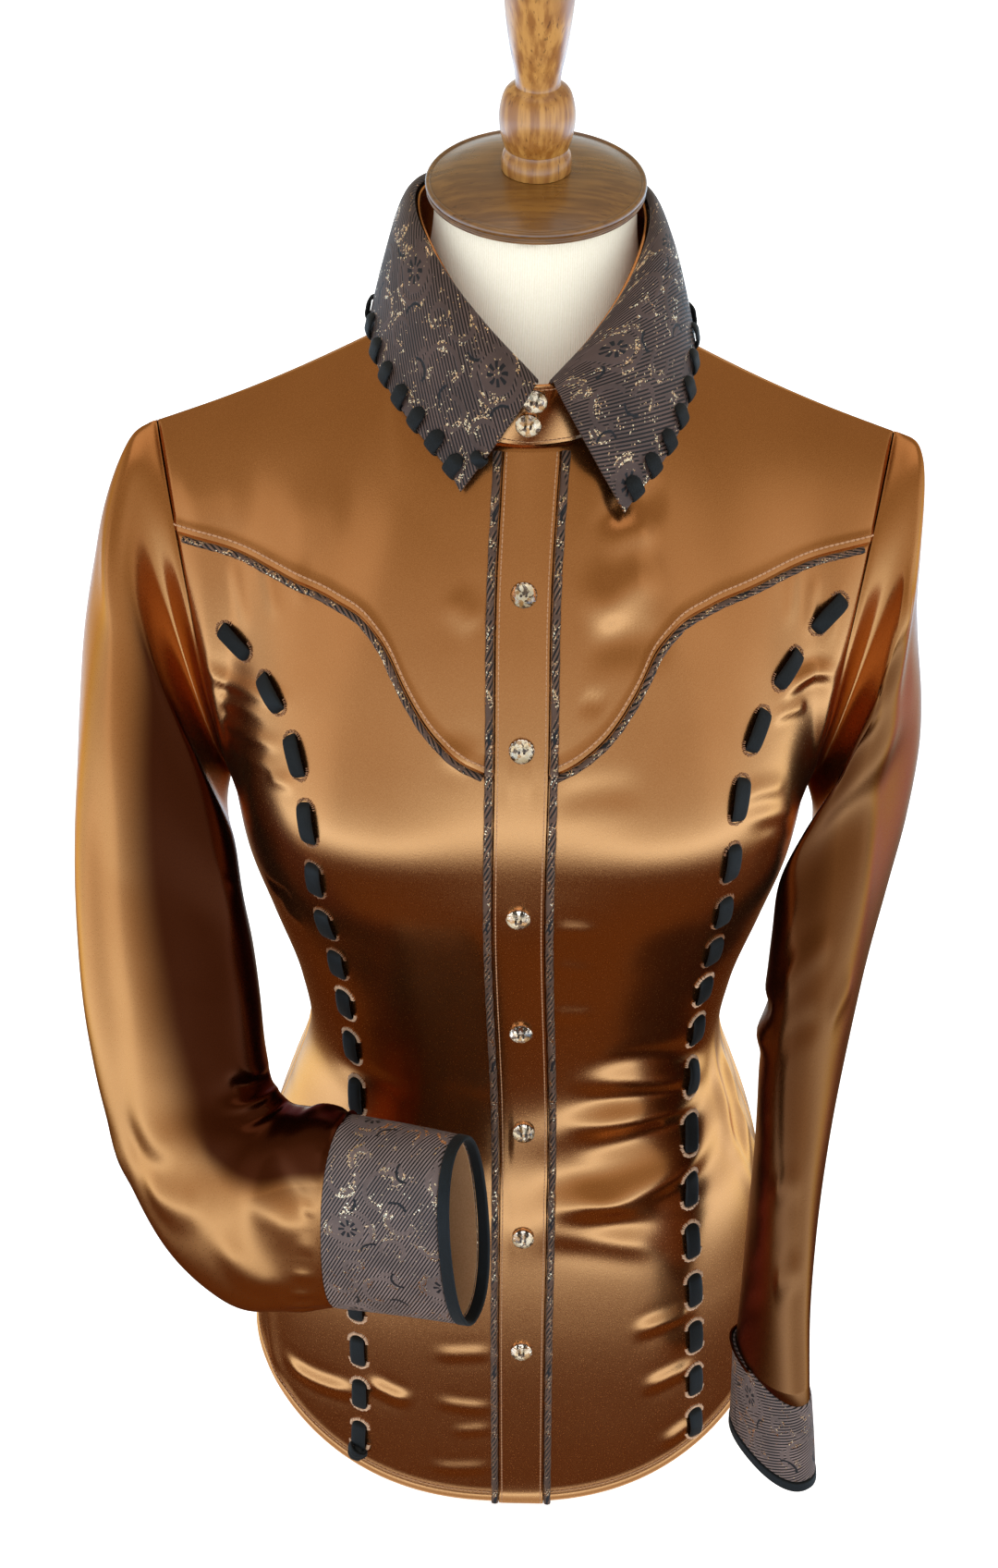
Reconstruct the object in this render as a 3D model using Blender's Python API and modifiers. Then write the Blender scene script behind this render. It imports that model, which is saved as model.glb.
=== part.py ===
# Western snap shirt on a limbless dress form.
# Metres, +Z up, origin on the floor under the middle of the part, front towards -Y.
# "Left" and "right" are the sides of a viewer who faces the front: left is -X.

import math

import bmesh
import bpy
import numpy as np
from mathutils import Vector
from mathutils.bvhtree import BVHTree

# Cloth
CLOTH = 0.0012  # wall of the satin
COLLAR_CLOTH = 0.0016  # brocade with its interfacing
SEAM = 0.0003  # gap between pieces that are sewn together
LIFT = 0.0005  # gap under a piece that lies on a curved panel

# Body of the shirt, heights over the floor
HEM_FRONT = 0.018
HEM_SIDE = 0.078
HEM_BACK = 0.030
BUST_ROW = 0.490
NECK_FRONT = (0.0, -0.068, 0.706)
NECK_SIDE = (0.066, 0.002, 0.744)
NECK_BACK = (0.0, 0.060, 0.752)
SHOULDER_TIP = (0.1925, 0.012, 0.686)
SHOULDER_DIP = 0.003
NECK_SHARE = 0.42  # share of a half panel's width that ends at the neckline
SHOULDER_PLACES = (0.42, 0.50, 0.58, 0.67, 0.78, 0.89, 1.0)
FRONT_PLACES = (0.0, 0.045, 0.09, 0.14, 0.20, 0.27, 0.34) + SHOULDER_PLACES
BACK_PLACES = (0.0, 0.105, 0.21, 0.315) + SHOULDER_PLACES

# Level sections of the body: side seam, centre front and centre back, each from the middle
SECTION_COLUMNS = ("height", "half_width", "front", "back", "squareness")
SECTIONS = (
    (0.010, 0.166, 0.113, 0.110, 2.30),
    (0.080, 0.165, 0.113, 0.110, 2.30),
    (0.160, 0.160, 0.111, 0.108, 2.30),
    (0.230, 0.150, 0.105, 0.099, 2.25),
    (0.270, 0.136, 0.099, 0.090, 2.20),
    (0.315, 0.123, 0.096, 0.085, 2.20),
    (0.360, 0.128, 0.100, 0.088, 2.20),
    (0.420, 0.144, 0.111, 0.098, 2.30),
    (0.490, 0.158, 0.121, 0.108, 2.40),
)

# The cup of each front, on a general figure: across, height, half length up and half width
CUP = (0.078, 0.515, 0.050, 0.046)
CUP_RISE = 0.010

# The largest folds of the fronts and back: side of the body (-1 left, 1 right, 0 both), middle
# across and middle height, half length and half width, turn from level in degrees, and rise
FOLD_COLUMNS = ("side", "across", "height", "half_length", "half_width", "turn", "rise")
FRONT_FOLDS = (
    (-1, 0.140, 0.560, 0.040, 0.009, -38, 0.0035),
    (-1, 0.136, 0.535, 0.040, 0.009, -30, 0.0035),
    (1, 0.150, 0.560, 0.038, 0.010, -52, 0.0035),
    (1, 0.060, 0.255, 0.055, 0.016, 18, 0.0035),
    (-1, 0.060, 0.245, 0.050, 0.016, 6, 0.0025),
    (1, 0.055, 0.305, 0.050, 0.014, 8, 0.0025),
)
BACK_FOLDS = (
    (0, 0.060, 0.300, 0.060, 0.014, 6, 0.0030),
    (0, 0.055, 0.345, 0.055, 0.012, -4, 0.0025),
    (0, 0.135, 0.560, 0.040, 0.010, -40, 0.0030),
)


def table(columns, rows):
    """Turn rows with named columns into arrays, one for each column."""
    return {name: np.array([row[i] for row in rows], float) for i, name in enumerate(columns)}


def smooth(at, xs, ys):
    """Read a smooth curve through the points (xs, ys) at the places `at`."""
    xs = np.asarray(xs, float)
    ys = np.asarray(ys, float)
    slope = np.gradient(ys, xs, axis=0)
    at = np.clip(np.asarray(at, float), xs[0], xs[-1])
    i = np.clip(np.searchsorted(xs, at) - 1, 0, len(xs) - 2)
    step = xs[i + 1] - xs[i]
    t = (at - xs[i]) / step
    if ys.ndim > 1:
        t = t[..., None]
        step = step[..., None]
    h00 = 2 * t**3 - 3 * t**2 + 1
    h10 = t**3 - 2 * t**2 + t
    h01 = 3 * t**2 - 2 * t**3
    h11 = t**3 - t**2
    return h00 * ys[i] + h10 * step * slope[i] + h01 * ys[i + 1] + h11 * step * slope[i + 1]


def ease(t):
    """A soft step from 0 to 1."""
    t = np.clip(t, 0.0, 1.0)
    return t * t * (3 - 2 * t)


def unit(v):
    """The vectors at length one."""
    return v / np.maximum(np.linalg.norm(v, axis=-1, keepdims=True), 1e-12)


SEC = table(SECTION_COLUMNS, SECTIONS)


def section(u, z, back):
    """A point of the level section at height z; u runs from the centre line to the side seam."""
    turn = u * math.pi / 2
    power = 2 / smooth(z, SEC["height"], SEC["squareness"])
    x = smooth(z, SEC["height"], SEC["half_width"]) * np.sin(turn) ** power
    depth = smooth(z, SEC["height"], SEC["back"] if back else SEC["front"])
    y = depth * np.clip(np.cos(turn), 0, 1) ** power
    return np.stack([x, y if back else -y, z + 0 * x], -1)


def hem_height(u, back):
    """The shirt tail: low at the centre lines, high at the side seams."""
    low = HEM_BACK if back else HEM_FRONT
    return low + (HEM_SIDE - low) * np.sin(u * math.pi / 2) ** 2.2


def top_edge(u, back):
    """The neckline up to NECK_SHARE, then the shoulder seam out to its tip."""
    start = np.array(NECK_BACK if back else NECK_FRONT)
    side = np.array(NECK_SIDE)
    tip = np.array(SHOULDER_TIP)
    a = np.clip(u / NECK_SHARE, 0, 1)[..., None] * math.pi / 2
    drop = 1.0 if back else 1.35
    neck_x = side[0] * np.sin(a)
    neck_y = side[1] + (start[1] - side[1]) * np.cos(a)
    neck_z = start[2] + (side[2] - start[2]) * (1 - np.cos(a)) ** drop
    neck = np.concatenate([neck_x, neck_y, neck_z], -1)
    b = np.clip((u - NECK_SHARE) / (1 - NECK_SHARE), 0, 1)[..., None]
    seam = side + (tip - side) * b
    seam[..., 2:] -= SHOULDER_DIP * np.sin(b * math.pi)
    return np.where(u[..., None] < NECK_SHARE, neck, seam)


# Handles of the columns between the top edge and the bust row: at the centre line, at the side
# of the neck and at the armhole, as leaving the top and as arriving at the bust row
TOP_HANDLES = {
    False: ((0, -0.016, -0.050), (0.004, -0.050, -0.022), (-0.014, -0.052, -0.040)),
    True: ((0, 0.026, -0.050), (0.004, 0.044, -0.026), (-0.008, 0.046, -0.045)),
}
ARMHOLE_HANDLE = {False: (0.004, -0.066, 0.016), True: (0.004, 0.066, 0.018)}
BUST_HANDLE = 0.075  # length of the upright handle at the bust row
SLOPE_STEP = 0.004  # how far below the bust row its slope is read


def body(u, s, back):
    """The body's surface before folds: s is 0 at the top edge, 1 at the bust row, 2 at the hem."""
    u, s = np.broadcast_arrays(np.asarray(u, float), np.asarray(s, float))
    handles = np.array(TOP_HANDLES[back])
    top = top_edge(u, back)
    bust = section(u, np.full(u.shape, BUST_ROW), back)
    rise = section(u, np.full(u.shape, BUST_ROW - SLOPE_STEP), back) - bust
    upright = -rise / SLOPE_STEP * BUST_HANDLE
    near_arm = ease((u - 0.72) / 0.28)[..., None]
    second = bust + upright * (1 - near_arm) + np.array(ARMHOLE_HANDLE[back]) * near_arm
    leave = smooth(u, (0.0, NECK_SHARE, 1.0), handles)
    first = top + leave
    t = np.clip(s, 0, 1)[..., None]
    upper = top * (1 - t) ** 3 + 3 * first * t * (1 - t) ** 2 + 3 * second * t**2 * (1 - t) + bust * t**3
    low = hem_height(u, back)
    z = BUST_ROW + (low - BUST_ROW) * np.clip(s - 1, 0, 1)
    lower = section(u, z, back)
    return np.where(s[..., None] <= 1, upper, lower)


def fold_rise(p, back):
    """How far folds and cups lift the cloth at each point."""
    across = np.abs(p[..., 0])
    rise = np.zeros(across.shape)
    if not back:
        out = ((across - CUP[0]) / CUP[3]) ** 2 + ((p[..., 2] - CUP[1]) / CUP[2]) ** 2
        rise += CUP_RISE * np.exp(-out)
    for side, x, z, length, width, turn, high in BACK_FOLDS if back else FRONT_FOLDS:
        a = math.radians(turn)
        dx = across - x
        dz = p[..., 2] - z
        along = dx * math.cos(a) + dz * math.sin(a)
        over = dz * math.cos(a) - dx * math.sin(a)
        lift = high * np.exp(-((along / length) ** 2) - (over / width) ** 2)
        rise += np.where(side * p[..., 0] >= 0, lift, 0) if side else lift
    return rise


def garment(u, s, back, side, lift=0.0):
    """Points of the body at (u, s), moved out by its folds and by `lift`, and their normals."""
    u, s = np.broadcast_arrays(np.asarray(u, float), np.asarray(s, float))
    mirror = np.array([side, 1.0, 1.0])
    step = 0.004
    across = body(np.clip(u + step, 0, 1), s, back) - body(np.clip(u - step, 0, 1), s, back)
    down = body(u, np.clip(s + step, 0, 2), back) - body(u, np.clip(s - step, 0, 2), back)
    normal = unit(np.cross(down, across)) * (-1 if back else 1)
    middle = u < 1e-6
    normal[middle, 0] = 0
    # both panels share one direction along the shoulder seam and the side seam
    run = np.array(SHOULDER_TIP) - np.array(NECK_SIDE)
    shoulder = (s < 0.01) & (u >= NECK_SHARE - 1e-6)
    normal[shoulder] = (-run[2], 0, run[0])
    seam = (s >= 1 - 1e-6) & (u > 1 - 1e-6)
    normal[seam, 1] = 0
    normal = unit(normal)
    point = body(u, s, back) * mirror
    normal = normal * mirror
    rise = fold_rise(point, back)
    return point + normal * (rise + lift)[..., None], normal


# Yoke seam of the front, from the placket out to the armhole
YOKE_COLUMNS = ("across", "height")
YOKE_SEAM = (
    (0.000, 0.547),
    (0.018, 0.551),
    (0.033, 0.560),
    (0.046, 0.573),
    (0.057, 0.590),
    (0.066, 0.607),
    (0.076, 0.618),
    (0.094, 0.625),
    (0.115, 0.629),
    (0.140, 0.634),
    (0.200, 0.639),
)
ROWS_YOKE = 5  # rows of the yoke
ROWS_CHEST = 4  # rows of the front from the yoke seam to the bust row
ROWS_SHOULDER = 7  # rows of the back above the bust row
ROWS_BELOW = {
    False: (0.08, 0.16, 0.24, 0.31, 0.37, 0.42, 0.465, 0.51, 0.56, 0.63, 0.72, 0.84, 1.0),
    True: (0.12, 0.24, 0.33, 0.40, 0.47, 0.56, 0.70, 0.85, 1.0),
}
SHOULDER_GAP = 1.6  # the shoulder seam's gap, as a multiple of the others

SATIN = ("copper satin", (0.42, 0.17, 0.05), 0.28, 0.15)
BROCADE = ("brocade", (0.10, 0.065, 0.055), 0.55, 0.10)
LEATHER = ("black lace leather", (0.008, 0.009, 0.010), 0.75, 0.0)
CRYSTAL = ("crystal", (0.90, 0.78, 0.62), 0.05, 0.0)
WOOD = ("honey wood", (0.23, 0.075, 0.018), 0.30, 0.0)
COVER = ("cream cover", (0.80, 0.75, 0.62), 0.85, 0.0)


def material(spec):
    """One Principled material for each finish."""
    name, colour, rough, metal = spec
    found = bpy.data.materials.get(name)
    if found:
        return found
    made = bpy.data.materials.new(name)
    made.use_nodes = True
    shader = made.node_tree.nodes["Principled BSDF"]
    shader.inputs["Base Color"].default_value = (*colour, 1.0)
    shader.inputs["Roughness"].default_value = rough
    shader.inputs["Metallic"].default_value = metal
    made.diffuse_color = (*colour, 1.0)
    return made


def collection(name):
    """A collection of this name under the scene."""
    found = bpy.data.collections.get(name)
    if not found:
        found = bpy.data.collections.new(name)
        bpy.context.scene.collection.children.link(found)
    return found


def add_mesh(name, verts, faces, spec, place="western_shirt"):
    """One named object, faces pointing out."""
    mesh = bpy.data.meshes.new(name)
    shape = bmesh.new()
    made = [shape.verts.new(v) for v in verts]
    for face in faces:
        shape.faces.new([made[i] for i in face])
    bmesh.ops.remove_doubles(shape, verts=shape.verts, dist=1e-6)
    bmesh.ops.recalc_face_normals(shape, faces=shape.faces)
    shape.to_mesh(mesh)
    shape.free()
    mesh.shade_smooth()
    mesh.set_sharp_from_angle(angle=math.radians(50))
    thing = bpy.data.objects.new(name, mesh)
    thing.data.materials.append(material(spec))
    collection(place).objects.link(thing)
    return thing


def wall(name, outer, inner, spec, loop=False):
    """A cloth wall between two grids of points; a loop closes on itself along the first axis."""
    n, m = outer.shape[:2]
    verts = [tuple(v) for v in outer.reshape(-1, 3)] + [tuple(v) for v in inner.reshape(-1, 3)]
    faces = []
    turns = n if loop else n - 1
    for i in range(turns):
        a = i * m
        b = (i + 1) % n * m
        for j in range(m - 1):
            for half in ((a + j, b + j, b + j + 1), (a + j, b + j + 1, a + j + 1)):
                faces.append(half)
                faces.append(tuple(n * m + k for k in half[::-1]))
        for j in (0, m - 1):
            rim = (a + j, b + j, n * m + b + j, n * m + a + j)
            faces.append(rim if j == 0 else rim[::-1])
    if not loop:
        for i in (0, n - 1):
            for j in range(m - 1):
                a = i * m + j
                faces.append((a, a + 1, n * m + a + 1, n * m + a))
    return add_mesh(name, verts, faces, spec)


def sweep(name, rings, spec, place="western_shirt"):
    """A closed solid through equal rings of points, capped at both ends."""
    k, n = rings.shape[:2]
    verts = [tuple(v) for v in rings.reshape(-1, 3)]
    faces = [tuple(range(n)), tuple(range((k - 1) * n, k * n))]
    for i in range(k - 1):
        for j in range(n):
            a = i * n
            faces.append((a + j, a + (j + 1) % n, a + n + (j + 1) % n, a + n + j))
    return add_mesh(name, verts, faces, spec, place)


def ribbon_rings(path, sides, width, thick):
    """Sections of a flat ribbon along a path, mitred where it bends; sides point across it."""
    ahead = unit(np.diff(path, axis=0))
    before = np.vstack([ahead[:1], ahead])
    after = np.vstack([ahead, ahead[-1:]])
    middle = unit(before + after)
    half = np.clip(np.sum(middle * after, axis=1), 0.5, 1)[:, None]
    across = unit(sides - middle * np.sum(sides * middle, axis=1)[:, None])
    up = np.cross(middle, across) / half
    w = across * width / 2
    t = up * thick / 2
    return np.stack([path + w + t, path - w + t, path - w - t, path + w - t], axis=1)


def tube(name, points, radius, spec, resolution=1):
    """A round cord or piping through points, as a curve with filled caps."""
    curve = bpy.data.curves.new(name, "CURVE")
    curve.dimensions = "3D"
    curve.bevel_depth = radius
    curve.bevel_resolution = resolution
    curve.use_fill_caps = True
    line = curve.splines.new("POLY")
    line.points.add(len(points) - 1)
    for spot, at in zip(line.points, points):
        spot.co = (*at, 1.0)
    thing = bpy.data.objects.new(name, curve)
    thing.data.materials.append(material(spec))
    collection("western_shirt").objects.link(thing)
    return thing


def yoke_row(u, side):
    """The s of each column where the yoke seam crosses it."""
    seam = table(YOKE_COLUMNS, YOKE_SEAM)
    low = np.zeros(u.shape)
    high = np.ones(u.shape)
    for _ in range(30):
        mid = (low + high) / 2
        point, _normal = garment(u, mid, False, side)
        above = point[..., 2] > smooth(np.abs(point[..., 0]), seam["across"], seam["height"])
        low = np.where(above, mid, low)
        high = np.where(above, high, mid)
    return (low + high) / 2


def row_gap(u, s, back, side):
    """How much of s half a seam gap takes, column by column."""
    a, _ = garment(u, np.clip(s - 0.01, 0, 2), back, side)
    b, _ = garment(u, np.clip(s + 0.01, 0, 2), back, side)
    length = np.linalg.norm(b - a, axis=-1) / (np.clip(s + 0.01, 0, 2) - np.clip(s - 0.01, 0, 2))
    return SEAM / 2 / length


def panel_rows(start, back):
    """Each row's place s in every column, from the row `start` down to the hem."""
    above = ROWS_SHOULDER if back else ROWS_CHEST
    rows = [start + (1 - start) * k / above for k in range(above)]
    rows.append(np.ones(len(start)))
    rows += [np.full(len(start), 1 + s) for s in ROWS_BELOW[back]]
    return np.stack(rows, axis=1)


def yoke_rows(start, end):
    """Each row's place s in every column of the yoke."""
    return np.stack([start + (end - start) * k / ROWS_YOKE for k in range(ROWS_YOKE + 1)], axis=1)


def panel(rows, side):
    """The outside and inside of a front piece, half a seam gap in from its upright edges."""
    outer, normal = garment(np.array(FRONT_PLACES)[:, None], rows, False, side)
    outer[:1] += unit(outer[1:2] - outer[:1]) * SEAM / 2
    outer[-1:] += unit(outer[-2:-1] - outer[-1:]) * SEAM / 2
    return outer, outer - normal * CLOTH


def make_fronts():
    """Yoke pieces and lower fronts; returns both fronts' points without gaps, to lay things on."""
    u = np.array(FRONT_PLACES)
    top = np.zeros(len(u))
    grids = []
    for side, word in ((-1, "left"), (1, "right")):
        seam = yoke_row(u, side)
        gap = row_gap(u, seam, False, side)
        top_gap = row_gap(u, top, False, side) * SHOULDER_GAP
        wall(f"yoke_front_{word}", *panel(yoke_rows(top_gap, seam - gap), side), SATIN)
        wall(f"front_{word}", *panel(panel_rows(seam + gap, False), side), SATIN)
        rows = np.concatenate([yoke_rows(top, seam), panel_rows(seam, False)[:, 1:]], axis=1)
        grids.append(garment(u[:, None], rows, False, side)[0])
    return grids


def make_back():
    """The back in one piece, from one side seam to the other."""
    u = np.array(BACK_PLACES)
    top = np.zeros(len(u))
    gap = row_gap(u, top, True, 1) * SHOULDER_GAP
    halves = []
    grids = []
    for side in (-1, 1):
        outer, normal = garment(u[:, None], panel_rows(gap, True), True, side)
        outer[-1:] += unit(outer[-2:-1] - outer[-1:]) * SEAM / 2
        halves.append((outer, outer - normal * CLOTH))
        grids.append(garment(u[:, None], panel_rows(top, True), True, side)[0])
    outer = np.concatenate([halves[0][0][:0:-1], halves[1][0]])
    inner = np.concatenate([halves[0][1][:0:-1], halves[1][1]])
    wall("back", outer, inner, SATIN)
    return grids


# Sleeves: their outer and inner edge in the sleeve's flat plane and how far it bulges to either
# side of that plane, a row a section from the sleeve head down to the cuff seam
SLEEVE_COLUMNS = ("outer_x", "outer_y", "outer_z", "inner_x", "inner_y", "inner_z", "bulge")
SLEEVE_LEFT = (
    (-0.207, 0.005, 0.676, -0.1625, -0.004, 0.481, 0.056),
    (-0.222, -0.002, 0.640, -0.1640, -0.014, 0.469, 0.056),
    (-0.232, -0.012, 0.590, -0.1610, -0.028, 0.452, 0.053),
    (-0.239, -0.028, 0.535, -0.1550, -0.045, 0.432, 0.048),
    (-0.243, -0.045, 0.475, -0.1480, -0.060, 0.408, 0.043),
    (-0.242, -0.065, 0.419, -0.1430, -0.078, 0.382, 0.039),
    (-0.236, -0.083, 0.362, -0.1400, -0.095, 0.357, 0.036),
    (-0.221, -0.103, 0.298, -0.1360, -0.108, 0.341, 0.034),
    (-0.194, -0.123, 0.243, -0.1280, -0.118, 0.335, 0.033),
    (-0.160, -0.136, 0.213, -0.1180, -0.127, 0.339, 0.032),
    (-0.128, -0.143, 0.211, -0.1060, -0.136, 0.346, 0.030),
    (-0.094, -0.151, 0.222, -0.0920, -0.148, 0.350, 0.028),
)
SLEEVE_RIGHT = (
    (0.207, 0.005, 0.676, 0.1625, -0.004, 0.481, 0.057),
    (0.211, 0.002, 0.628, 0.1660, -0.008, 0.469, 0.056),
    (0.213, -0.006, 0.575, 0.1660, -0.012, 0.453, 0.054),
    (0.214, -0.016, 0.525, 0.1630, -0.018, 0.438, 0.052),
    (0.209, -0.030, 0.480, 0.1560, -0.026, 0.421, 0.050),
    (0.203, -0.046, 0.435, 0.1490, -0.038, 0.402, 0.048),
    (0.195, -0.062, 0.388, 0.1430, -0.054, 0.374, 0.046),
    (0.187, -0.078, 0.340, 0.1400, -0.073, 0.332, 0.044),
    (0.179, -0.094, 0.295, 0.1390, -0.095, 0.290, 0.042),
    (0.172, -0.108, 0.250, 0.1390, -0.114, 0.246, 0.040),
    (0.167, -0.123, 0.208, 0.1400, -0.132, 0.204, 0.038),
    (0.165, -0.136, 0.170, 0.1410, -0.147, 0.166, 0.038),
)
CUFF_LEFT = (
    (-0.094, -0.151, 0.222, -0.0920, -0.148, 0.350, 0.028),
    (-0.056, -0.164, 0.230, -0.0600, -0.163, 0.356, 0.027),
    (-0.017, -0.178, 0.237, -0.0270, -0.178, 0.361, 0.025),
)
CUFF_RIGHT = (
    (0.165, -0.136, 0.170, 0.1410, -0.147, 0.166, 0.038),
    (0.169, -0.137, 0.137, 0.1420, -0.150, 0.134, 0.038),
    (0.172, -0.138, 0.105, 0.1430, -0.153, 0.102, 0.038),
)
ARMHOLE_FRONT = ROWS_YOKE + ROWS_CHEST  # a sleeve has a point at each row of the armhole
SLEEVE_SIDES = ARMHOLE_FRONT + ROWS_SHOULDER
SLEEVE_POWER = 2.3
# The head leaves the armhole level with the body and fills out over its first sections: how many
# sections it takes to turn its points into place, and shares of the bulge in front and behind
HEAD_TURN = 4.0
HEAD_FRONT = (0.50, 0.74, 0.90, 1.0)
HEAD_BACK = (0.88, 0.94, 0.98, 1.0)
SLEEVE_RINGS = 20  # steps down a sleeve
ARMHOLE_STEP = 0.0006  # how far the sleeve stands off the armhole's edge where it folds back
CUFF_CLOTH = 0.0016
BINDING_WIDTH = 0.007
BINDING_CLOTH = 0.0024
FACING_CLOTH = 0.0010
CUFF_STEPS = 8


def sleeve_turn():
    """Where each point of a sleeve's ring lies: 0 at its outer edge, a quarter at its front."""
    k = np.arange(SLEEVE_SIDES)
    front = k / ARMHOLE_FRONT
    rear = 1 + (k - ARMHOLE_FRONT) / ROWS_SHOULDER
    return np.where(k <= ARMHOLE_FRONT, front, rear) * math.pi


def section_rings(rows, first=None):
    """The key rings of a sleeve or cuff, after a first ring of their own where one is given."""
    keys = np.array(rows, float)
    outer = keys[:, 0:3]
    inner = keys[:, 3:6]
    bulge = keys[:, 6]
    middle = (outer + inner) / 2
    along = np.gradient(middle, axis=0)
    flat = outer - inner
    front = unit(np.cross(flat, along))
    front *= np.sign(-front[:, 1:2])
    turn = np.broadcast_to(sleeve_turn(), (len(keys), SLEEVE_SIDES))
    bulge = bulge[:, None] + 0 * turn
    if first is not None:
        # at its head the sleeve bulges straight to the front and back
        k = np.arange(len(keys))
        front[:, 0] *= ease(k / 3)
        front = unit(front)
        # and its points keep the heights of the armhole's
        low, high = first[:, 2].min(), first[:, 2].max()
        level = np.clip((first[:, 2] * 2 - high - low) / (high - low), -1, 1)
        own = np.arccos(np.sign(level) * np.abs(level) ** (SLEEVE_POWER / 2))
        in_front = np.arange(SLEEVE_SIDES) <= ARMHOLE_FRONT
        own = np.where(in_front, own, 2 * math.pi - own)
        turn = own + (turn - own) * ease(k / HEAD_TURN)[:, None]
        fuller = [np.interp(k, range(len(part)), part)[:, None] for part in (HEAD_FRONT, HEAD_BACK)]
        bulge = bulge * np.where(in_front[None], *fuller)
    c = np.sign(np.cos(turn)) * np.abs(np.cos(turn)) ** (2 / SLEEVE_POWER)
    d = np.sign(np.sin(turn)) * np.abs(np.sin(turn)) ** (2 / SLEEVE_POWER)
    rings = middle[:, None] + flat[:, None] / 2 * c[..., None]
    rings = rings + front[:, None] * (bulge * d)[..., None]
    if first is not None:
        rings = np.concatenate([first[None], rings])
    return rings


def loft(rings, steps):
    """More rings between the key rings, on smooth curves."""
    at = np.linspace(0, len(rings) - 1, steps + 1)
    flat = rings.reshape(len(rings), -1)
    return smooth(at, np.arange(len(rings)), flat).reshape(steps + 1, -1, 3)


def ring_normals(rings):
    """Normals of a lofted sleeve, pointing out."""
    round_it = np.roll(rings, -1, axis=1) - np.roll(rings, 1, axis=1)
    along = np.gradient(rings, axis=0)
    normal = unit(np.cross(round_it, along))
    middle = rings.mean(axis=1, keepdims=True)
    out = np.sum(normal * (rings - middle), axis=-1).mean()
    return normal * np.sign(out)


def armhole_ring(side):
    """The armhole's edge as a ring: from the shoulder tip down the front and up the back.

    It also gives the cloth's normal, the way into the hole, and how far down each point is.
    """
    one = np.ones(1)
    seam = yoke_row(one, side)
    front = np.concatenate([yoke_rows(0 * one, seam)[0], panel_rows(seam, False)[0, 1 : ROWS_CHEST + 1]])
    rear = panel_rows(0 * one, True)[0, ROWS_SHOULDER - 1 : 0 : -1]
    front_edge, front_normal = garment(np.ones(len(front)), front, False, side)
    rear_edge, rear_normal = garment(np.ones(len(rear)), rear, True, side)
    edge = np.concatenate([front_edge, rear_edge])
    normal = np.concatenate([front_normal, rear_normal])
    along = np.roll(edge, -1, axis=0) - np.roll(edge, 1, axis=0)
    hole = unit(np.cross(normal, along))
    hole *= np.sign(np.sum(hole[:, 0]) * side)
    return edge, normal, hole, np.concatenate([front, rear])


# Folds of the sleeves: place down the sleeve (0 to 1), place round it in degrees (90 is the
# front), length in percent of the sleeve, width in degrees, slant, and rise
SLEEVE_FOLDS = {
    "left": (
        (0.42, 38, 40, 14, 0, 0.0050),
        (0.66, 150, 3.0, 60, 2, -0.0040),
        (0.74, 120, 3.0, 50, 3, -0.0035),
        (0.86, 60, 3.0, 60, -4, 0.0035),
        (0.93, 100, 2.5, 60, 3, 0.0030),
    ),
    "right": (
        (0.33, 40, 3.0, 60, 5, 0.0045),
        (0.40, 60, 3.0, 60, 6, -0.0040),
        (0.55, 100, 30, 16, 0, 0.0040),
        (0.30, 250, 3.0, 60, 4, 0.0040),
    ),
}


def sleeve_folds(rings, normals, word):
    """The sleeves' largest folds, raised along their normals."""
    steps, sides = rings.shape[:2]
    down = np.linspace(0, 1, steps)[:, None]
    turn = np.arange(sides)[None, :] / sides * 360
    rise = np.zeros((steps, sides))
    for at, around, length, width, slant, high in SLEEVE_FOLDS[word]:
        away = (turn - around + 180) % 360 - 180
        over = (down - at) * 100 - slant * away / 90
        rise += high * np.exp(-((over / length) ** 2) - (away / width) ** 2)
    fade = ease(down * 6) * ease((1 - down) * 8)
    return rings + normals * (rise * fade)[..., None]


def flat_normals(ring, normals):
    """The normals turned into the ring's own plane, and the plane's axis."""
    axis = unit(np.cross(ring[3] - ring[0], ring[ARMHOLE_FRONT] - ring[0]))
    return unit(normals - axis * np.sum(normals * axis, axis=1)[:, None]), axis


def cuff_wall(name, rings, normals, places, lift, thick, spec):
    """A band of a cuff: its rings at these places, moved out by lift, as thick as its cloth."""
    at = np.array(places) * (len(rings) - 1)
    steps = np.arange(len(rings))
    band = smooth(at, steps, rings.reshape(len(rings), -1)).reshape(len(at), -1, 3)
    way = unit(smooth(at, steps, normals.reshape(len(rings), -1)).reshape(len(at), -1, 3))
    outer = band + way * lift
    wall(name, outer.swapaxes(0, 1), (outer - way * thick).swapaxes(0, 1), spec, True)


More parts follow.
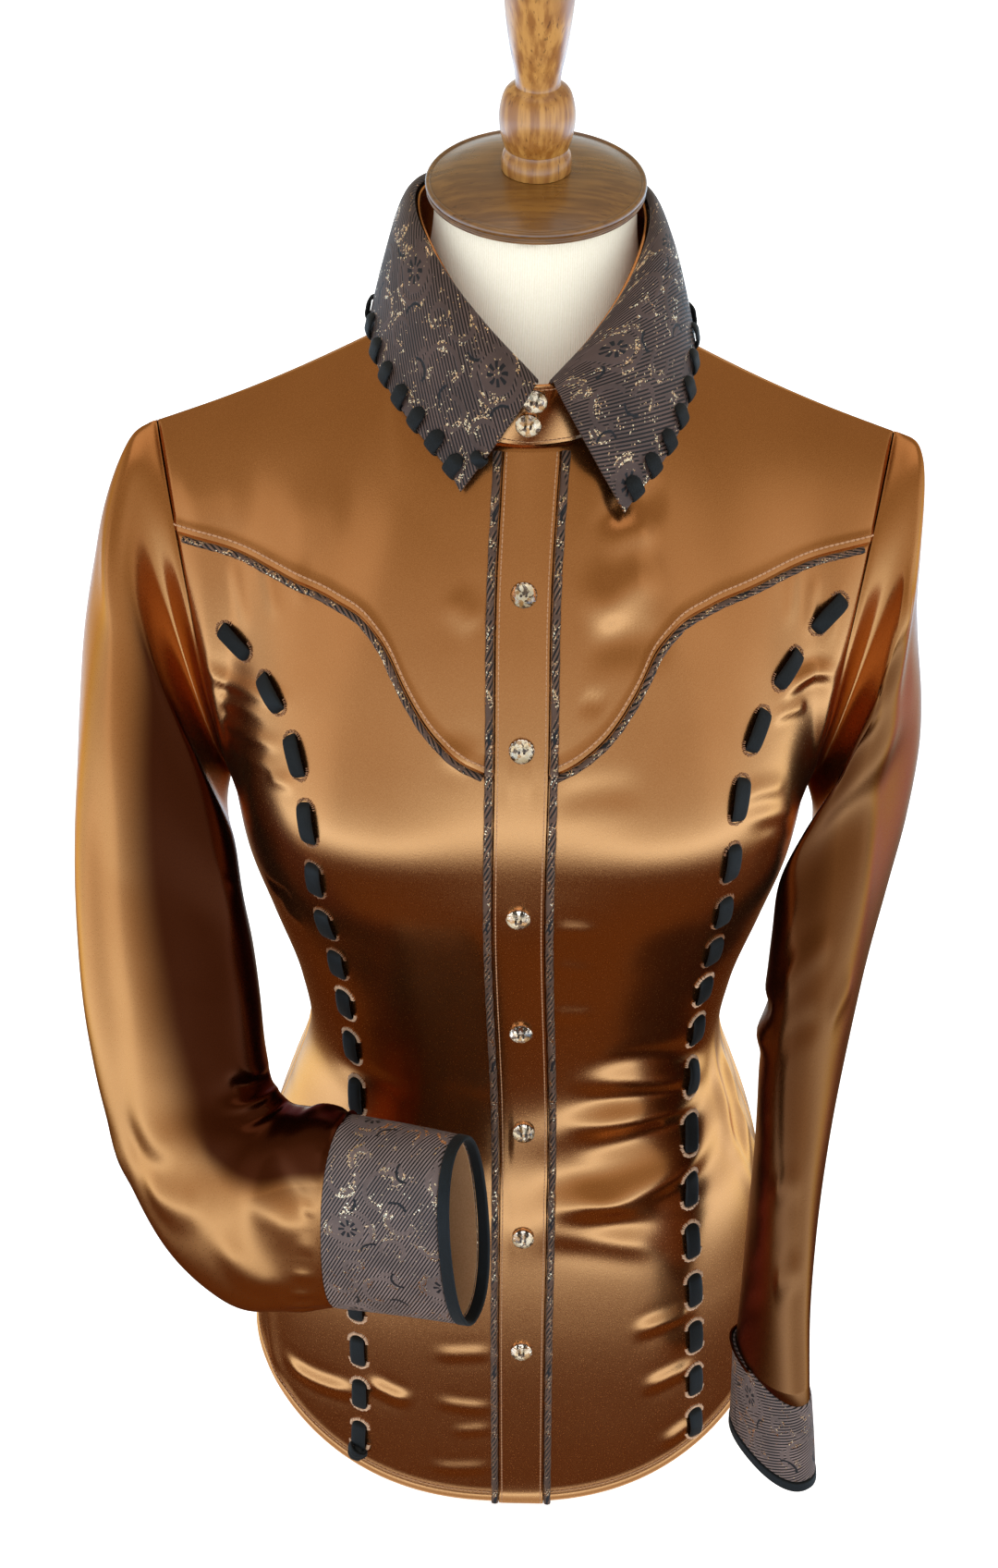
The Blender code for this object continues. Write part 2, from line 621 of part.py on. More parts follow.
def make_sleeve(word, side, rows, cuff_rows):
    """A set-in sleeve from the armhole to the cuff, its cuff, and the cuff's black binding."""
    cuff = section_rings(cuff_rows)
    cuff = loft(cuff, CUFF_STEPS)
    cuff_normals = ring_normals(cuff)
    cuff_normals[0], axis = flat_normals(cuff[0], cuff_normals[0])
    axis *= np.sign(np.dot(axis, cuff[1, 0] - cuff[0, 0]))

    edge, edge_normal, hole, down = armhole_ring(side)
    rings = loft(section_rings(rows, edge), SLEEVE_RINGS)
    rings = sleeve_folds(rings, ring_normals(rings), word)
    turned_back = ease(down * 1.6 - 0.3)[:, None]
    rings[0] = edge + hole * SEAM * 1.6 + edge_normal * ARMHOLE_STEP * turned_back
    rings[-1] = cuff[0] - axis * SEAM
    normals = ring_normals(rings)
    normals[-1] = cuff_normals[0]
    wall(f"sleeve_{word}", rings.swapaxes(0, 1), (rings - normals * CLOTH).swapaxes(0, 1), SATIN, True)

    length = np.linalg.norm(cuff[-1].mean(axis=0) - cuff[0].mean(axis=0))
    end = 1 - BINDING_WIDTH / length
    gap = SEAM / length
    proud = (BINDING_CLOTH - CUFF_CLOTH) / 2
    cuff_wall(f"cuff_{word}", cuff, cuff_normals, (0, 0.35, 0.65, end - gap), 0, CUFF_CLOTH, BROCADE)
    cuff_wall(f"cuff_binding_{word}", cuff, cuff_normals, (end, 1), proud, BINDING_CLOTH, LEATHER)
    if word == "left":
        places = (0.35, 0.65, end - gap)
        cuff_wall("cuff_facing_left", cuff, cuff_normals, places, -CUFF_CLOTH - SEAM, FACING_CLOTH, SATIN)


# Dress form: neck top, wooden cap, finial and foot
FORM_GAP_SHOULDER = 0.0022  # from the cloth's outside, so the cloth rests on the shoulders
FORM_GAP = 0.0075
NECK_TOP = (0.0035, 0.0095, 0.8072)
NECK_RADIUS = 0.0500
NECK_TILT = 13  # degrees that the top of the neck leans forward
NECK_RINGS = (0.2, 0.45, 0.72, 1.0)  # heights of the neck's rings, as shares of its rise
NECK_FLARE = 2.2  # how quickly the neck draws in above the neckline
FORM_UPPER = (0, 0.1, 0.3, 0.6, 1.0)  # its rows from the top edge down to the bust row
FORM_LEVELS = (0.43, 0.37, 0.315, 0.27, 0.21)  # its rows below, heights over the floor
FORM_BOTTOM = 0.088
ARM_SWELL = 0.008  # how far the plates in the armholes swell
CAP_RADIUS = 0.0545
CAP_THICK = 0.0065
CAP_RISE = 0.0065  # of its low dome
CAP_SEAT = 0.94  # height of the finial's seat, as a share of that rise
CAP_SEAT_EDGE = 0.0015  # how far the seat passes the finial's foot
FOOT_RADIUS = 0.092
FOOT_THICK = 0.012
COLUMN_RADIUS = 0.016


def make_form():
    """The padded torso with its neck: whole, smooth and clear of the shirt."""
    u = np.array(BACK_PLACES)
    upper = np.array(FORM_UPPER)
    levels = np.array([*FORM_LEVELS, FORM_BOTTOM])
    verts = []
    faces = []
    columns = {}
    for side in (-1, 1):
        for back in (False, True):
            grid = []
            for place in u:
                low = hem_height(np.array(place), back)
                s = np.concatenate([upper, 1 + (BUST_ROW - levels) / (BUST_ROW - low)])
                point, normal = garment(np.full(s.shape, place), s, back, side)
                start = FORM_GAP_SHOULDER if place >= NECK_SHARE else 2 * FORM_GAP_SHOULDER
                inset = start + (FORM_GAP - start) * ease(s / 0.45)
                grid.append(point - normal * inset[:, None])
            columns[side, back] = np.array(grid)
        front = columns[side, False]
        rear = columns[side, True]
        # the plate that closes each armhole
        arm = (front[-1] + rear[-1]) / 2
        swell = np.zeros(len(arm))
        swell[: len(upper)] = np.sin(upper * math.pi) ** 2 * ARM_SWELL
        arm[:, 0] += side * swell
        for grid in (front, rear, np.array([front[-1], arm, rear[-1]])):
            n, m = grid.shape[:2]
            base = len(verts)
            verts += [tuple(v) for v in grid.reshape(-1, 3)]
            for i in range(n - 1):
                for j in range(m - 1):
                    a = base + i * m + j
                    faces.append((a, a + 1, a + m + 1, a + m))
    # the neck, from the neckline up to the cap
    k = BACK_PLACES.index(NECK_SHARE)
    loop = [columns[1, False][i][0] for i in range(k + 1)]
    loop += [columns[1, True][i][0] for i in range(k - 1, -1, -1)]
    loop += [columns[-1, True][i][0] for i in range(1, k + 1)]
    loop += [columns[-1, False][i][0] for i in range(k - 1, 0, -1)]
    foot = np.array(loop)
    turn = np.arange(len(foot)) / len(foot) * 2 * math.pi - math.pi / 2
    tilt = math.radians(NECK_TILT)
    flat = np.stack([np.cos(turn), np.sin(turn) * math.cos(tilt), np.sin(turn) * math.sin(tilt)], -1)
    top = np.array(NECK_TOP) + flat * NECK_RADIUS
    rings = [foot]
    for f in NECK_RINGS:
        quick = 1 - (1 - f) ** NECK_FLARE
        ring = foot + (top - foot) * np.array([quick, quick, f])
        rings.append(ring)
    base = len(verts)
    n = len(foot)
    verts += [tuple(v) for ring in rings for v in ring]
    for i in range(len(rings) - 1):
        for j in range(n):
            a = base + i * n
            faces.append((a + j, a + (j + 1) % n, a + n + (j + 1) % n, a + n + j))
    faces.append(tuple(base + (len(rings) - 1) * n + j for j in range(n)))
    thing = add_mesh("form_torso", verts, faces, COVER)
    close_bottom(thing)
    return thing


def close_bottom(thing):
    """Weld the torso's patches and close its flat underside."""
    shape = bmesh.new()
    shape.from_mesh(thing.data)
    bmesh.ops.remove_doubles(shape, verts=shape.verts, dist=2e-4)
    rim = [edge for edge in shape.edges if len(edge.link_faces) == 1]
    bmesh.ops.holes_fill(shape, edges=rim, sides=0)
    bmesh.ops.recalc_face_normals(shape, faces=shape.faces)
    shape.to_mesh(thing.data)
    shape.free()


def turned(name, profile, spec, steps=24):
    """A turned solid: its profile runs down its outer side, from the top of the axis to the foot."""
    mesh = bpy.data.meshes.new(name)
    verts = [(r, 0.0, z) for r, z in profile]
    edges = [(i, i + 1) for i in range(len(profile) - 1)]
    mesh.from_pydata(verts, edges, [])
    thing = bpy.data.objects.new(name, mesh)
    thing.data.materials.append(material(spec))
    collection("western_shirt").objects.link(thing)
    screw = thing.modifiers.new("turn", "SCREW")
    screw.steps = steps
    screw.render_steps = steps
    screw.use_merge_vertices = True
    screw.merge_threshold = 0.00005
    screw.use_smooth_shade = True
    return thing


# Turned profiles: radius and height over the piece's own foot, from the top down
FINIAL = (
    (0.0000, 0.1340),
    (0.0080, 0.1325),
    (0.0135, 0.1270),
    (0.0150, 0.1190),
    (0.0168, 0.1080),
    (0.0172, 0.0960),
    (0.0160, 0.0780),
    (0.0135, 0.0600),
    (0.0112, 0.0480),
    (0.0108, 0.0440),
    (0.0150, 0.0400),
    (0.0180, 0.0320),
    (0.0184, 0.0240),
    (0.0160, 0.0130),
    (0.0152, 0.0100),
    (0.0170, 0.0060),
    (0.0172, 0.0000),
    (0.0000, 0.0000),
)


def make_wood():
    """Cap, finial and foot of the form."""
    tilt = math.radians(NECK_TILT)
    up = np.array([0, -math.sin(tilt), math.cos(tilt)])
    # a low dome with a flat seat under the finial
    seat_radius = FINIAL[-2][0] + CAP_SEAT_EDGE
    seat_height = CAP_THICK + CAP_RISE * CAP_SEAT
    cap = (
        (0.0, seat_height),
        (seat_radius, seat_height),
        (0.036, CAP_THICK + CAP_RISE * 0.68),
        (0.047, CAP_THICK + CAP_RISE * 0.32),
        (CAP_RADIUS - 0.0025, CAP_THICK),
        (CAP_RADIUS, CAP_THICK - 0.0020),
        (CAP_RADIUS, 0.0015),
        (CAP_RADIUS - 0.0015, 0.0),
        (0.0, 0.0),
    )
    lower = turned("neck_cap", cap, WOOD, 24)
    lower.location = Vector(np.array(NECK_TOP) + up * SEAM)
    lower.rotation_euler = (tilt, 0, 0)
    upper = turned("finial", FINIAL, WOOD, 14)
    upper.location = Vector(np.array(NECK_TOP) + up * (2 * SEAM + seat_height))
    upper.rotation_euler = (tilt, 0, 0)
    foot = (
        (0.0, FORM_BOTTOM - SEAM),
        (COLUMN_RADIUS + 0.012, FORM_BOTTOM - SEAM),
        (COLUMN_RADIUS + 0.012, FORM_BOTTOM - 0.006),
        (COLUMN_RADIUS, FORM_BOTTOM - 0.012),
        (COLUMN_RADIUS, FOOT_THICK + 0.010),
        (COLUMN_RADIUS + 0.010, FOOT_THICK + 0.002),
        (FOOT_RADIUS - 0.006, FOOT_THICK),
        (FOOT_RADIUS, FOOT_THICK - 0.004),
        (FOOT_RADIUS, 0.0),
        (0.0, 0.0),
    )
    turned("form_foot", foot, WOOD, 24)


# Collar: t runs from the centre back (0) to the front (1). The fold is the collar's upper edge,
# and the edge columns give where its outer edge lies over the shirt.
COLLAR_COLUMNS = ("t", "fold_x", "fold_y", "fold_z", "edge_x", "edge_y")
COLLAR = (
    (0.00, 0.000, 0.072, 0.806, 0.0000, 0.0800),
    (0.08, 0.0135, 0.0708, 0.806, 0.0165, 0.0786),
    (0.25, 0.040, 0.058, 0.807, 0.0490, 0.0650),
    (0.50, 0.0605, 0.012, 0.805, 0.0770, 0.0150),
    (0.62, 0.0580, -0.016, 0.797, 0.0775, -0.012),
    (0.74, 0.046, -0.040, 0.780, 0.0715, -0.035),
    (0.86, 0.028, -0.061, 0.762, 0.0590, -0.056),
    (1.00, 0.004, -0.079, 0.742, 0.0390, -0.077),
)
COLLAR_BACK_RIM = 0.7435  # height of its outer edge behind the shoulders
COLLAR_TWIST = 0.009  # the closed collar sits this far to the right at the front
COLLAR_LIFT = 0.0084  # its outer edge over the shirt
COLLAR_LEAN = 0.8  # how far the leaf's way out turns from the neck's sides to its front and back
COLLAR_TILT = 0.55  # how far its lifted edge is pushed out, for each metre up
COLLAR_ROLL = (0.010, 0.006)  # from the fold out and down to the curve's middle point
COLLAR_LIES = (0.44, 0.16)  # the place t where its edge starts to lie on the shirt, and over how much
COLLAR_POINTS = 32
COLLAR_ROWS = (0.0, 0.18, 0.42, 0.70, 1.0)
STAND_SPREAD = 0.0042  # from the fold in to the stand
STAND_DROP = 0.0022
TAB_LENGTH = 0.115  # share of t that the stand's round end passes the centre
TAB_LIFT = 0.0034
TAB_RISE = 0.0012
STAND_RISE = 0.0009  # its lower edge over the neckline
STAND_START = 0.004
STAND_REAR = 8  # its steps on each side of the centre back
STAND_TAB = 6  # its steps along the tab
STAND_EASE = 5  # its steps over which the lap rises
STITCH_PITCH = 0.0150  # lace stitches round the collar
STITCH_REACH = 0.0095
STITCH_WIDTH = 0.0050
STITCH_THICK = 0.0018
STITCH_LIFT = 0.0007
STITCH_UNDER = 0.0004  # more room under the leaf, where it curves
RUN_TESTS = (0.0, 0.15, 0.3, 0.45, 0.6, 0.8, 1.0)  # places along a run where its room is measured
STITCH_END = 0.0110  # from the collar's points to the first and last stitch


class Seat:
    """Finds places on the outside of finished panels."""

    def __init__(self, grids):
        verts = []
        faces = []
        for grid in grids:
            n, m = grid.shape[:2]
            base = len(verts)
            verts += [tuple(v) for v in grid.reshape(-1, 3)]
            for i in range(n - 1):
                for j in range(m - 1):
                    a = base + i * m + j
                    faces.append((a, a + m, a + m + 1))
                    faces.append((a, a + m + 1, a + 1))
        self.tree = BVHTree.FromPolygons(verts, faces)

    def cast(self, start, way):
        """The first point that a ray meets."""
        return self.tree.ray_cast(Vector(start), Vector(way))[0]

    def room(self, spot, away):
        """How far a point lies off the surface, along the way that leads off it."""
        near = self.tree.find_nearest(Vector(spot))[0]
        return float(np.dot(spot - np.array(near), away))

    def front(self, x, z, lift=0.0, reach=0.005):
        """A point at (x, z) on the front, moved out by lift, and the smooth normal there."""
        spot = self.cast((x, -1, z), (0, 1, 0))
        if spot is None:
            raise ValueError(f"no cloth at {x:.4f}, {z:.4f}")
        around = []
        for dx, dz in ((reach, 0), (0, reach), (-reach, 0), (0, -reach)):
            near = self.cast((x + dx, -1, z + dz), (0, 1, 0))
            around.append(np.array(near if near is not None else spot))
        normal = unit(np.cross(around[1] - around[3], around[0] - around[2]))
        normal *= np.sign(-normal[1])
        return np.array(spot) + normal * lift, normal


def collar_curves(t):
    """The fold and the outer edge of the collar over the shirt at places t (-1 to 1)."""
    rows = table(COLLAR_COLUMNS, COLLAR)
    a = np.abs(t)
    side = np.where(t < 0, -1.0, 1.0)
    twist = COLLAR_TWIST * ease((a - 0.35) / 0.65)
    fold = np.stack([smooth(a, rows["t"], rows[f"fold_{axis}"]) for axis in "xyz"], -1)
    edge = np.stack([smooth(a, rows["t"], rows[f"edge_{axis}"]) for axis in "xy"], -1)
    fold[:, 0] = fold[:, 0] * side + twist
    edge[:, 0] = edge[:, 0] * side + twist
    return fold, edge


def collar_leaf(t, v, seat):
    """Points of the folded leaf: v is 0 at the fold and 1 at the outer edge."""
    fold, edge = collar_curves(t)
    grid = []
    for place, f, e in zip(np.abs(t), fold, edge):
        out = unit(np.array([e[0] * COLLAR_LEAN, e[1], 0.0]))
        spot = np.array(seat.cast((e[0], e[1], 1.2), (0, 0, -1)))
        lying = spot + unit(out * COLLAR_TILT + np.array([0, 0, 1.0])) * COLLAR_LIFT
        standing = np.array([*e, COLLAR_BACK_RIM])
        ahead = ease((place - COLLAR_LIES[0]) / COLLAR_LIES[1])
        rim = standing + (lying - standing) * ahead
        roll = f + out * COLLAR_ROLL[0] - np.array([0, 0, COLLAR_ROLL[1]])
        grid.append([f * (1 - k) ** 2 + 2 * roll * k * (1 - k) + rim * k**2 for k in v])
    return np.array(grid)


def grid_normals(grid, away):
    """Normals of a grid of points, on the side that faces away from the point `away`."""
    across = np.gradient(grid, axis=0)
    down = np.gradient(grid, axis=1)
    normal = unit(np.cross(across, down))
    sign = np.sum(normal * (grid - away), axis=-1)
    return normal * np.sign(np.sum(sign))


def make_collar(seat):
    """The leaf with slits near its outer edge, and the lace that is whipped over that edge."""
    t = np.linspace(-1, 1, COLLAR_POINTS + 1)
    outer = collar_leaf(t, np.array(COLLAR_ROWS), seat)
    normals = grid_normals(outer, np.array([0, 0, 0.70]))
    leaf = wall("collar_leaf", outer, outer - normals * COLLAR_CLOTH, BROCADE)

    # out through a slit, over the edge, back under it and along to the next slit
    rim = outer[:, -1]
    run = np.concatenate([[0], np.cumsum(np.linalg.norm(np.diff(rim, axis=0), axis=1))])
    count = int((run[-1] - 2 * STITCH_END) / STITCH_PITCH) + 1
    over = STITCH_THICK / 2 + STITCH_LIFT
    upside = Seat([outer])
    underside = Seat([outer - normals * COLLAR_CLOTH])
    path = []
    sides = []
    mitres = []
    slits = []
    for stop in np.linspace(STITCH_END, run[-1] - STITCH_END, count):
        i = int(np.searchsorted(run, stop)) - 1
        share = (stop - run[i]) / (run[i + 1] - run[i])
        edge = rim[i] + (rim[i + 1] - rim[i]) * share
        above = outer[i, -2] + (outer[i + 1, -2] - outer[i, -2]) * share
        edge_way = unit(rim[i + 1] - rim[i])
        normal = unit(np.cross(edge_way, above - edge))
        inward = unit(np.cross(normal, edge_way))
        normal *= np.sign(np.dot(normal, normals[i, -1]))
        across = unit(np.cross(inward, normal))
        hole = edge + inward * STITCH_REACH
        below = normal * (COLLAR_CLOTH + over + STITCH_UNDER)
        path += [hole - below, hole + normal * over]
        path += [edge + normal * over - inward * over, edge - below - inward * over]
        mitres += [inward - normal, inward + normal, normal - inward, -inward - normal]
        sides += [across] * 4
        slits.append((hole, inward, across, normal))
    path = np.array(path)
    # each run on either side of the leaf is moved off until it clears the leaf
    for k in range(1, len(path) - 1, 2):
        face, way = (upside, 1) if k % 4 == 1 else (underside, -1)
        first, last = slits[k // 4][3] * way, slits[(k + 1) // 4][3] * way
        for _ in range(6):
            spots = [path[k] + (path[k + 1] - path[k]) * f for f in RUN_TESTS]
            room = min(face.room(spot, first) for spot in spots)
            if room < over:
                path[k] += first * (over - room)
                path[k + 1] += last * (over - room)
    wide = np.array(sides) * STITCH_WIDTH / 2
    high = np.array(mitres) * STITCH_THICK / 2
    rings = np.stack([path + wide + high, path - wide + high, path - wide - high, path + wide - high], axis=1)
    sweep("collar_lace", rings, LEATHER)
    cut_slits("collar_slits", leaf, slits, STITCH_THICK, STITCH_WIDTH)


def cut_slits(name, target, slits, thick, width):
    """Cut one slit through a wall for each place where a lace passes it."""
    verts = []
    faces = []
    for middle, along, across, normal in slits:
        a = along * (thick / 2 + SEAM)
        b = across * (width / 2 + SEAM)
        c = normal * 0.0045
        base = len(verts)
        for z in (-1, 1):
            for y in (-1, 1):
                for x in (-1, 1):
                    verts.append(tuple(middle + a * x + b * y + c * z))
        for quad in ((0, 1, 3, 2), (4, 6, 7, 5), (0, 4, 5, 1), (2, 3, 7, 6), (0, 2, 6, 4), (1, 5, 7, 3)):
            faces.append(tuple(base + i for i in quad))
    cutter = add_mesh(name, verts, faces, LEATHER, "cutters")
    cutter.hide_render = True
    cutter.display_type = "WIRE"
    cut = target.modifiers.new("slits", "BOOLEAN")
    cut.operation = "DIFFERENCE"
    cut.object = cutter
    cut.solver = "MANIFOLD"


def stand_place(w):
    """Bottom and top of the stand at w, from -1 (left front) round the back to 1 (right front)."""
    side = -1.0 if w < 0 else 1.0
    back = abs(w) < 0.5
    share = abs(w) * 2 if back else (1 - abs(w)) * 2
    places = np.array(BACK_PLACES if back else FRONT_PLACES)
    u = np.interp(share * NECK_SHARE, places, np.arange(len(places)))
    near = places[[int(u), min(int(u) + 1, len(places) - 1)]]
    ends, _normals = garment(near, np.zeros(2), back, side)
    low = ends[0] + (ends[1] - ends[0]) * (u - int(u)) + np.array([0, 0, STAND_RISE])
    fold = collar_curves(np.array([w]))[0][0]
    out = unit(fold * np.array([1, 1, 0]))
    return low, fold - out * STAND_SPREAD - np.array([0, 0, STAND_DROP])


def stand_line(places):
    """Such bottoms and tops at many places."""
    ends = [stand_place(w) for w in places]
    return np.array([low for low, _top in ends]), np.array([top for _low, top in ends])


def make_stand():
    """The collar stand, open at the front, with a round tab that laps over its other end."""
    front = 1 - np.array(FRONT_PLACES)[: FRONT_PLACES.index(NECK_SHARE) + 1] / NECK_SHARE / 2
    rear = np.linspace(0.5, -0.5, 2 * STAND_REAR + 1)
    w = np.concatenate([front, rear[1:-1], -front[::-1]])
    w[0] -= STAND_START
    low, top = stand_line(w)
    # the tab goes on past the centre, over the right end of the stand
    past = np.linspace(0, 1, STAND_TAB + 1)[1:]
    tab_low, tab_top = stand_line(1 - past * TAB_LENGTH)
    drop = (1 - np.sqrt(1 - np.clip((past - 0.35) / 0.65, 0, 1) ** 2 * 0.94))[:, None]
    tab_top = tab_top + (tab_low - tab_top) * drop * 0.8
    low = np.vstack([low, tab_low])
    top = np.vstack([top, tab_top])
    v = np.linspace(0, 1, 3)[None, :, None]
    grid = low[:, None] * (1 - v) + top[:, None] * v
    normals = grid_normals(grid, np.array([0, 0, 0.76]))
    lap = np.concatenate([np.zeros(len(w) - STAND_EASE), ease(np.arange(1, STAND_EASE + 1) / STAND_EASE)])
    lap = np.concatenate([lap, np.ones(len(past))])
    grid = grid + normals * (lap * TAB_LIFT)[:, None, None]
    grid[:, 0, 2] += lap * TAB_RISE
    wall("collar_stand", grid, grid - normals * COLLAR_CLOTH, SATIN)
    return grid


# Front edge: the buttons' line leans a little to the right lower down
LINE_COLUMNS = ("height", "across")
FRONT_LINE = (
    (0.010, 0.0090),
    (0.150, 0.0072),
    (0.300, 0.0062),
    (0.460, 0.0010),
    (0.560, 0.0012),
    (0.640, 0.0010),
    (0.710, 0.0040),
)
PLACKET_HALF = 0.0140
BAND_LIFT = 0.0008
PLACKET_TOP = 0.12  # share of the yoke's first row that shows over the band
PIPING = 0.0019
YOKE_PIPING_DROP = 0.0030  # from the yoke's edge down to the middle of its piping
YOKE_PIPING_ENDS = (0.0240, 0.1690)
BUTTON_HEIGHTS = (0.638, 0.563, 0.466, 0.379, 0.304, 0.232, 0.148)
BUTTON_RADIUS = 0.0064
BUTTON_THICK = 0.0040
BUTTON_LIFT = 0.0008
COLLAR_BUTTONS = ((0.0045, 0.7315), (0.0018, 0.7185))


def line_at(z):
    """Where the front edge's middle line runs at a height."""
    rows = table(LINE_COLUMNS, FRONT_LINE)
    return float(smooth(z, rows["height"], rows["across"]))


def on_row(fronts, row, x):
    """The point at x on one row of the fronts' points, and the normal of the nearer cloth."""
    grid = fronts[0] if x < 0 else fronts[1]
    line = grid[:, row]
    order = np.argsort(line[:, 0])
    spot = np.array([np.interp(x, line[order, 0], line[order, axis]) for axis in range(3)])
    i = int(np.clip(np.searchsorted(np.abs(line[:, 0]), abs(x)), 1, len(line) - 2))
    across = line[i + 1] - line[i - 1]
    down = grid[i, min(row + 1, grid.shape[1] - 1)] - grid[i, max(row - 1, 0)]
    normal = unit(np.cross(across, down))
    return spot, normal * np.sign(-normal[1])


def front_strip(fronts, offset, lift):
    """Points down the front at this offset from the buttons' line, on every row of the cloth."""
    points = []
    for row in range(fronts[0].shape[1]):
        height = fronts[0][0, row, 2]
        spot, normal = on_row(fronts, row, line_at(height) + offset)
        points.append(spot + normal * lift)
    points = np.array(points)
    points[0] += (points[1] - points[0]) * PLACKET_TOP
    return points


def make_placket(fronts):
    """The button band, and the brocade piping along both of its edges."""
    offsets = np.linspace(-PLACKET_HALF, PLACKET_HALF, 4)
    low = np.array([front_strip(fronts, x, BAND_LIFT) for x in offsets])
    high = np.array([front_strip(fronts, x, BAND_LIFT + CLOTH) for x in offsets])
    wall("placket", high, low, SATIN)
    for side, word in ((-1, "left"), (1, "right")):
        points = front_strip(fronts, side * (PLACKET_HALF + SEAM + PIPING), PIPING + LIFT)
        tube(f"placket_piping_{word}", points, PIPING, BROCADE)
    return high


def make_yoke_piping(seat):
    """Brocade piping under the yoke's edge."""
    seam = table(YOKE_COLUMNS, YOKE_SEAM)
    for side, word in ((-1, "left"), (1, "right")):
        points = []
        for x in np.linspace(*YOKE_PIPING_ENDS, 16):
            z = float(smooth(x, seam["across"], seam["height"]))
            slope = float(smooth(x + 1e-3, seam["across"], seam["height"])) - z
            down = np.array([slope, -1e-3]) / math.hypot(slope, 1e-3) * YOKE_PIPING_DROP
            spot, _normal = seat.front(side * (x + down[0]), z + down[1], PIPING + LIFT)
            points.append(spot)
        tube(f"yoke_piping_{word}", points, PIPING * 0.9, BROCADE)


def make_buttons(seat, band, stand):
    """Faceted crystal buttons down the band and two on the collar tab."""
    band_seat = Seat([band])
    stand_seat = Seat([stand])
    places = [(f"button_{i + 1}", line_at(z), z, band_seat) for i, z in enumerate(BUTTON_HEIGHTS)]
    places += [(f"collar_button_{i + 1}", x, z, stand_seat) for i, (x, z) in enumerate(COLLAR_BUTTONS)]
    for name, x, z, ground in places:
        spot, normal = ground.front(x, z, 0.0)
        shape = bmesh.new()
        bmesh.ops.create_cone(
            shape,
            cap_ends=True,
            segments=10,
            radius1=BUTTON_RADIUS,
            radius2=BUTTON_RADIUS * 0.66,
            depth=BUTTON_THICK,
        )
        mesh = bpy.data.meshes.new(name)
        shape.to_mesh(mesh)
        shape.free()
        thing = bpy.data.objects.new(name, mesh)
        thing.data.materials.append(material(CRYSTAL))
        collection("western_shirt").objects.link(thing)
        thing.location = Vector(spot + normal * (BUTTON_THICK / 2 + BUTTON_LIFT))
        thing.rotation_euler = Vector(normal).to_track_quat("Z", "Y").to_euler()


# Laces down the fronts: across and height of points on their line
LACE_COLUMNS = ("across", "height")
LACE_LINE = {
    "left": (
        (-0.162, 0.597),
        (-0.133, 0.576),
        (-0.1165, 0.550),
        (-0.108, 0.509),
        (-0.1045, 0.459),
        (-0.0985, 0.420),
        (-0.0932, 0.350),
        (-0.0905, 0.300),
        (-0.0912, 0.240),
        (-0.0925, 0.170),
        (-0.0916, 0.100),
        (-0.0935, 0.040),
    ),
    "right": (
        (0.171, 0.617),
        (0.146, 0.592),
        (0.1265, 0.5685),
        (0.1145, 0.535),
        (0.1110, 0.489),
        (0.1090, 0.443),
        (0.1045, 0.380),
        (0.1030, 0.310),
        (0.1050, 0.240),
        (0.1110, 0.170),
        (0.1145, 0.110),
        (0.1180, 0.044),
    ),
}
LACE_RUNS = 17
LACE_SHARE = 0.64  # share of each step that shows on the outside
LACE_WIDTH = 0.0084
LACE_THICK = 0.0020
LACE_LIFT = 0.0007
LACE_LOOP = 0.0014  # how far each visible stretch bows out
KNOT = 0.0095
# distances along the knot, each with its share of the knot's size
KNOT_SHAPE = ((0.002, 0.75), (0.006, 1.0), (0.010, 0.75), (0.012, 0.35))
KNOT_LEAN = 0.12  # how fast it leaves the cloth towards its end


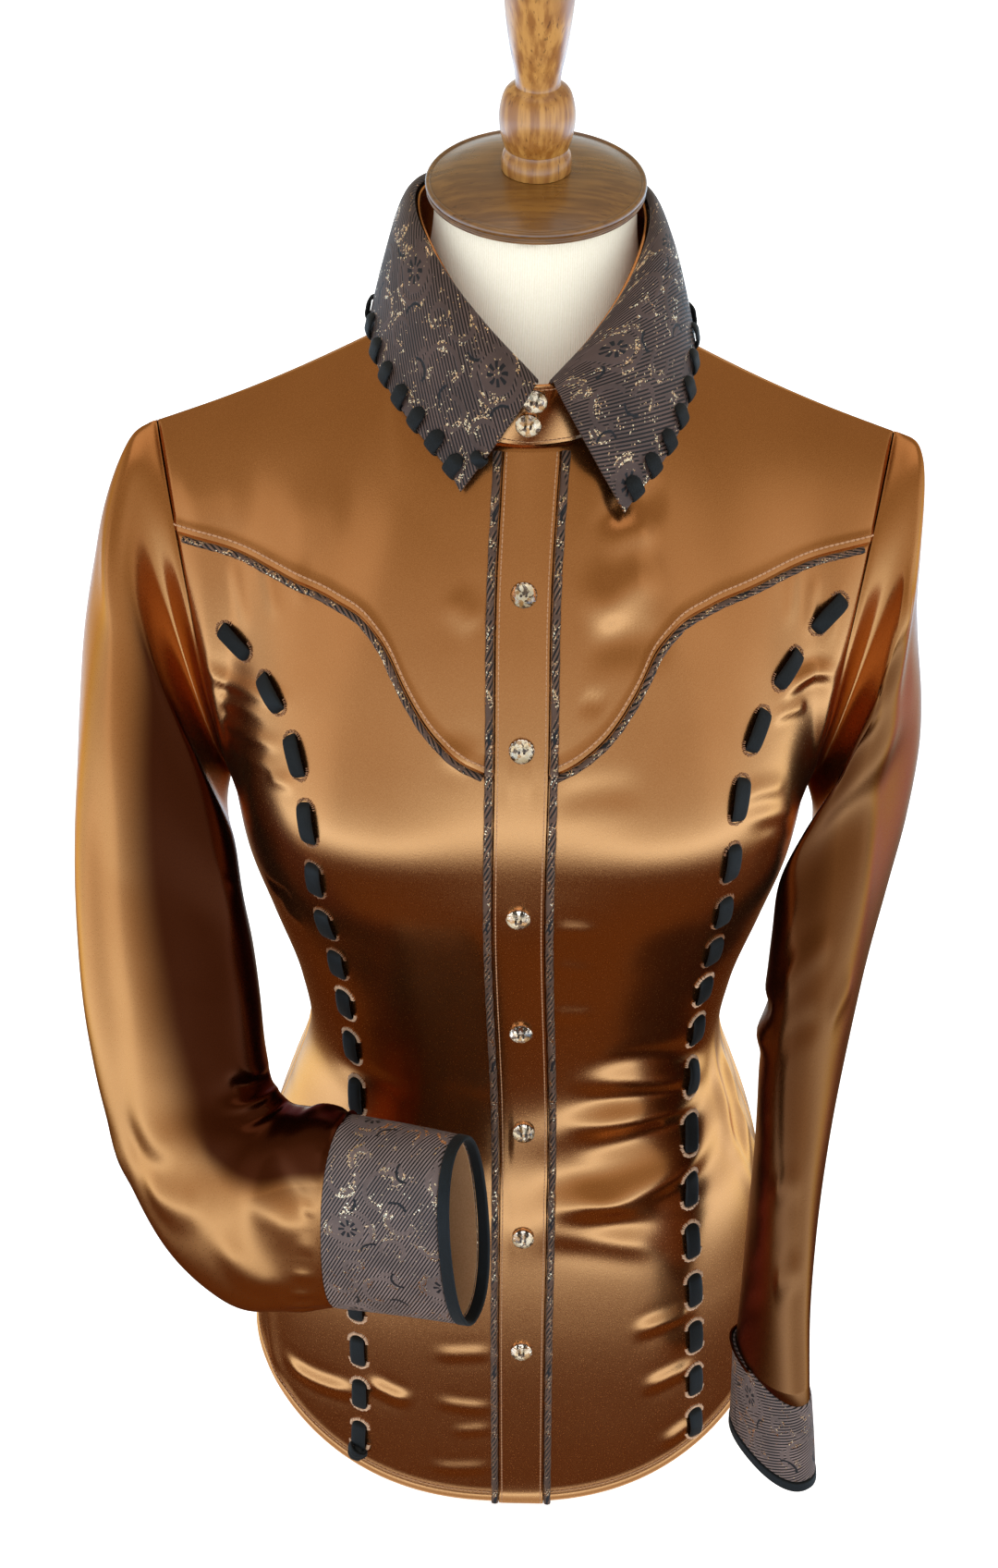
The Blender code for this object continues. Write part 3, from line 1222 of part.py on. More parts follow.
def make_lace(word, side, seat, front):
    """A flat lace in and out of slits down one front, the left one knotted at the hem."""
    keys = np.array(LACE_LINE[word])
    fine = smooth(np.linspace(0, len(keys) - 1, 500), np.arange(len(keys)), keys)
    spots = np.array([seat.front(x, max(z, HEM_FRONT + 0.022))[0] for x, z in fine])
    run = np.concatenate([[0], np.cumsum(np.linalg.norm(np.diff(spots, axis=0), axis=1))])
    step = run[-1] / LACE_RUNS
    over = LACE_LIFT + LACE_THICK / 2
    under = CLOTH + LACE_LIFT + LACE_THICK / 2
    path = []
    sides = []
    slits = []

    def place(distance, height):
        x = np.interp(distance, run, fine[:, 0])
        z = np.interp(distance, run, fine[:, 1])
        spot, normal = seat.front(x, z)
        a = np.interp(distance + 0.004, run, fine[:, 0])
        b = np.interp(distance + 0.004, run, fine[:, 1])
        c = np.interp(distance - 0.004, run, fine[:, 0])
        d = np.interp(distance - 0.004, run, fine[:, 1])
        ahead = unit(seat.front(a, b)[0] - seat.front(c, d)[0])
        across = unit(np.cross(normal, ahead))
        path.append(spot + normal * height)
        sides.append(across)
        return spot, unit(np.cross(across, normal)), across, normal

    for k in range(LACE_RUNS):
        first = (k + 0.5 - LACE_SHARE / 2) * step
        last = (k + 0.5 + LACE_SHARE / 2) * step
        place(first, -under)
        slits.append(place(first, over))
        place((first + last) / 2, over + LACE_LOOP)
        if k < LACE_RUNS - 1 or word == "right":
            slits.append(place(last, over))
            place(last, -under)
        else:
            place(last, over + 0.0002)
    path = np.array(path)
    sides = np.array(sides)
    width = np.full(len(path), LACE_WIDTH)
    thick = np.full(len(path), LACE_THICK)
    if word == "left":
        # the knot at the lower end
        base = path[-1]
        ahead = unit(path[-1] - path[-2])
        out = unit(np.cross(ahead, sides[-1]))
        out *= np.sign(-out[1])
        for away, grow in KNOT_SHAPE:
            high = KNOT * grow * 0.6
            spot = base + ahead * away + out * ((high - LACE_THICK) / 2 + away * KNOT_LEAN)
            path = np.vstack([path, spot])
            width = np.append(width, KNOT * grow)
            thick = np.append(thick, high)
            sides = np.vstack([sides, sides[-1]])
    sweep(f"front_lace_{word}", ribbon_rings(path, sides, width[:, None], thick[:, None]), LEATHER)
    cut_slits(f"front_slits_{word}", front, slits, LACE_THICK, LACE_WIDTH)


def build():
    """Make every piece."""
    for thing in list(bpy.data.objects):
        bpy.data.objects.remove(thing, do_unlink=True)
    fronts = make_fronts()
    back = make_back()
    seat = Seat(fronts + back)
    front_seat = Seat(fronts)
    make_sleeve("left", -1, SLEEVE_LEFT, CUFF_LEFT)
    make_sleeve("right", 1, SLEEVE_RIGHT, CUFF_RIGHT)
    make_form()
    make_wood()
    make_collar(seat)
    stand = make_stand()
    band = make_placket(fronts)
    make_yoke_piping(front_seat)
    make_buttons(front_seat, band, stand)
    for word, side in (("left", -1), ("right", 1)):
        make_lace(word, side, front_seat, bpy.data.objects[f"front_{word}"])


def centre_on_floor():
    """Hang every piece on one empty, so that the origin is on the floor under the whole part."""
    bpy.context.view_layer.update()
    low = np.full(3, 9.0)
    high = np.full(3, -9.0)
    graph = bpy.context.evaluated_depsgraph_get()
    pieces = [thing for thing in collection("western_shirt").objects]
    for thing in pieces:
        shown = thing.evaluated_get(graph)
        mesh = shown.to_mesh()
        for vert in mesh.vertices:
            at = np.array(shown.matrix_world @ vert.co)
            low = np.minimum(low, at)
            high = np.maximum(high, at)
        shown.to_mesh_clear()
    middle = (low + high) / 2
    root = bpy.data.objects.new("shirt_root", None)
    collection("western_shirt").objects.link(root)
    for thing in pieces:
        thing.parent = root
    for cutter in collection("cutters").objects:
        cutter.parent = root
    root.location = (-middle[0], -middle[1], -low[2])


if __name__ == "__main__":
    build()
    centre_on_floor()
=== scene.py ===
import math
from functools import partialmethod

import bmesh
import bpy
import numpy as np
from mathutils import Matrix, Vector
from mathutils.bvhtree import BVHTree


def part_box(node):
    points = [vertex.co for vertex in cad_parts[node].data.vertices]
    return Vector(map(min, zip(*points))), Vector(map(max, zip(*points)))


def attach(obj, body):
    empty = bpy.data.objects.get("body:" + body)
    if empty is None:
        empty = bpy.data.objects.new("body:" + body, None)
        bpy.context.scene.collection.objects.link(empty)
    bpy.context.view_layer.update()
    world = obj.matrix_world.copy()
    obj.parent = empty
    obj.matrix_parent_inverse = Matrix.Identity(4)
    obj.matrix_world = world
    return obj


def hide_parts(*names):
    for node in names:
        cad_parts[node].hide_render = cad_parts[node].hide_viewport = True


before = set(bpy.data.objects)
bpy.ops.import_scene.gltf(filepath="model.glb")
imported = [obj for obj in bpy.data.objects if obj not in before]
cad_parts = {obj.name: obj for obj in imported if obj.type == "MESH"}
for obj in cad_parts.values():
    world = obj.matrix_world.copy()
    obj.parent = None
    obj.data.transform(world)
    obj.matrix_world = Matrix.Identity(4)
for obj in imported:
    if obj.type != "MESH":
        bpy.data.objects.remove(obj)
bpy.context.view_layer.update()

mm = 0.001

# The garment is drawn round its own middle line, and the form's foot says where that line stands
footLow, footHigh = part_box("form_foot")
standAt = np.array([(footLow.x + footHigh.x) / 2, (footLow.y + footHigh.y) / 2, 0.0])


# Curves and small sums

def smooth(at, xs, ys):
    # a smooth curve through the points (xs, ys), read at the places given
    xs = np.asarray(xs, float)
    ys = np.asarray(ys, float)
    slope = np.gradient(ys, xs, axis=0)
    at = np.clip(np.asarray(at, float), xs[0], xs[-1])
    i = np.clip(np.searchsorted(xs, at) - 1, 0, len(xs) - 2)
    step = xs[i + 1] - xs[i]
    t = (at - xs[i]) / step
    if ys.ndim > 1:
        t = t[..., None]
        step = step[..., None]
    start = 2 * t**3 - 3 * t**2 + 1
    leave = t**3 - 2 * t**2 + t
    arrive = t**3 - t**2
    return start * ys[i] + leave * step * slope[i] + (1 - start) * ys[i + 1] + arrive * step * slope[i + 1]


def ease(t):
    t = np.clip(t, 0.0, 1.0)
    return t * t * (3 - 2 * t)


def bell(x):
    return np.exp(-np.square(x))


def unit(v):
    return v / np.maximum(np.linalg.norm(v, axis=-1, keepdims=True), 1e-12)


def runLength(points, axis=0):
    # how far along the points each one lies
    points = np.moveaxis(points, axis, 0)
    steps = np.linalg.norm(np.diff(points, axis=0), axis=-1)
    run = np.concatenate([np.zeros((1, *steps.shape[1:])), np.cumsum(steps, axis=0)])
    return np.moveaxis(run, 0, axis)


def creaseRise(across, up, rows, wrap=None):
    # Each crease is a soft ridge with a shallow trough on either side, or the other way round.
    # Its row, in millimetres: where it starts and ends, how far it bows, its half width and its rise.
    rise = np.zeros(np.broadcast(across, up).shape)
    for x0, y0, x1, y1, bow, width, high in np.array(rows) * mm:
        length = math.hypot(x1 - x0, y1 - y0)
        ax, ay = (x1 - x0) / length, (y1 - y0) / length
        dx = across - x0
        if wrap:
            dx = (dx + wrap / 2) % wrap - wrap / 2
        dy = up - y0
        along = (dx * ax + dy * ay) / length
        over = dy * ax - dx * ay - bow * 4 * along * (1 - along) * ((along > 0) & (along < 1))
        q = over / width
        ends = ease((along + 0.12) / 0.42) * ease((1.12 - along) / 0.42)
        rise += high * ends * (1 - 0.55 * q * q) * np.exp(-q * q / 1.5)
    return rise


# Meshes

def gridFaces(n, m, loop=False):
    i = np.arange(n if loop else n - 1)[:, None]
    j = np.arange(m - 1)[None, :]
    a = i * m + j
    b = (i + 1) % n * m + j
    return np.stack([a, b, b + 1, a + 1], -1).reshape(-1, 4)


def cornerUvs(faces, uv, n, m):
    # where each corner of the quads lies on the cloth; uv has one more column where the grid closes
    faces = np.asarray(faces)
    column = faces % (n * m) // m
    closing = (column.max(axis=1) - column.min(axis=1) > 1)[:, None]
    return uv[np.where(closing & (column == 0), n, column), faces % m].reshape(-1, 2)


def makePiece(name, verts, faces, finish, nodes=(), uv=None, sharp=50, corners=None):
    mesh = bpy.data.meshes.new(name)
    mesh.from_pydata((np.asarray(verts, float) + standAt).tolist(), [], faces)
    if uv is not None:
        layer = mesh.uv_layers.new(name="cloth")
        corner = np.empty(len(mesh.loops), int)
        mesh.loops.foreach_get("vertex_index", corner)
        layer.data.foreach_set("uv", np.asarray(uv, np.float32)[corner].ravel())
    if corners is not None:
        layer = mesh.uv_layers.new(name="cloth")
        layer.data.foreach_set("uv", np.asarray(corners, np.float32).ravel())
    mesh.materials.append(finish)
    mesh.shade_smooth()
    if sharp:
        mesh.set_sharp_from_angle(angle=math.radians(sharp))
    piece = bpy.data.objects.new(name, mesh)
    bpy.context.scene.collection.objects.link(piece)
    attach(piece, "root")
    if nodes:
        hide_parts(*nodes)
    return piece


def facedOut(points, normals, quads):
    # the quads, turned if need be so that they face the way of the normals
    p = points.reshape(-1, 3)
    q = quads[:: max(1, len(quads) // 400)]
    way = np.cross(p[q[:, 2]] - p[q[:, 0]], p[q[:, 3]] - p[q[:, 1]])
    ahead = np.sum(way * normals.reshape(-1, 3)[q[:, 0]])
    return quads if ahead > 0 else quads[:, ::-1]


def clothShell(name, outer, normals, thick, finish, nodes, uv, loop=False):
    # a thin closed sheet: its outside, its inside, and its cut edges
    n, m = outer.shape[:2]
    thick = np.broadcast_to(thick, (n, m))
    inner = outer - normals * thick[..., None]
    quads = facedOut(outer, normals, gridFaces(n, m, loop))
    back = quads[:, ::-1] + n * m
    turned = quads[0, 1] - quads[0, 0] != 1
    rims = []
    i = np.arange(n if loop else n - 1)
    a, b = i * m, (i + 1) % n * m
    rims.append((np.stack([a, b, b + n * m, a + n * m], -1), turned))
    a, b = a + m - 1, b + m - 1
    rims.append((np.stack([a, b, b + n * m, a + n * m], -1), not turned))
    if not loop:
        j = np.arange(m - 1)
        rims.append((np.stack([j, j + 1, j + 1 + n * m, j + n * m], -1), not turned))
        j = j + (n - 1) * m
        rims.append((np.stack([j, j + 1, j + 1 + n * m, j + n * m], -1), turned))
    faces = [quads, back] + [rim[:, ::-1] if turn else rim for rim, turn in rims]
    verts = np.concatenate([outer.reshape(-1, 3), inner.reshape(-1, 3)])
    faces = np.concatenate(faces)
    return makePiece(name, verts, faces.tolist(), finish, nodes, corners=cornerUvs(faces, uv, n, m))


def clothUv(grid):
    # metres across and down the cloth
    return np.stack([runLength(grid, 0), runLength(grid, 1)], -1)


def sheetArea(grid):
    a = np.cross(grid[1:, :-1] - grid[:-1, :-1], grid[:-1, 1:] - grid[:-1, :-1])
    b = np.cross(grid[1:, :-1] - grid[1:, 1:], grid[:-1, 1:] - grid[1:, 1:])
    return float((np.linalg.norm(a, axis=-1) + np.linalg.norm(b, axis=-1)).sum() / 2)


cloths = []


def sheetPiece(name, outer, normals, thick, finish, nodes, held, restsOn, trims=(), loop=False, flat=None,
               turned=False):
    # A shell of cloth and its cut that shows: greatest width and length, and flat area.
    # flat is its grid before the rims were rounded; turned swaps across and down in its layout
    flat = outer if flat is None else flat
    flat = np.concatenate([flat, flat[:1]]) if loop else flat
    uv = clothUv(flat)
    layout = uv[..., ::-1] if turned else uv
    piece = clothShell(name, outer, normals, thick, finish, nodes, layout, loop)
    width = float(uv[-1, :, 0].max())
    length = float(uv[:, -1, 1].max())
    cloths.append((piece, (width, length), held, restsOn, min(sheetArea(flat), width * length), trims))


def signedPower(value, power):
    return np.sign(value) * np.abs(value) ** power


def onRow(row, ways, run, distance):
    # the point this far along one row of a grid, and the normal beside it
    j = np.interp(distance, run, np.arange(len(run)))
    a = min(int(j), len(run) - 2)
    return row[a] + (row[a + 1] - row[a]) * (j - a), ways[a]


def fullTurn(steps):
    return np.arange(steps) / steps * 2 * math.pi


def tubeGrid(path, radius, sides, start=None):
    # round rings along a path, each square to it; radius may change along it
    ahead = unit(np.gradient(path, axis=0))
    across = np.cross(ahead[0], (0, 0, 1) if start is None else start)
    if np.linalg.norm(across) < 1e-6:
        across = np.cross(ahead[0], (1, 0, 0))
    rings = []
    turn = fullTurn(sides)
    radius = np.broadcast_to(radius, len(path))
    for spot, way, wide in zip(path, ahead, radius):
        across = unit(across - way * np.dot(across, way))
        high = np.cross(way, across)
        rings.append(spot + (np.cos(turn)[:, None] * across + np.sin(turn)[:, None] * high) * wide)
    return np.array(rings)


def solidFromRings(rings):
    # vertices and faces of a closed solid through equal rings
    k, n = rings.shape[:2]
    quads = gridFaces(n, k, True)
    i = np.arange(n)
    swap = rings.swapaxes(0, 1).reshape(-1, 3)
    ends = [(i * k)[::-1].tolist(), (i * k + k - 1).tolist()]
    p = swap[quads[0]]
    middle = rings[0].mean(axis=0)
    out = np.dot(np.cross(p[2] - p[0], p[3] - p[1]), p[0] - middle) > 0
    faces = quads.tolist() + ends
    if not out:
        faces = [face[::-1] for face in faces]
    return swap, faces


def solidsPiece(name, solids, finish, nodes=(), sharp=0):
    # one piece of many closed solids
    faces = []
    base = 0
    for points, polygons in solids:
        faces += [[i + base for i in face] for face in polygons]
        base += len(points)
    verts = np.concatenate([points for points, _polygons in solids])
    return makePiece(name, verts, faces, finish, nodes, sharp=sharp)


def repair(piece, weld=0.0):
    # turns all faces outward; with weld it first joins near points and closes what is open
    shape = bmesh.new()
    shape.from_mesh(piece.data)
    if weld:
        bmesh.ops.remove_doubles(shape, verts=shape.verts, dist=weld)
        rim = [edge for edge in shape.edges if len(edge.link_faces) == 1]
        bmesh.ops.holes_fill(shape, edges=rim, sides=0)
    bmesh.ops.recalc_face_normals(shape, faces=shape.faces)
    shape.to_mesh(piece.data)
    shape.free()


# Materials

def newGroup(name, ins, outs):
    # its sockets by kind; gives the group, its wires, what comes in and what goes out
    group = bpy.data.node_groups.new(name, "ShaderNodeTree")
    for side, kinds in (("INPUT", ins), ("OUTPUT", outs)):
        for kind, labels in kinds.items():
            for label in labels:
                group.interface.new_socket(label, in_out=side, socket_type=f"NodeSocket{kind}")
    into = group.nodes.new("NodeGroupInput").outputs
    out = group.nodes.new("NodeGroupOutput").inputs
    return group, Wires(group), into, out


class Wires:
    # adds nodes to one tree and links them by their values
    def __init__(self, tree):
        self.tree = tree

    def add(self, kind, out=0, **values):
        node = self.tree.nodes.new(kind)
        for key, value in values.items():
            if not key.startswith("in_"):
                setattr(node, key, value)
        for key, value in values.items():
            if key.startswith("in_"):
                label = key[3:].replace("_", " ")
                self.put(node.inputs[int(label) if label.isdigit() else label], value)
        return node.outputs[out]

    def put(self, socket, value):
        if isinstance(value, bpy.types.NodeSocket):
            self.tree.links.new(value, socket)
        else:
            socket.default_value = (*value, 1.0) if socket.type == "RGBA" else value

    def math(self, operation, a, b=0.0, c=0.0, clamp=False):
        return self.add("ShaderNodeMath", operation=operation, use_clamp=clamp, in_0=a, in_1=b, in_2=c)

    plus = partialmethod(math, "ADD")
    minus = partialmethod(math, "SUBTRACT")
    times = partialmethod(math, "MULTIPLY")
    over = partialmethod(math, "DIVIDE")
    timesPlus = partialmethod(math, "MULTIPLY_ADD")
    most = partialmethod(math, "MAXIMUM")
    least = partialmethod(math, "MINIMUM")
    isAbove = partialmethod(math, "GREATER_THAN")
    isBelow = partialmethod(math, "LESS_THAN")

    def split(self, value):
        # the three numbers of a vector or a colour
        node = self.tree.nodes.new("ShaderNodeSeparateXYZ")
        self.put(node.inputs[0], value)
        return node.outputs

    def grain(self, scale, stretch):
        return self.group(threadGrain, Vector=self.objectPlace(), Scale=scale, Stretch=stretch)

    def objectPlace(self):
        return self.add("ShaderNodeTexCoord", out="Object")

    def clothPlace(self):
        return self.add("ShaderNodeUVMap", uv_map="cloth")

    def vector(self, operation, a, b=(0, 0, 0), out=0):
        return self.add("ShaderNodeVectorMath", out=out, operation=operation, in_0=a, in_1=b)

    def stretch(self, value, low, high, a=0.0, b=1.0, soft=True):
        kind = "SMOOTHSTEP" if soft else "LINEAR"
        return self.add(
            "ShaderNodeMapRange", interpolation_type=kind, in_0=value, in_1=low, in_2=high, in_3=a, in_4=b
        )

    def blend(self, share, a, b):
        node = self.tree.nodes.new("ShaderNodeMix")
        node.data_type = "RGBA"
        self.put(node.inputs[0], share)
        self.put(node.inputs[6], a)
        self.put(node.inputs[7], b)
        return node.outputs[2]

    def noise(self, vector, scale, detail=2.0, out=0):
        return self.add("ShaderNodeTexNoise", out=out, in_Vector=vector, in_Scale=scale, in_Detail=detail)

    def cells(self, vector, scale):
        # three random numbers for each small cell
        return self.split(self.add("ShaderNodeTexVoronoi", out="Color", in_Vector=vector, in_Scale=scale))

    def group(self, tree, **values):
        node = self.tree.nodes.new("ShaderNodeGroup")
        node.node_tree = tree
        for key, value in values.items():
            self.put(node.inputs[key.replace("_", " ")], value)
        return node.outputs


def newMaterial(name, colour, rough, metal=0.0, **others):
    # others: further plain values of the shader, by the names of its sockets
    made = bpy.data.materials.new(name)
    made.use_nodes = True
    shader = made.node_tree.nodes["Principled BSDF"]
    w = Wires(made.node_tree)
    for label, value in {"Base_Color": colour, "Roughness": rough, "Metallic": metal, **others}.items():
        w.put(shader.inputs[label.replace("_", " ")], value)
    made.diffuse_color = (*colour, 1.0)
    return made, shader, w


def setSurface(w, shader, colour, rough=None, height=None, strength=1.0, distance=0.0):
    w.put(shader.inputs["Base Color"], colour)
    if rough is not None:
        w.put(shader.inputs["Roughness"], rough)
    if height is not None:
        bump = w.add("ShaderNodeBump", in_Strength=strength, in_Distance=distance, in_Height=height)
        w.put(shader.inputs["Normal"], bump)


# Fine thread: a grain that runs one way, for satin, tape, jersey and lace
def threadGroup():
    group, w, into, out = newGroup("threadGrain", {"Vector": ["Vector"], "Float": ["Scale", "Stretch"]},
                                   {"Float": ["Height", "Shade", "Cloud"]})
    one = w.times(into["Scale"], into["Stretch"])
    size = w.add("ShaderNodeCombineXYZ", in_X=one, in_Y=one, in_Z=into["Scale"])
    fine = w.noise(w.vector("MULTIPLY", into["Vector"], size), 1.0, 1.0)
    w.put(out["Height"], fine)
    w.put(out["Shade"], w.stretch(fine, 0.3, 0.7))
    w.put(out["Cloud"], w.noise(into["Vector"], 24.0, 3.0))
    return group


threadGrain = threadGroup()

satinLook = {
    "deep": (0.46, 0.175, 0.05),
    "bright": (0.58, 0.24, 0.08),
    "metal": 0.98,
    "rough": 0.235,
    "sheen": 0.02,
    "coat": 0.25,
    "edge": (0.8, 0.55, 0.32),
    # painted shade of a sleeve, mostly on the side that lies to the body: the share of the cloth's colour
    # that it keeps
    "paintedShadeTint": (0.105, 0.04, 0.012),
}


def satinMaterial(name, look, paintedShadePatches=None):
    # the last argument lists soft patches of painted shade on a sleeve, in metres round it and down it:
    # start, end and softness of each way, how far the start moves round on the way down, and how dark the
    # patch is
    made, shader, w = newMaterial(
        name, look["bright"], look["rough"], look["metal"], Specular_Tint=look["edge"],
        Sheen_Weight=look["sheen"], Sheen_Roughness=0.35, Sheen_Tint=(1.0, 0.78, 0.55),
        Coat_Weight=look["coat"], Coat_Roughness=0.25
    )
    grain = w.grain(1100.0, 1.5)
    share = w.timesPlus(grain["Shade"], 0.35, w.times(grain["Cloud"], 0.65))
    colour = w.blend(share, look["deep"], look["bright"])
    if paintedShadePatches:
        parts = w.split(w.clothPlace())
        # painted shade: the darkest patch at each place darkens the satin's colour towards the painted shade
        # tint
        dark = 0.0
        for first, last, soft, top, bottom, fade, slant, depth in paintedShadePatches:
            down = parts[1]
            turn = w.timesPlus(down, -slant, parts[0])
            across = w.times(w.stretch(turn, first, first + soft), w.stretch(turn, last, last - soft * 1.5))
            along = w.times(w.stretch(down, top, top + fade), w.stretch(down, bottom, bottom - fade))
            dark = w.most(dark, w.times(w.times(across, along), depth))
        colour = w.blend(dark, colour, w.vector("MULTIPLY", colour, look["paintedShadeTint"]))
    rough = w.stretch(grain["Height"], 0.25, 0.75, look["rough"] - 0.02, look["rough"] + 0.04)
    setSurface(w, shader, colour, rough, grain["Height"], 0.17, 0.0002)
    return made


# Brocade: fine slanted ribs, smooth scrolls that interrupt them, copper glitter beside the scrolls
# and a small black flower. The layout is a plain one of its own, in a cell that repeats.
brocadeLook = {
    "cell": (0.07, 0.0555),
    "layout": (58.0, 46.0),  # the cell in the arcs' own millimetres
    "ribPeriod": 0.00185,
    # ribs, grooves and smooth scrolls: the collar is browner, the cuffs are lighter
    "collar": ((0.088, 0.052, 0.043), (0.005, 0.002, 0.001), (0.062, 0.036, 0.03)),
    "cuff": ((0.165, 0.12, 0.112), (0.006, 0.003, 0.003), (0.105, 0.074, 0.069)),
    "bias": ((0.12, 0.062, 0.038), (0.004, 0.002, 0.001), (0.08, 0.042, 0.027)),
    # how rare loose glitter is on each
    "rare": {"collar": 0.955, "cuff": 0.965, "bias": 0.84},
    "dark": (0.006, 0.005, 0.007),
    "copper": (0.8, 0.44, 0.22),
    "gold": (1.0, 0.8, 0.52),
    # scroll arcs in millimetres: middle across and up, radius, middle angle and half angle
    "arcs": (
        (16.0, 15.0, 10.5, 100, 118), (16.0, 9.0, 5.0, 250, 80), (38.0, 30.0, 9.0, 300, 120),
        (46.0, 33.0, 4.5, 60, 110), (42.0, 10.0, 7.0, 160, 100), (30.0, 22.0, 17.0, 215, 34),
        (7.0, 36.0, 5.5, 20, 130), (24.0, 40.0, 6.5, 200, 100), (52.0, 16.0, 4.0, 330, 120),
    ),
    # short dark strokes, written like the arcs
    "strokes": (
        (30.0, 12.0, 5.0, 120, 60), (27.0, 36.0, 6.0, 20, 50), (48.0, 40.0, 5.0, 240, 70),
        (4.0, 26.0, 5.5, 330, 55),
    ),
    # the flower in millimetres: middle across and up, size
    "flower": (16.5, 14.0, 5.0),
}


def brocadeGroup(look):
    group, w, into, out = newGroup(
        "brocadeCloth",
        {"Vector": ["Vector"], "Float": ["Angle", "Period", "Rare"], "Color": ["Rib", "Groove", "Scroll"]},
        {"Color": ["Color"], "Float": ["Roughness", "Metallic", "Height"]},
    )
    x, y, _z = w.split(into["Vector"])

    # ribs
    turned = w.plus(w.times(x, w.math("SINE", into["Angle"])), w.times(y, w.math("COSINE", into["Angle"])))
    wave = w.math("SINE", w.times(w.over(turned, into["Period"]), 2 * math.pi))
    rib = w.stretch(wave, -0.55, 0.3)

    # a cell that repeats, each row shifted by half
    wide, tall = look["cell"]
    row = w.math("FLOOR", w.over(y, tall))
    shift = w.times(w.math("MODULO", w.math("ABSOLUTE", row), 2.0), wide * 0.5)
    cellX = w.times(w.math("FRACT", w.over(w.plus(x, shift), wide)), look["layout"][0])
    cellY = w.times(w.math("FRACT", w.over(y, tall)), look["layout"][1])
    wobble = w.noise(into["Vector"], 260.0, 1.0)
    spot = w.add("ShaderNodeCombineXYZ", in_X=w.timesPlus(wobble, 1.6, cellX), in_Y=cellY, in_Z=0.0)

    def fromArcs(rows):
        # how far the nearest of these arcs is
        away = None
        for cx, cy, radius, middle, half in rows:
            off = w.vector("SUBTRACT", spot, (cx, cy, 0))
            far = w.vector("LENGTH", off, out=1)
            gap = w.math("ABSOLUTE", w.minus(far, radius))
            a = math.radians(middle)
            dot = w.vector("DOT_PRODUCT", off, (math.cos(a), math.sin(a), 0), out=1)
            inside = w.isAbove(dot, w.times(far, math.cos(math.radians(half))))
            gap = w.plus(gap, w.times(w.minus(1.0, inside), 50.0))
            away = gap if away is None else w.least(away, gap)
        return away

    away = fromArcs(look["arcs"])
    strokes = w.stretch(fromArcs(look["strokes"]), 0.75, 0.45)

    # a flower of eight short petals in a smooth round field
    cx, cy, size = look["flower"]
    off = w.vector("SUBTRACT", spot, (cx, cy, 0))
    far = w.over(w.vector("LENGTH", off, out=1), size)
    axes = w.split(off)
    angle = w.math("ARCTAN2", axes[1], axes[0])
    spoke = w.math("COSINE", w.timesPlus(angle, 8.0, w.times(far, 0.8)))
    petals = w.times(w.isAbove(spoke, w.timesPlus(far, 0.9, -0.7)),
                     w.times(w.isAbove(far, 0.36), w.isBelow(far, 0.95)))
    scroll = w.most(w.stretch(away, 1.25, 0.85), w.stretch(far, 1.66, 1.56))
    outside = w.isAbove(far, 1.9)
    petals = w.most(petals, w.times(strokes, outside))
    field = w.stretch(w.math("ABSOLUTE", w.minus(far, 1.82)), 0.2, 0.1)
    patch = w.stretch(w.noise(into["Vector"], 95.0, 2.0), 0.49, 0.56)
    edge = w.times(w.stretch(away, 2.6, 2.0), w.isAbove(away, 0.9))
    edge = w.times(w.most(w.times(edge, outside), field), patch)
    chance = w.cells(into["Vector"], 1500.0)
    glitter = w.times(w.isAbove(chance[0], 0.58), w.isAbove(edge, 0.5))
    loose = w.times(w.isAbove(chance[0], into["Rare"]), patch)
    glitter = w.times(w.most(glitter, loose), w.minus(1.0, petals))

    cloud = w.stretch(w.noise(into["Vector"], 40.0, 2.0), 0.3, 0.7, 0.8, 1.15)
    colour = w.blend(rib, into["Groove"], into["Rib"])
    colour = w.blend(scroll, colour, into["Scroll"])
    colour = w.add("ShaderNodeHueSaturation", in_Value=cloud, in_Color=colour)
    colour = w.blend(petals, colour, look["dark"])
    metalColour = w.blend(chance[1], look["copper"], look["gold"])
    w.put(out["Color"], w.blend(glitter, colour, metalColour))
    w.put(out["Metallic"], glitter)
    w.put(out["Roughness"], w.timesPlus(glitter, -0.32, 0.55))
    height = w.most(w.times(rib, 0.6), w.times(scroll, 0.8))
    height = w.minus(height, w.times(petals, 0.5))
    w.put(out["Height"], w.timesPlus(glitter, chance[2], height))
    return group


brocadeCloth = brocadeGroup(brocadeLook)


def brocadeMaterial(name, colours, angle, period=brocadeLook["ribPeriod"]):
    rib, groove, scroll = brocadeLook[colours]
    made, shader, w = newMaterial(name, rib, 0.5, Sheen_Weight=0.04, Specular_IOR_Level=0.35)
    cloth = w.group(brocadeCloth, Vector=w.clothPlace(), Angle=math.radians(angle), Period=period,
                    Rare=brocadeLook["rare"][colours], Rib=rib, Groove=groove, Scroll=scroll)
    setSurface(w, shader, cloth["Color"], cloth["Roughness"], cloth["Height"], 0.7, 0.0004)
    w.put(shader.inputs["Metallic"], cloth["Metallic"])
    return made


leatherLook = {"colour": (0.002, 0.0028, 0.0034), "worn": (0.008, 0.0095, 0.0105), "rough": 0.66}


def leatherMaterial(name, look, scale):
    made, shader, w = newMaterial(name, look["colour"], look["rough"], Sheen_Weight=0.05,
                                  Sheen_Tint=(0.6, 0.75, 0.85), Specular_IOR_Level=0.3)
    grain = w.grain(scale, 1.3)
    colour = w.blend(w.times(grain["Shade"], grain["Cloud"]), look["colour"], look["worn"])
    rough = w.stretch(grain["Cloud"], 0.3, 0.7, look["rough"] - 0.08, look["rough"] + 0.12)
    setSurface(w, shader, colour, rough, grain["Height"], 0.5, 0.0003)
    return made


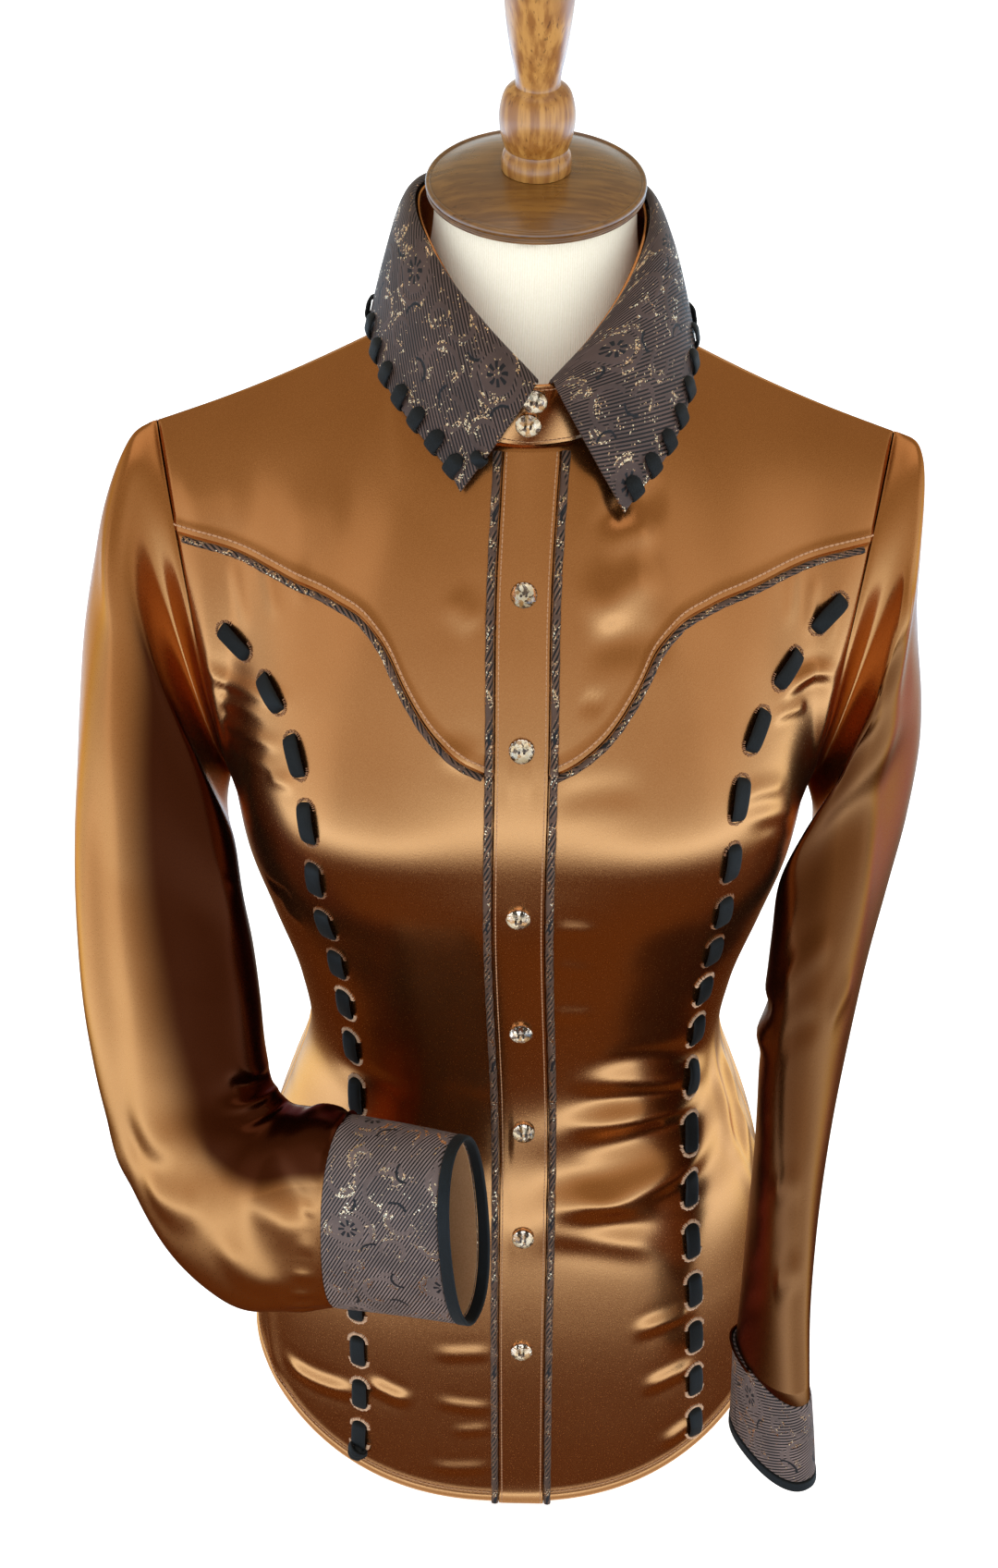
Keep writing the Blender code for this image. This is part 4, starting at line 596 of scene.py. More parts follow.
# light, dark and roughness of each thread
threadLook = {
    "dark": ((0.055, 0.022, 0.01), (0.015, 0.006, 0.003), 0.6),
    "topstitch": ((0.6, 0.33, 0.16), (0.3, 0.12, 0.045), 0.45),
    "eyelet": ((0.8, 0.56, 0.38), (0.42, 0.22, 0.11), 0.5),
    "copper": ((0.42, 0.19, 0.07), (0.17, 0.06, 0.02), 0.45),
}


def threadMaterial(name):
    light, dark, rough = threadLook[name]
    made, shader, w = newMaterial(f"{name}_thread", light, rough, Sheen_Weight=0.3)
    grain = w.grain(2600.0, 2.0)
    uneven = w.stretch(grain["Cloud"], 0.3, 0.7, rough - 0.05, rough + 0.1)
    setSurface(w, shader, w.blend(grain["Shade"], dark, light), uneven, grain["Height"], 0.6, 0.0002)
    return made


# the cream of the jersey, and the painted shade of the valleys between its ribs
coverLook = {"cream": (0.96, 0.93, 0.81), "ribValleyShade": (0.87, 0.83, 0.68), "ribPeriod": 0.00115}


def coverMaterial(name, look):
    made, shader, w = newMaterial(name, look["cream"], 0.85, Sheen_Weight=0.15)
    rib = w.math("SINE", w.times(w.split(w.clothPlace())[0], 2 * math.pi / look["ribPeriod"]))
    grain = w.grain(900.0, 1.0)
    # painted shade: the valleys between the ribs are darker in colour
    share = w.timesPlus(w.stretch(rib, -1.0, 0.2), 0.7, w.times(grain["Shade"], 0.3))
    rough = w.stretch(grain["Cloud"], 0.3, 0.7, 0.78, 0.92)
    height = w.timesPlus(grain["Height"], 0.4, rib)
    setSurface(w, shader, w.blend(share, look["ribValleyShade"], look["cream"]), rough, height, 0.35, 0.0002)
    return made


# dark pores, middle and light grain of each wood
woodLook = {
    "finial": ((0.06, 0.014, 0.003), (0.27, 0.105, 0.018), (0.47, 0.235, 0.055)),
    "cap": ((0.045, 0.012, 0.001), (0.125, 0.048, 0.007), (0.2, 0.086, 0.014)),
}


def woodGroup():
    group, w, into, out = newGroup("woodGrain", {"Vector": ["Vector"], "Color": ["Dark", "Mid", "Light"]},
                                   {"Color": ["Color"], "Float": ["Roughness", "Height"]})
    long = w.noise(w.vector("MULTIPLY", into["Vector"], (260.0, 260.0, 22.0)), 1.0, 4.0)
    pores = w.noise(w.vector("MULTIPLY", into["Vector"], (900.0, 900.0, 60.0)), 1.0, 2.0)
    blotch = w.noise(into["Vector"], 30.0, 3.0)
    colour = w.blend(w.stretch(long, 0.35, 0.65), into["Mid"], into["Light"])
    colour = w.blend(w.stretch(blotch, 0.5, 0.72, 0.0, 0.75), colour, into["Mid"])
    colour = w.blend(w.stretch(pores, 0.6, 0.74, 0.0, 0.6), colour, into["Dark"])
    w.put(out["Color"], colour)
    w.put(out["Roughness"], w.stretch(blotch, 0.3, 0.7, 0.26, 0.4))
    w.put(out["Height"], w.minus(long, w.times(pores, 0.5)))
    return group


woodGrain = woodGroup()


def woodMaterial(name, colours, coat, lying=False):
    # lying: the grain runs across instead of up
    dark, mid, light = colours
    made, shader, w = newMaterial(name, mid, 0.32, Coat_Weight=coat, Coat_Roughness=0.18)
    place = w.objectPlace()
    if lying:
        x, y, z = w.split(place)
        place = w.add("ShaderNodeCombineXYZ", in_X=z, in_Y=y, in_Z=x)
    wood = w.group(woodGrain, Vector=place, Dark=dark, Mid=mid, Light=light)
    setSurface(w, shader, wood["Color"], wood["Roughness"], wood["Height"], 0.15, 0.0004)
    return made


def crystalMaterial(name):
    made, shader, w = newMaterial(name, (1.0, 0.96, 0.88), 0.0, Transmission_Weight=1.0, IOR=1.55)
    tint = w.stretch(w.noise(w.objectPlace(), 420.0, 1.0), 0.35, 0.65)
    setSurface(w, shader, w.blend(tint, (1.0, 0.9, 0.74), (1.0, 1.0, 0.98)))
    return made


def foilMaterial(name):
    # painted reflections: the foil's colour is small cells of dark, gold and white, as the facets would throw
    # light back
    made, shader, w = newMaterial(name, (0.95, 0.8, 0.55), 0.35, 0.3)
    chance = w.cells(w.objectPlace(), 640.0)
    # painted reflections: dark, gold and white cells in place of the facets' sparkle
    colour = w.blend(w.isAbove(chance[0], 0.3), (0.1, 0.045, 0.014), (0.62, 0.37, 0.15))
    colour = w.blend(w.isAbove(chance[0], 0.48), colour, (1.0, 0.95, 0.84))
    setSurface(w, shader, colour, w.stretch(chance[1], 0.0, 1.0, 0.15, 0.45))
    return made


satin = satinMaterial("copper_satin", satinLook)
sleeveLook = {**satinLook, "rough": 0.29, "coat": 0.08, "edge": (0.5, 0.32, 0.2)}
# painted shade: patches of the sleeves whose colour is darkened, as satinMaterial reads them
sleevePaintedShade = {
    "left": (
        (0.043, 0.25, 0.034, 0.03, 0.385, 0.05, 0.04, 0.98),
        (0.096, 0.24, 0.03, 0.345, 0.425, 0.03, 0.0, 0.6),
    ),
    "right": (
        (-0.06, 0.6, 0.05, 0.045, 0.62, 0.06, 0.0, 0.66),
        (0.016, 0.24, 0.05, 0.06, 0.62, 0.06, 0.0, 0.84),
        (0.04, 0.2, 0.045, 0.08, 0.2, 0.045, 0.0, 1.0),
    ),
}
sleeveSatin = {word: satinMaterial(f"copper_satin_{word}_sleeve", sleeveLook, rows)
               for word, rows in sleevePaintedShade.items()}
facingSatin = satinMaterial("copper_satin_facing", {
    **satinLook, "metal": 0.55, "rough": 0.4, "coat": 0.1, "deep": (0.52, 0.27, 0.12),
    "bright": (0.78, 0.5, 0.29)
})
brocadeCollar = brocadeMaterial("brocade_collar", "collar", 32.0)
brocadeCuff = brocadeMaterial("brocade_cuff", "cuff", -28.0)
brocadePiping = brocadeMaterial("brocade_bias", "bias", -62.0, 0.0022)
laceLeather = leatherMaterial("black_lace_leather", leatherLook, 1500.0)
tapeLook = {**leatherLook, "worn": (0.0045, 0.0125, 0.019)}
bindingTape = leatherMaterial("black_binding_tape", tapeLook, 1900.0)
holeShadeThread, goldThread, paleThread, copperThread = (threadMaterial(name) for name in threadLook)
cover = coverMaterial("cream_ribbed_cover", coverLook)
finialWood = woodMaterial("honey_wood", woodLook["finial"], 0.35)
capWood = woodMaterial("brown_wood", woodLook["cap"], 0.9, True)
crystal = crystalMaterial("cut_crystal")
foil = foilMaterial("crystal_foil")
print("materials made")


# Body of the shirt

bodyCut = {
    "wall": 0.0012,
    "hemFront": 0.018,
    "hemSide": 0.078,
    "hemBack": 0.03,
    "bustRow": 0.49,
    "neckFront": (0.0, -0.068, 0.706),
    "neckSide": (0.066, 0.002, 0.744),
    "neckBack": (0.0, 0.06, 0.752),
    "shoulderTip": (0.1925, 0.012, 0.686),
    "shoulderDip": 0.003,
    "neckShare": 0.42,
    "neckSoft": 0.16,
    # level sections: height, half width, front, back, squareness
    "sections": np.array((
        (0.01, 0.166, 0.113, 0.11, 2.3), (0.08, 0.165, 0.113, 0.11, 2.3),
        (0.16, 0.16, 0.111, 0.108, 2.3), (0.23, 0.15, 0.105, 0.099, 2.25),
        (0.27, 0.136, 0.099, 0.09, 2.2), (0.315, 0.123, 0.096, 0.085, 2.2),
        (0.36, 0.128, 0.1, 0.088, 2.2), (0.415, 0.143, 0.11, 0.097, 2.3),
        (0.455, 0.1535, 0.1185, 0.104, 2.36), (0.49, 0.158, 0.1215, 0.108, 2.4),
    )),
    # the cup: across, height, half length up and half width, and its rise
    "cup": (0.08, 0.5, 0.056, 0.05, 0.01),
    # where the columns leave the top edge, front and back: centre, side of the neck, armhole
    "topHandles": (
        ((0, -0.016, -0.05), (0.004, -0.05, -0.022), (-0.014, -0.052, -0.04)),
        ((0, 0.026, -0.05), (0.004, 0.044, -0.026), (-0.008, 0.046, -0.045)),
    ),
    "armholeHandle": ((0.004, -0.066, 0.016), (0.004, 0.066, 0.018)),
    "bustHandle": 0.075,
    "seamTuck": 0.001,
    "seamTuckWidth": 0.0015,
    "hemBand": 0.0075,
    "hemProud": 0.0007,
    "hemRoll": 0.0014,
}
# Folds: side (-1 left, 1 right, 0 both), middle across and up, half length, half width, turn, rise
bodyFolds = (
    (
        (-1, 0.14, 0.56, 0.04, 0.011, -30, 0.0006), (1, 0.15, 0.56, 0.038, 0.012, -52, 0.0008),
        (1, 0.06, 0.255, 0.055, 0.016, 18, 0.0035), (-1, 0.06, 0.245, 0.05, 0.016, 6, 0.0025),
        (1, 0.055, 0.305, 0.05, 0.014, 8, 0.0025),
    ),
    (
        (0, 0.06, 0.3, 0.06, 0.014, 6, 0.003), (0, 0.055, 0.345, 0.055, 0.012, -4, 0.0025),
        (0, 0.135, 0.56, 0.04, 0.01, -40, 0.003),
    ),
)
# Creases of each panel, in millimetres round the body from its centre line and in height:
# from, to, bow, half width, rise
bodyCreases = {
    "frontLeft": (
        # at the armpit
        (218, 569, 132, 570, 5, 4.8, 1.4), (200, 553, 145, 558, 2, 4, 1),
        (194, 539, 131, 546, 2, 4.2, 1.2), (186, 525, 129, 535, 2, 4.2, 0.9),
        (138, 526, 119, 529, 0, 4.5, 1),
        # gathers below the yoke
        (182, 628, 166, 597, 1, 5.2, 0.5), (158, 634, 145, 608, 0, 4.8, 0.6),
        (137, 640, 129, 618, 1, 5.5, 0.4),
        # the tuck beside the lacing at the bust
        (158, 447, 134, 452, 0, 4.2, -1.8), (148, 436, 134, 434, 0, 8, 1.2),
        # below the waist
        (16, 331, 62, 337, 2, 9, 0.5), (80, 318, 150, 322, 2, 8, -0.8), (172, 132, 156, 64, 4, 8, 1.6),
        (149, 88, 95, 94, 2, 6, 2.4), (86, 106, 62, 97, 1, 5.5, 2), (46, 139, 12, 143, 0, 5, 0.7),
        (44, 100, 12, 98, 1, 4.5, 0.8), (34, 76, 12, 80, 0, 4, 0.6), (48, 43, 12, 47, 1, 4.8, 0.7),
        # the yoke
        (222, 650, 172, 662, 3, 15, 1), (150, 654, 112, 668, 2, 15, 0.7), (40, 636, 26, 623, 0, 8, 1.2),
        (38, 563, 22, 556, 0, 7, 1.2),
    ),
    "frontRight": (
        (146, 569, 210, 573, 4, 4.8, 2), (150, 578, 185, 577, -1, 3.8, 1.2),
        (143, 562, 172, 558, 1, 4.2, 1.4), (115, 528, 150, 519, 2, 5.5, 1),
        (121, 514, 168, 495, 2, 5.5, 1), (134, 497, 180, 474, 0, 5.5, 0.8),
        (166, 634, 160, 605, 1, 5, 0.6), (184, 625, 177, 597, 0, 5.2, 0.7),
        (203, 617, 201, 590, 0, 4.8, 0.5), (18, 536, 62, 541, 3, 8.5, -0.8),
        (22, 458, 43, 456, 0, 5, 1), (24, 429, 47, 424, 0, 5, 1), (26, 392, 54, 389, 0, 5, 1),
        # the folds that stand across the waist
        (58, 354, 164, 323, 5, 8, -1.4), (50, 337, 157, 310, 4, 8, 2.2),
        (60, 322, 146, 303, 2, 7, -1.1), (46, 307, 150, 296, 1, 7.8, 2.3),
        (50, 288, 150, 284, 0, 7.5, -1.1), (26, 252, 146, 267, -4, 11.5, 4.4),
        (44, 262, 134, 235, -6, 8, 1.3), (22, 233, 94, 212, 3, 8.5, 1.4),
        (78, 153, 116, 158, 1, 6, 1.8), (84, 106, 116, 112, 1, 6, 1.7), (98, 52, 118, 63, 1, 6, 1.5),
        (180, 325, 167, 250, 3, 6.5, 1.8), (206, 304, 186, 226, 2, 6.5, 1.8),
        (164, 280, 208, 150, -6, 7, 1.8), (190, 270, 215, 190, 2, 5, 1.2),
        # the yoke
        (47, 696, 50, 672, 1, 9, 1.2), (47, 659, 78, 666, 2, 9.5, 2.5), (46, 677, 88, 675, 1, 8, -1.7),
        (74, 648, 38, 627, -2, 12, 3), (36, 614, 80, 611, 3, 10, -1.8), (32, 588, 43, 585, 0, 5, -1),
    ),
    "backLeft": (
        (218, 570, 140, 556, 5, 5, 2.8), (212, 548, 150, 534, 4, 4.2, 2.2),
        (216, 598, 172, 590, 3, 5, 1.8), (10, 352, 120, 338, 4, 6.5, -2), (6, 333, 130, 316, 5, 8, 3.2),
        (20, 308, 118, 300, 2, 7, 2.4), (60, 288, 160, 270, 4, 7, 1.8), (30, 372, 100, 366, 2, 6, 1.6),
        (120, 240, 190, 190, 6, 8, 1.6), (40, 190, 110, 160, 4, 9, 1.2),
        (170, 330, 205, 240, 4, 7, 1.8), (70, 640, 90, 560, 6, 12, 1.4),
    ),
    "backRight": (
        (220, 562, 134, 560, 6, 5, 2.6), (214, 540, 156, 524, 3, 4.2, 2.2),
        (216, 606, 166, 590, 3, 5, 1.6), (4, 350, 116, 356, -3, 6.5, -2), (6, 331, 124, 330, -3, 8, 3),
        (16, 306, 112, 312, -2, 7, 2.2), (50, 282, 150, 284, -3, 7, 1.8),
        (110, 250, 180, 212, 5, 8, 1.6), (20, 170, 90, 182, 3, 9, 1.2), (176, 322, 208, 236, 4, 7, 1.8),
        (80, 634, 78, 552, 5, 12, 1.4),
    ),
}
edgeSteps = np.array([0.0, 0.0005, 0.0011, 0.0018, 0.0028, 0.0042])


def section(u, z, back):
    turn = u * math.pi / 2
    rows = bodyCut["sections"]
    power = 2 / smooth(z, rows[:, 0], rows[:, 4])
    x = smooth(z, rows[:, 0], rows[:, 1]) * np.sin(turn) ** power
    depth = smooth(z, rows[:, 0], rows[:, 3 if back else 2])
    y = depth * np.clip(np.cos(turn), 0, 1) ** power
    return np.stack([x, y if back else -y, z + 0 * x], -1)


def hemHeight(u, back):
    low = bodyCut["hemBack" if back else "hemFront"]
    return low + (bodyCut["hemSide"] - low) * np.sin(u * math.pi / 2) ** 2.2


def topEdge(u, back):
    share = bodyCut["neckShare"]
    start = np.array(bodyCut["neckBack" if back else "neckFront"])
    side = np.array(bodyCut["neckSide"])
    tip = np.array(bodyCut["shoulderTip"])
    a = np.clip(u / share, 0, 1)[..., None] * math.pi / 2
    neckX = side[0] * np.sin(a)
    neckY = side[1] + (start[1] - side[1]) * np.cos(a)
    neckZ = start[2] + (side[2] - start[2]) * (1 - np.cos(a)) ** (1.0 if back else 1.35)
    neck = np.concatenate([neckX, neckY, neckZ], -1)
    b = np.clip((u - share) / (1 - share), 0, 1)[..., None]
    seam = side + (tip - side) * b
    seam[..., 2:] -= bodyCut["shoulderDip"] * np.sin(b * math.pi)
    return np.where(u[..., None] < share, neck, seam)


def bodyBase(u, s, back):
    # the corner beside the neck softens below the top edge
    u, s = np.broadcast_arrays(np.asarray(u, float), np.asarray(s, float))
    spread = bodyCut["neckSoft"] * ease(s / 0.3) * ease((1.0 - s) / 0.2)
    spread = spread * ease(u / 0.25) * ease((1 - u) / 0.25)
    steps = np.linspace(-1, 1, 13)
    shares = 1 + np.cos(steps * math.pi * 12 / 13)
    shares = shares / shares.sum()
    return sum(share * bodyPlain(u + step * spread, s, back) for step, share in zip(steps, shares))


def bodyPlain(u, s, back):
    # s is 0 at the top edge, 1 at the bust row and 2 at the hem
    row = bodyCut["bustRow"]
    top = topEdge(u, back)
    bust = section(u, np.full(u.shape, row), back)
    rise = section(u, np.full(u.shape, row - 0.004), back) - bust
    upright = -rise / 0.004 * bodyCut["bustHandle"]
    nearArm = ease((u - 0.72) / 0.28)[..., None]
    second = bust + upright * (1 - nearArm) + np.array(bodyCut["armholeHandle"][back]) * nearArm
    first = top + smooth(u, (0.0, bodyCut["neckShare"], 1.0), np.array(bodyCut["topHandles"][back]))
    t = np.clip(s, 0, 1)[..., None]
    upper = top * (1 - t) ** 3 + 3 * first * t * (1 - t) ** 2 + 3 * second * t**2 * (1 - t) + bust * t**3
    z = row + (hemHeight(u, back) - row) * np.clip(s - 1, 0, 1)
    return np.where(s[..., None] <= 1, upper, section(u, z, back))


def foldRise(p, back):
    across = np.abs(p[..., 0])
    rise = np.zeros(across.shape)
    if not back:
        x, z, tall, wide, high = bodyCut["cup"]
        rise += high * np.exp(-(((across - x) / wide) ** 2) - ((p[..., 2] - z) / tall) ** 2)
    for side, x, z, length, width, turn, high in bodyFolds[back]:
        a = math.radians(turn)
        dx = across - x
        dz = p[..., 2] - z
        along = dx * math.cos(a) + dz * math.sin(a)
        over = dz * math.cos(a) - dx * math.sin(a)
        lift = high * np.exp(-((along / length) ** 2) - (over / width) ** 2)
        rise += np.where(side * p[..., 0] >= 0, lift, 0) if side else lift
    return rise


fineTurn = np.linspace(0, 1, 401)
fineRound = runLength(section(fineTurn, np.full(401, bodyCut["bustRow"]), False))


def bodyPoint(u, s, back, side, creased=True):
    # points of the cloth at (u, s), with folds and creases, and their normals
    u, s = np.broadcast_arrays(np.asarray(u, float), np.asarray(s, float))
    mirror = np.array([side, 1.0, 1.0])
    step = 0.004
    across = bodyBase(np.clip(u + step, 0, 1), s, back) - bodyBase(np.clip(u - step, 0, 1), s, back)
    down = bodyBase(u, np.clip(s + step, 0, 2), back) - bodyBase(u, np.clip(s - step, 0, 2), back)
    normal = unit(np.cross(down, across)) * (-1 if back else 1)
    normal[u < 1e-6, 0] = 0
    # both panels share one direction along the shoulder seam and the side seam
    run = np.array(bodyCut["shoulderTip"]) - np.array(bodyCut["neckSide"])
    shared = np.array([-run[2], 0, run[0]])
    near = (bell(s / 0.03) * ease((u - bodyCut["neckShare"] + 0.04) / 0.04))[..., None]
    normal = unit(normal * (1 - near) + unit(shared) * near)
    near = (bell((1 - u) / 0.02) * (s >= 1))
    normal[..., 1] *= 1 - near
    normal = unit(normal)
    point = bodyBase(u, s, back) * mirror
    normal = normal * mirror
    rise = foldRise(point, back)
    if creased:
        rows = bodyCreases[("back" if back else "front") + ("Left" if side < 0 else "Right")]
        fade = ease((1 - u) / 0.05) * ease(s / 0.06) * ease((2 - s) / 0.02 + 0.3)
        rise = rise + creaseRise(np.interp(u, fineTurn, fineRound), point[..., 2], rows) * fade
    return point + normal * rise[..., None], normal


# Yoke seam of the front: across and height in millimetres, from the band out to the armhole
yokeCut = {
    "seam": np.array((
        (0, 547), (18, 551), (33, 560), (46, 573), (57, 590), (66, 607), (76, 618), (94, 625),
        (115, 629), (140, 634), (200, 639),
    )) * mm,
    "lip": 0.0009,  # how far its edge stands off the front
    "stitchUp": 0.003,
    "pipingDrop": 0.003,
    "pipingEnds": (0.0175, 0.1755),
    "piping": 0.0018,
}
bodyGrid = {"columns": 84, "yokeRows": 58, "chestRows": 56, "lowerRows": 176, "backUpperRows": 84,
            "backLowerRows": 152}


def seamRow(u, side):
    low = np.zeros(u.shape)
    high = np.ones(u.shape)
    for _ in range(30):
        mid = (low + high) / 2
        point, _normal = bodyPoint(u, mid, False, side, False)
        above = point[..., 2] > smooth(np.abs(point[..., 0]), yokeCut["seam"][:, 0], yokeCut["seam"][:, 1])
        low = np.where(above, mid, low)
        high = np.where(above, high, mid)
    return (low + high) / 2


def metresPerRow(u, s, back, side):
    a, _ = bodyPoint(u, np.clip(s - 0.01, 0, 2), back, side, False)
    b, _ = bodyPoint(u, np.clip(s + 0.01, 0, 2), back, side, False)
    return np.linalg.norm(b - a, axis=-1) / (np.clip(s + 0.01, 0, 2) - np.clip(s - 0.01, 0, 2))


def placeRows(first, last, firstMetres, lastMetres, count):
    # rows from one edge to the other, close together near both edges
    a = first[:, None] + edgeSteps / firstMetres[:, None]
    b = last[:, None] - edgeSteps[::-1] / lastMetres[:, None]
    middle = a[:, -1:] + (b[:, :1] - a[:, -1:]) * np.linspace(0, 1, count + 2)[1:-1]
    return np.concatenate([a, middle, b], axis=1)


def columnPlaces():
    # even steps of cloth from the centre line to the side, close together at the side's edge
    edge = 1 - edgeSteps[::-1] / 0.26
    arcs = np.linspace(0, np.interp(edge[0], fineTurn, fineRound), bodyGrid["columns"])
    return np.concatenate([np.interp(arcs, fineRound, fineTurn)[:-1], edge])


def tuckEdges(outer, normals):
    # the cloth turns in at its upper seam and at its side seam
    depth = bodyCut["seamTuck"] * bell(edgeSteps / bodyCut["seamTuckWidth"])
    k = len(edgeSteps)
    fall = np.zeros(outer.shape[:2])
    fall[:, :k] = depth
    fall[-k:] = np.maximum(fall[-k:], depth[::-1, None])
    return outer - normals * fall[..., None]


def leftBelow(grid):
    # how much cloth is left below each point
    run = runLength(grid, 1)
    return run[:, -1:] - run


def hemShape(outer, normals):
    # the turned hem: a slightly proud band with a rolled lower edge; gives points and wall
    below = leftBelow(outer)
    proud = bodyCut["hemProud"] * ease((bodyCut["hemBand"] - below) / 0.0012 + 0.5)
    roll = bodyCut["hemRoll"] * bell(below / 0.0021)
    shaped = outer + normals * (proud + roll)[..., None]
    return shaped, bodyCut["wall"] + proud + roll * 0.6


columns = columnPlaces()
zero = np.zeros(len(columns))
seamGap = 0.00015
fronts = {}
frontGrids = []
for side, word in ((-1, "left"), (1, "right")):
    seam = seamRow(columns, side)
    atSeam = metresPerRow(columns, seam, False, side)
    atTop = metresPerRow(columns, zero, False, side)
    yokeRows = placeRows(seamGap / atTop, seam - seamGap / atSeam, atTop, atSeam, bodyGrid["yokeRows"])
    yoke, yokeNormals = bodyPoint(columns[:, None], yokeRows, False, side)
    lip = yokeCut["lip"] * ease((0.008 - leftBelow(yoke)) / 0.006)
    yoke = tuckEdges(yoke + yokeNormals * lip[..., None], yokeNormals)
    wall = bodyCut["wall"] + lip * 0.9
    sheetPiece(f"yoke_{word}", yoke, yokeNormals, wall, satin, [f"yoke_front_{word}"], "stretched",
               ["form_cover"], [f"yoke_stitch_{word}", f"yoke_cord_{word}"])

    chestMetres = metresPerRow(columns, zero + 1, False, side)
    chest = placeRows(seam + seamGap / atSeam, zero + 1, atSeam, chestMetres, bodyGrid["chestRows"])
    chest = chest[:, : -len(edgeSteps)]
    lower = 1 + np.linspace(0, 1, bodyGrid["lowerRows"] + 1)[None] + zero[:, None]
    hemMetres = metresPerRow(columns, zero + 2 - 1e-6, False, side)
    hemRows = 2 - edgeSteps[::-1] / hemMetres[:, None]
    lower = np.concatenate([lower[:, :-2], hemRows], axis=1)
    front, frontNormals = bodyPoint(columns[:, None], np.concatenate([chest, lower], axis=1), False, side)
    front, wall = hemShape(tuckEdges(front, frontNormals), frontNormals)
    trims = [f"lace_{word}", f"eyelets_{word}_upper", f"eyelets_{word}_lower", f"hem_stitch_{word}"]
    sheetPiece(f"front_{word}_panel", front, frontNormals, wall, satin, [f"front_{word}"], "stretched",
               ["form_cover"], trims)
    fronts[word] = {"yoke": yoke, "front": front, "normals": frontNormals, "seam": seam}
    frontGrids += [yoke, front]
print("fronts and yokes made")

# The back in one piece
backHalves = []
for side in (-1, 1):
    atTop = metresPerRow(columns, zero, True, side)
    hemMetres = metresPerRow(columns, zero + 2 - 1e-6, True, side)
    rows = np.concatenate([
        placeRows(seamGap / atTop, zero + 1, atTop, atTop, bodyGrid["backUpperRows"])[:, : -len(edgeSteps)],
        1 + np.linspace(0, 1, bodyGrid["backLowerRows"])[None, :-2] + zero[:, None],
        2 - edgeSteps[::-1] / hemMetres[:, None],
    ], axis=1)
    outer, normals = bodyPoint(columns[:, None], rows, True, side)
    outer, wall = hemShape(tuckEdges(outer, normals), normals)
    backHalves.append((outer, normals, wall))
back, backNormals, backWall = (np.concatenate([one[:0:-1], other]) for one, other in zip(*backHalves))
sheetPiece("back_panel", back, backNormals, backWall, satin, ["back"], "stretched", ["form_cover"])
print("back made")


# Finding places on the finished cloth

class Seat:
    def __init__(self, grids):
        verts = []
        faces = []
        for grid in grids:
            base = len(verts)
            verts += grid.reshape(-1, 3).tolist()
            faces += (gridFaces(*grid.shape[:2]) + base).tolist()
        self.tree = BVHTree.FromPolygons(verts, faces)

    def cast(self, start, way):
        return self.tree.ray_cast(Vector(start), Vector(way))[0]

    def front(self, x, z, lift=0.0, reach=0.003):
        # the point at (x, z) on the front, moved out, and the normal of the cloth there
        spot = self.cast((x, -1, z), (0, 1, 0))
        around = []
        for dx, dz in ((reach, 0), (0, reach), (-reach, 0), (0, -reach)):
            near = self.cast((x + dx, -1, z + dz), (0, 1, 0))
            around.append(np.array(near if near is not None else spot))
        normal = unit(np.cross(around[1] - around[3], around[0] - around[2]))
        normal *= np.sign(-normal[1])
        return np.array(spot) + normal * lift, normal


frontSeat = Seat(frontGrids)


# Rows of stitches: short rounded lengths of thread along a line on the cloth

def stitchSolids(points, normals, pitch, share, radius):
    run = runLength(points)
    count = max(1, int(run[-1] / pitch))
    pitch = run[-1] / count
    solids = []
    for k in range(count):
        ends = np.array([k + (1 - share) / 2, k + 0.5, k + (1 + share) / 2]) * pitch
        spots = np.stack([np.interp(ends, run, points[:, axis]) for axis in range(3)], -1)
        up = np.stack([np.interp(ends, run, normals[:, axis]) for axis in range(3)], -1)
        way = unit(spots[2] - spots[0])
        a, b, c = spots + up * radius * np.array([-0.4, 0.75, -0.4])[:, None]
        past = way * radius * 0.5
        path = np.array([a - past, a + (b - a) * 0.35, b, c + (b - c) * 0.35, c + past])
        path[1] += up[0] * radius * 0.7
        path[3] += up[2] * radius * 0.7
        thick = radius * np.array([0.45, 0.95, 1.0, 0.95, 0.45])
        solids.append(solidFromRings(tubeGrid(path, thick, 6, up[1])))
    return solids


stitchShare = 0.8  # of the pitch that thread covers


def stitchPiece(name, lines, pitch, radius):
    solids = []
    for points, normals in lines:
        solids += stitchSolids(points, normals, pitch, stitchShare, radius)
    solidsPiece(name, solids, goldThread)


def gridLine(grid, normals, fromEnd):
    # the line on a grid that keeps this distance from its last row
    found = [onRow(*row, -fromEnd) for row in zip(grid, normals, -leftBelow(grid))]
    return [np.array(each) for each in zip(*found)]


for side, word in ((-1, "left"), (1, "right")):
    parts = fronts[word]
    seam = np.broadcast_to(parts["seam"][:, None], parts["yoke"].shape[:2])
    normals = bodyPoint(columns[:, None], seam, False, side)[1]
    line = gridLine(parts["yoke"], normals, yokeCut["stitchUp"])
    keep = np.abs(line[0][:, 0]) > 0.0135
    stitchPiece(f"yoke_stitch_{word}", [(line[0][keep], line[1][keep])], pitch=0.0031, radius=0.00055)
    line = gridLine(parts["front"], parts["normals"], bodyCut["hemBand"] - 0.0009)
    stitchPiece(f"hem_stitch_{word}", [(line[0][4:-4], line[1][4:-4])], pitch=0.0029, radius=0.00032)
print("stitches made")


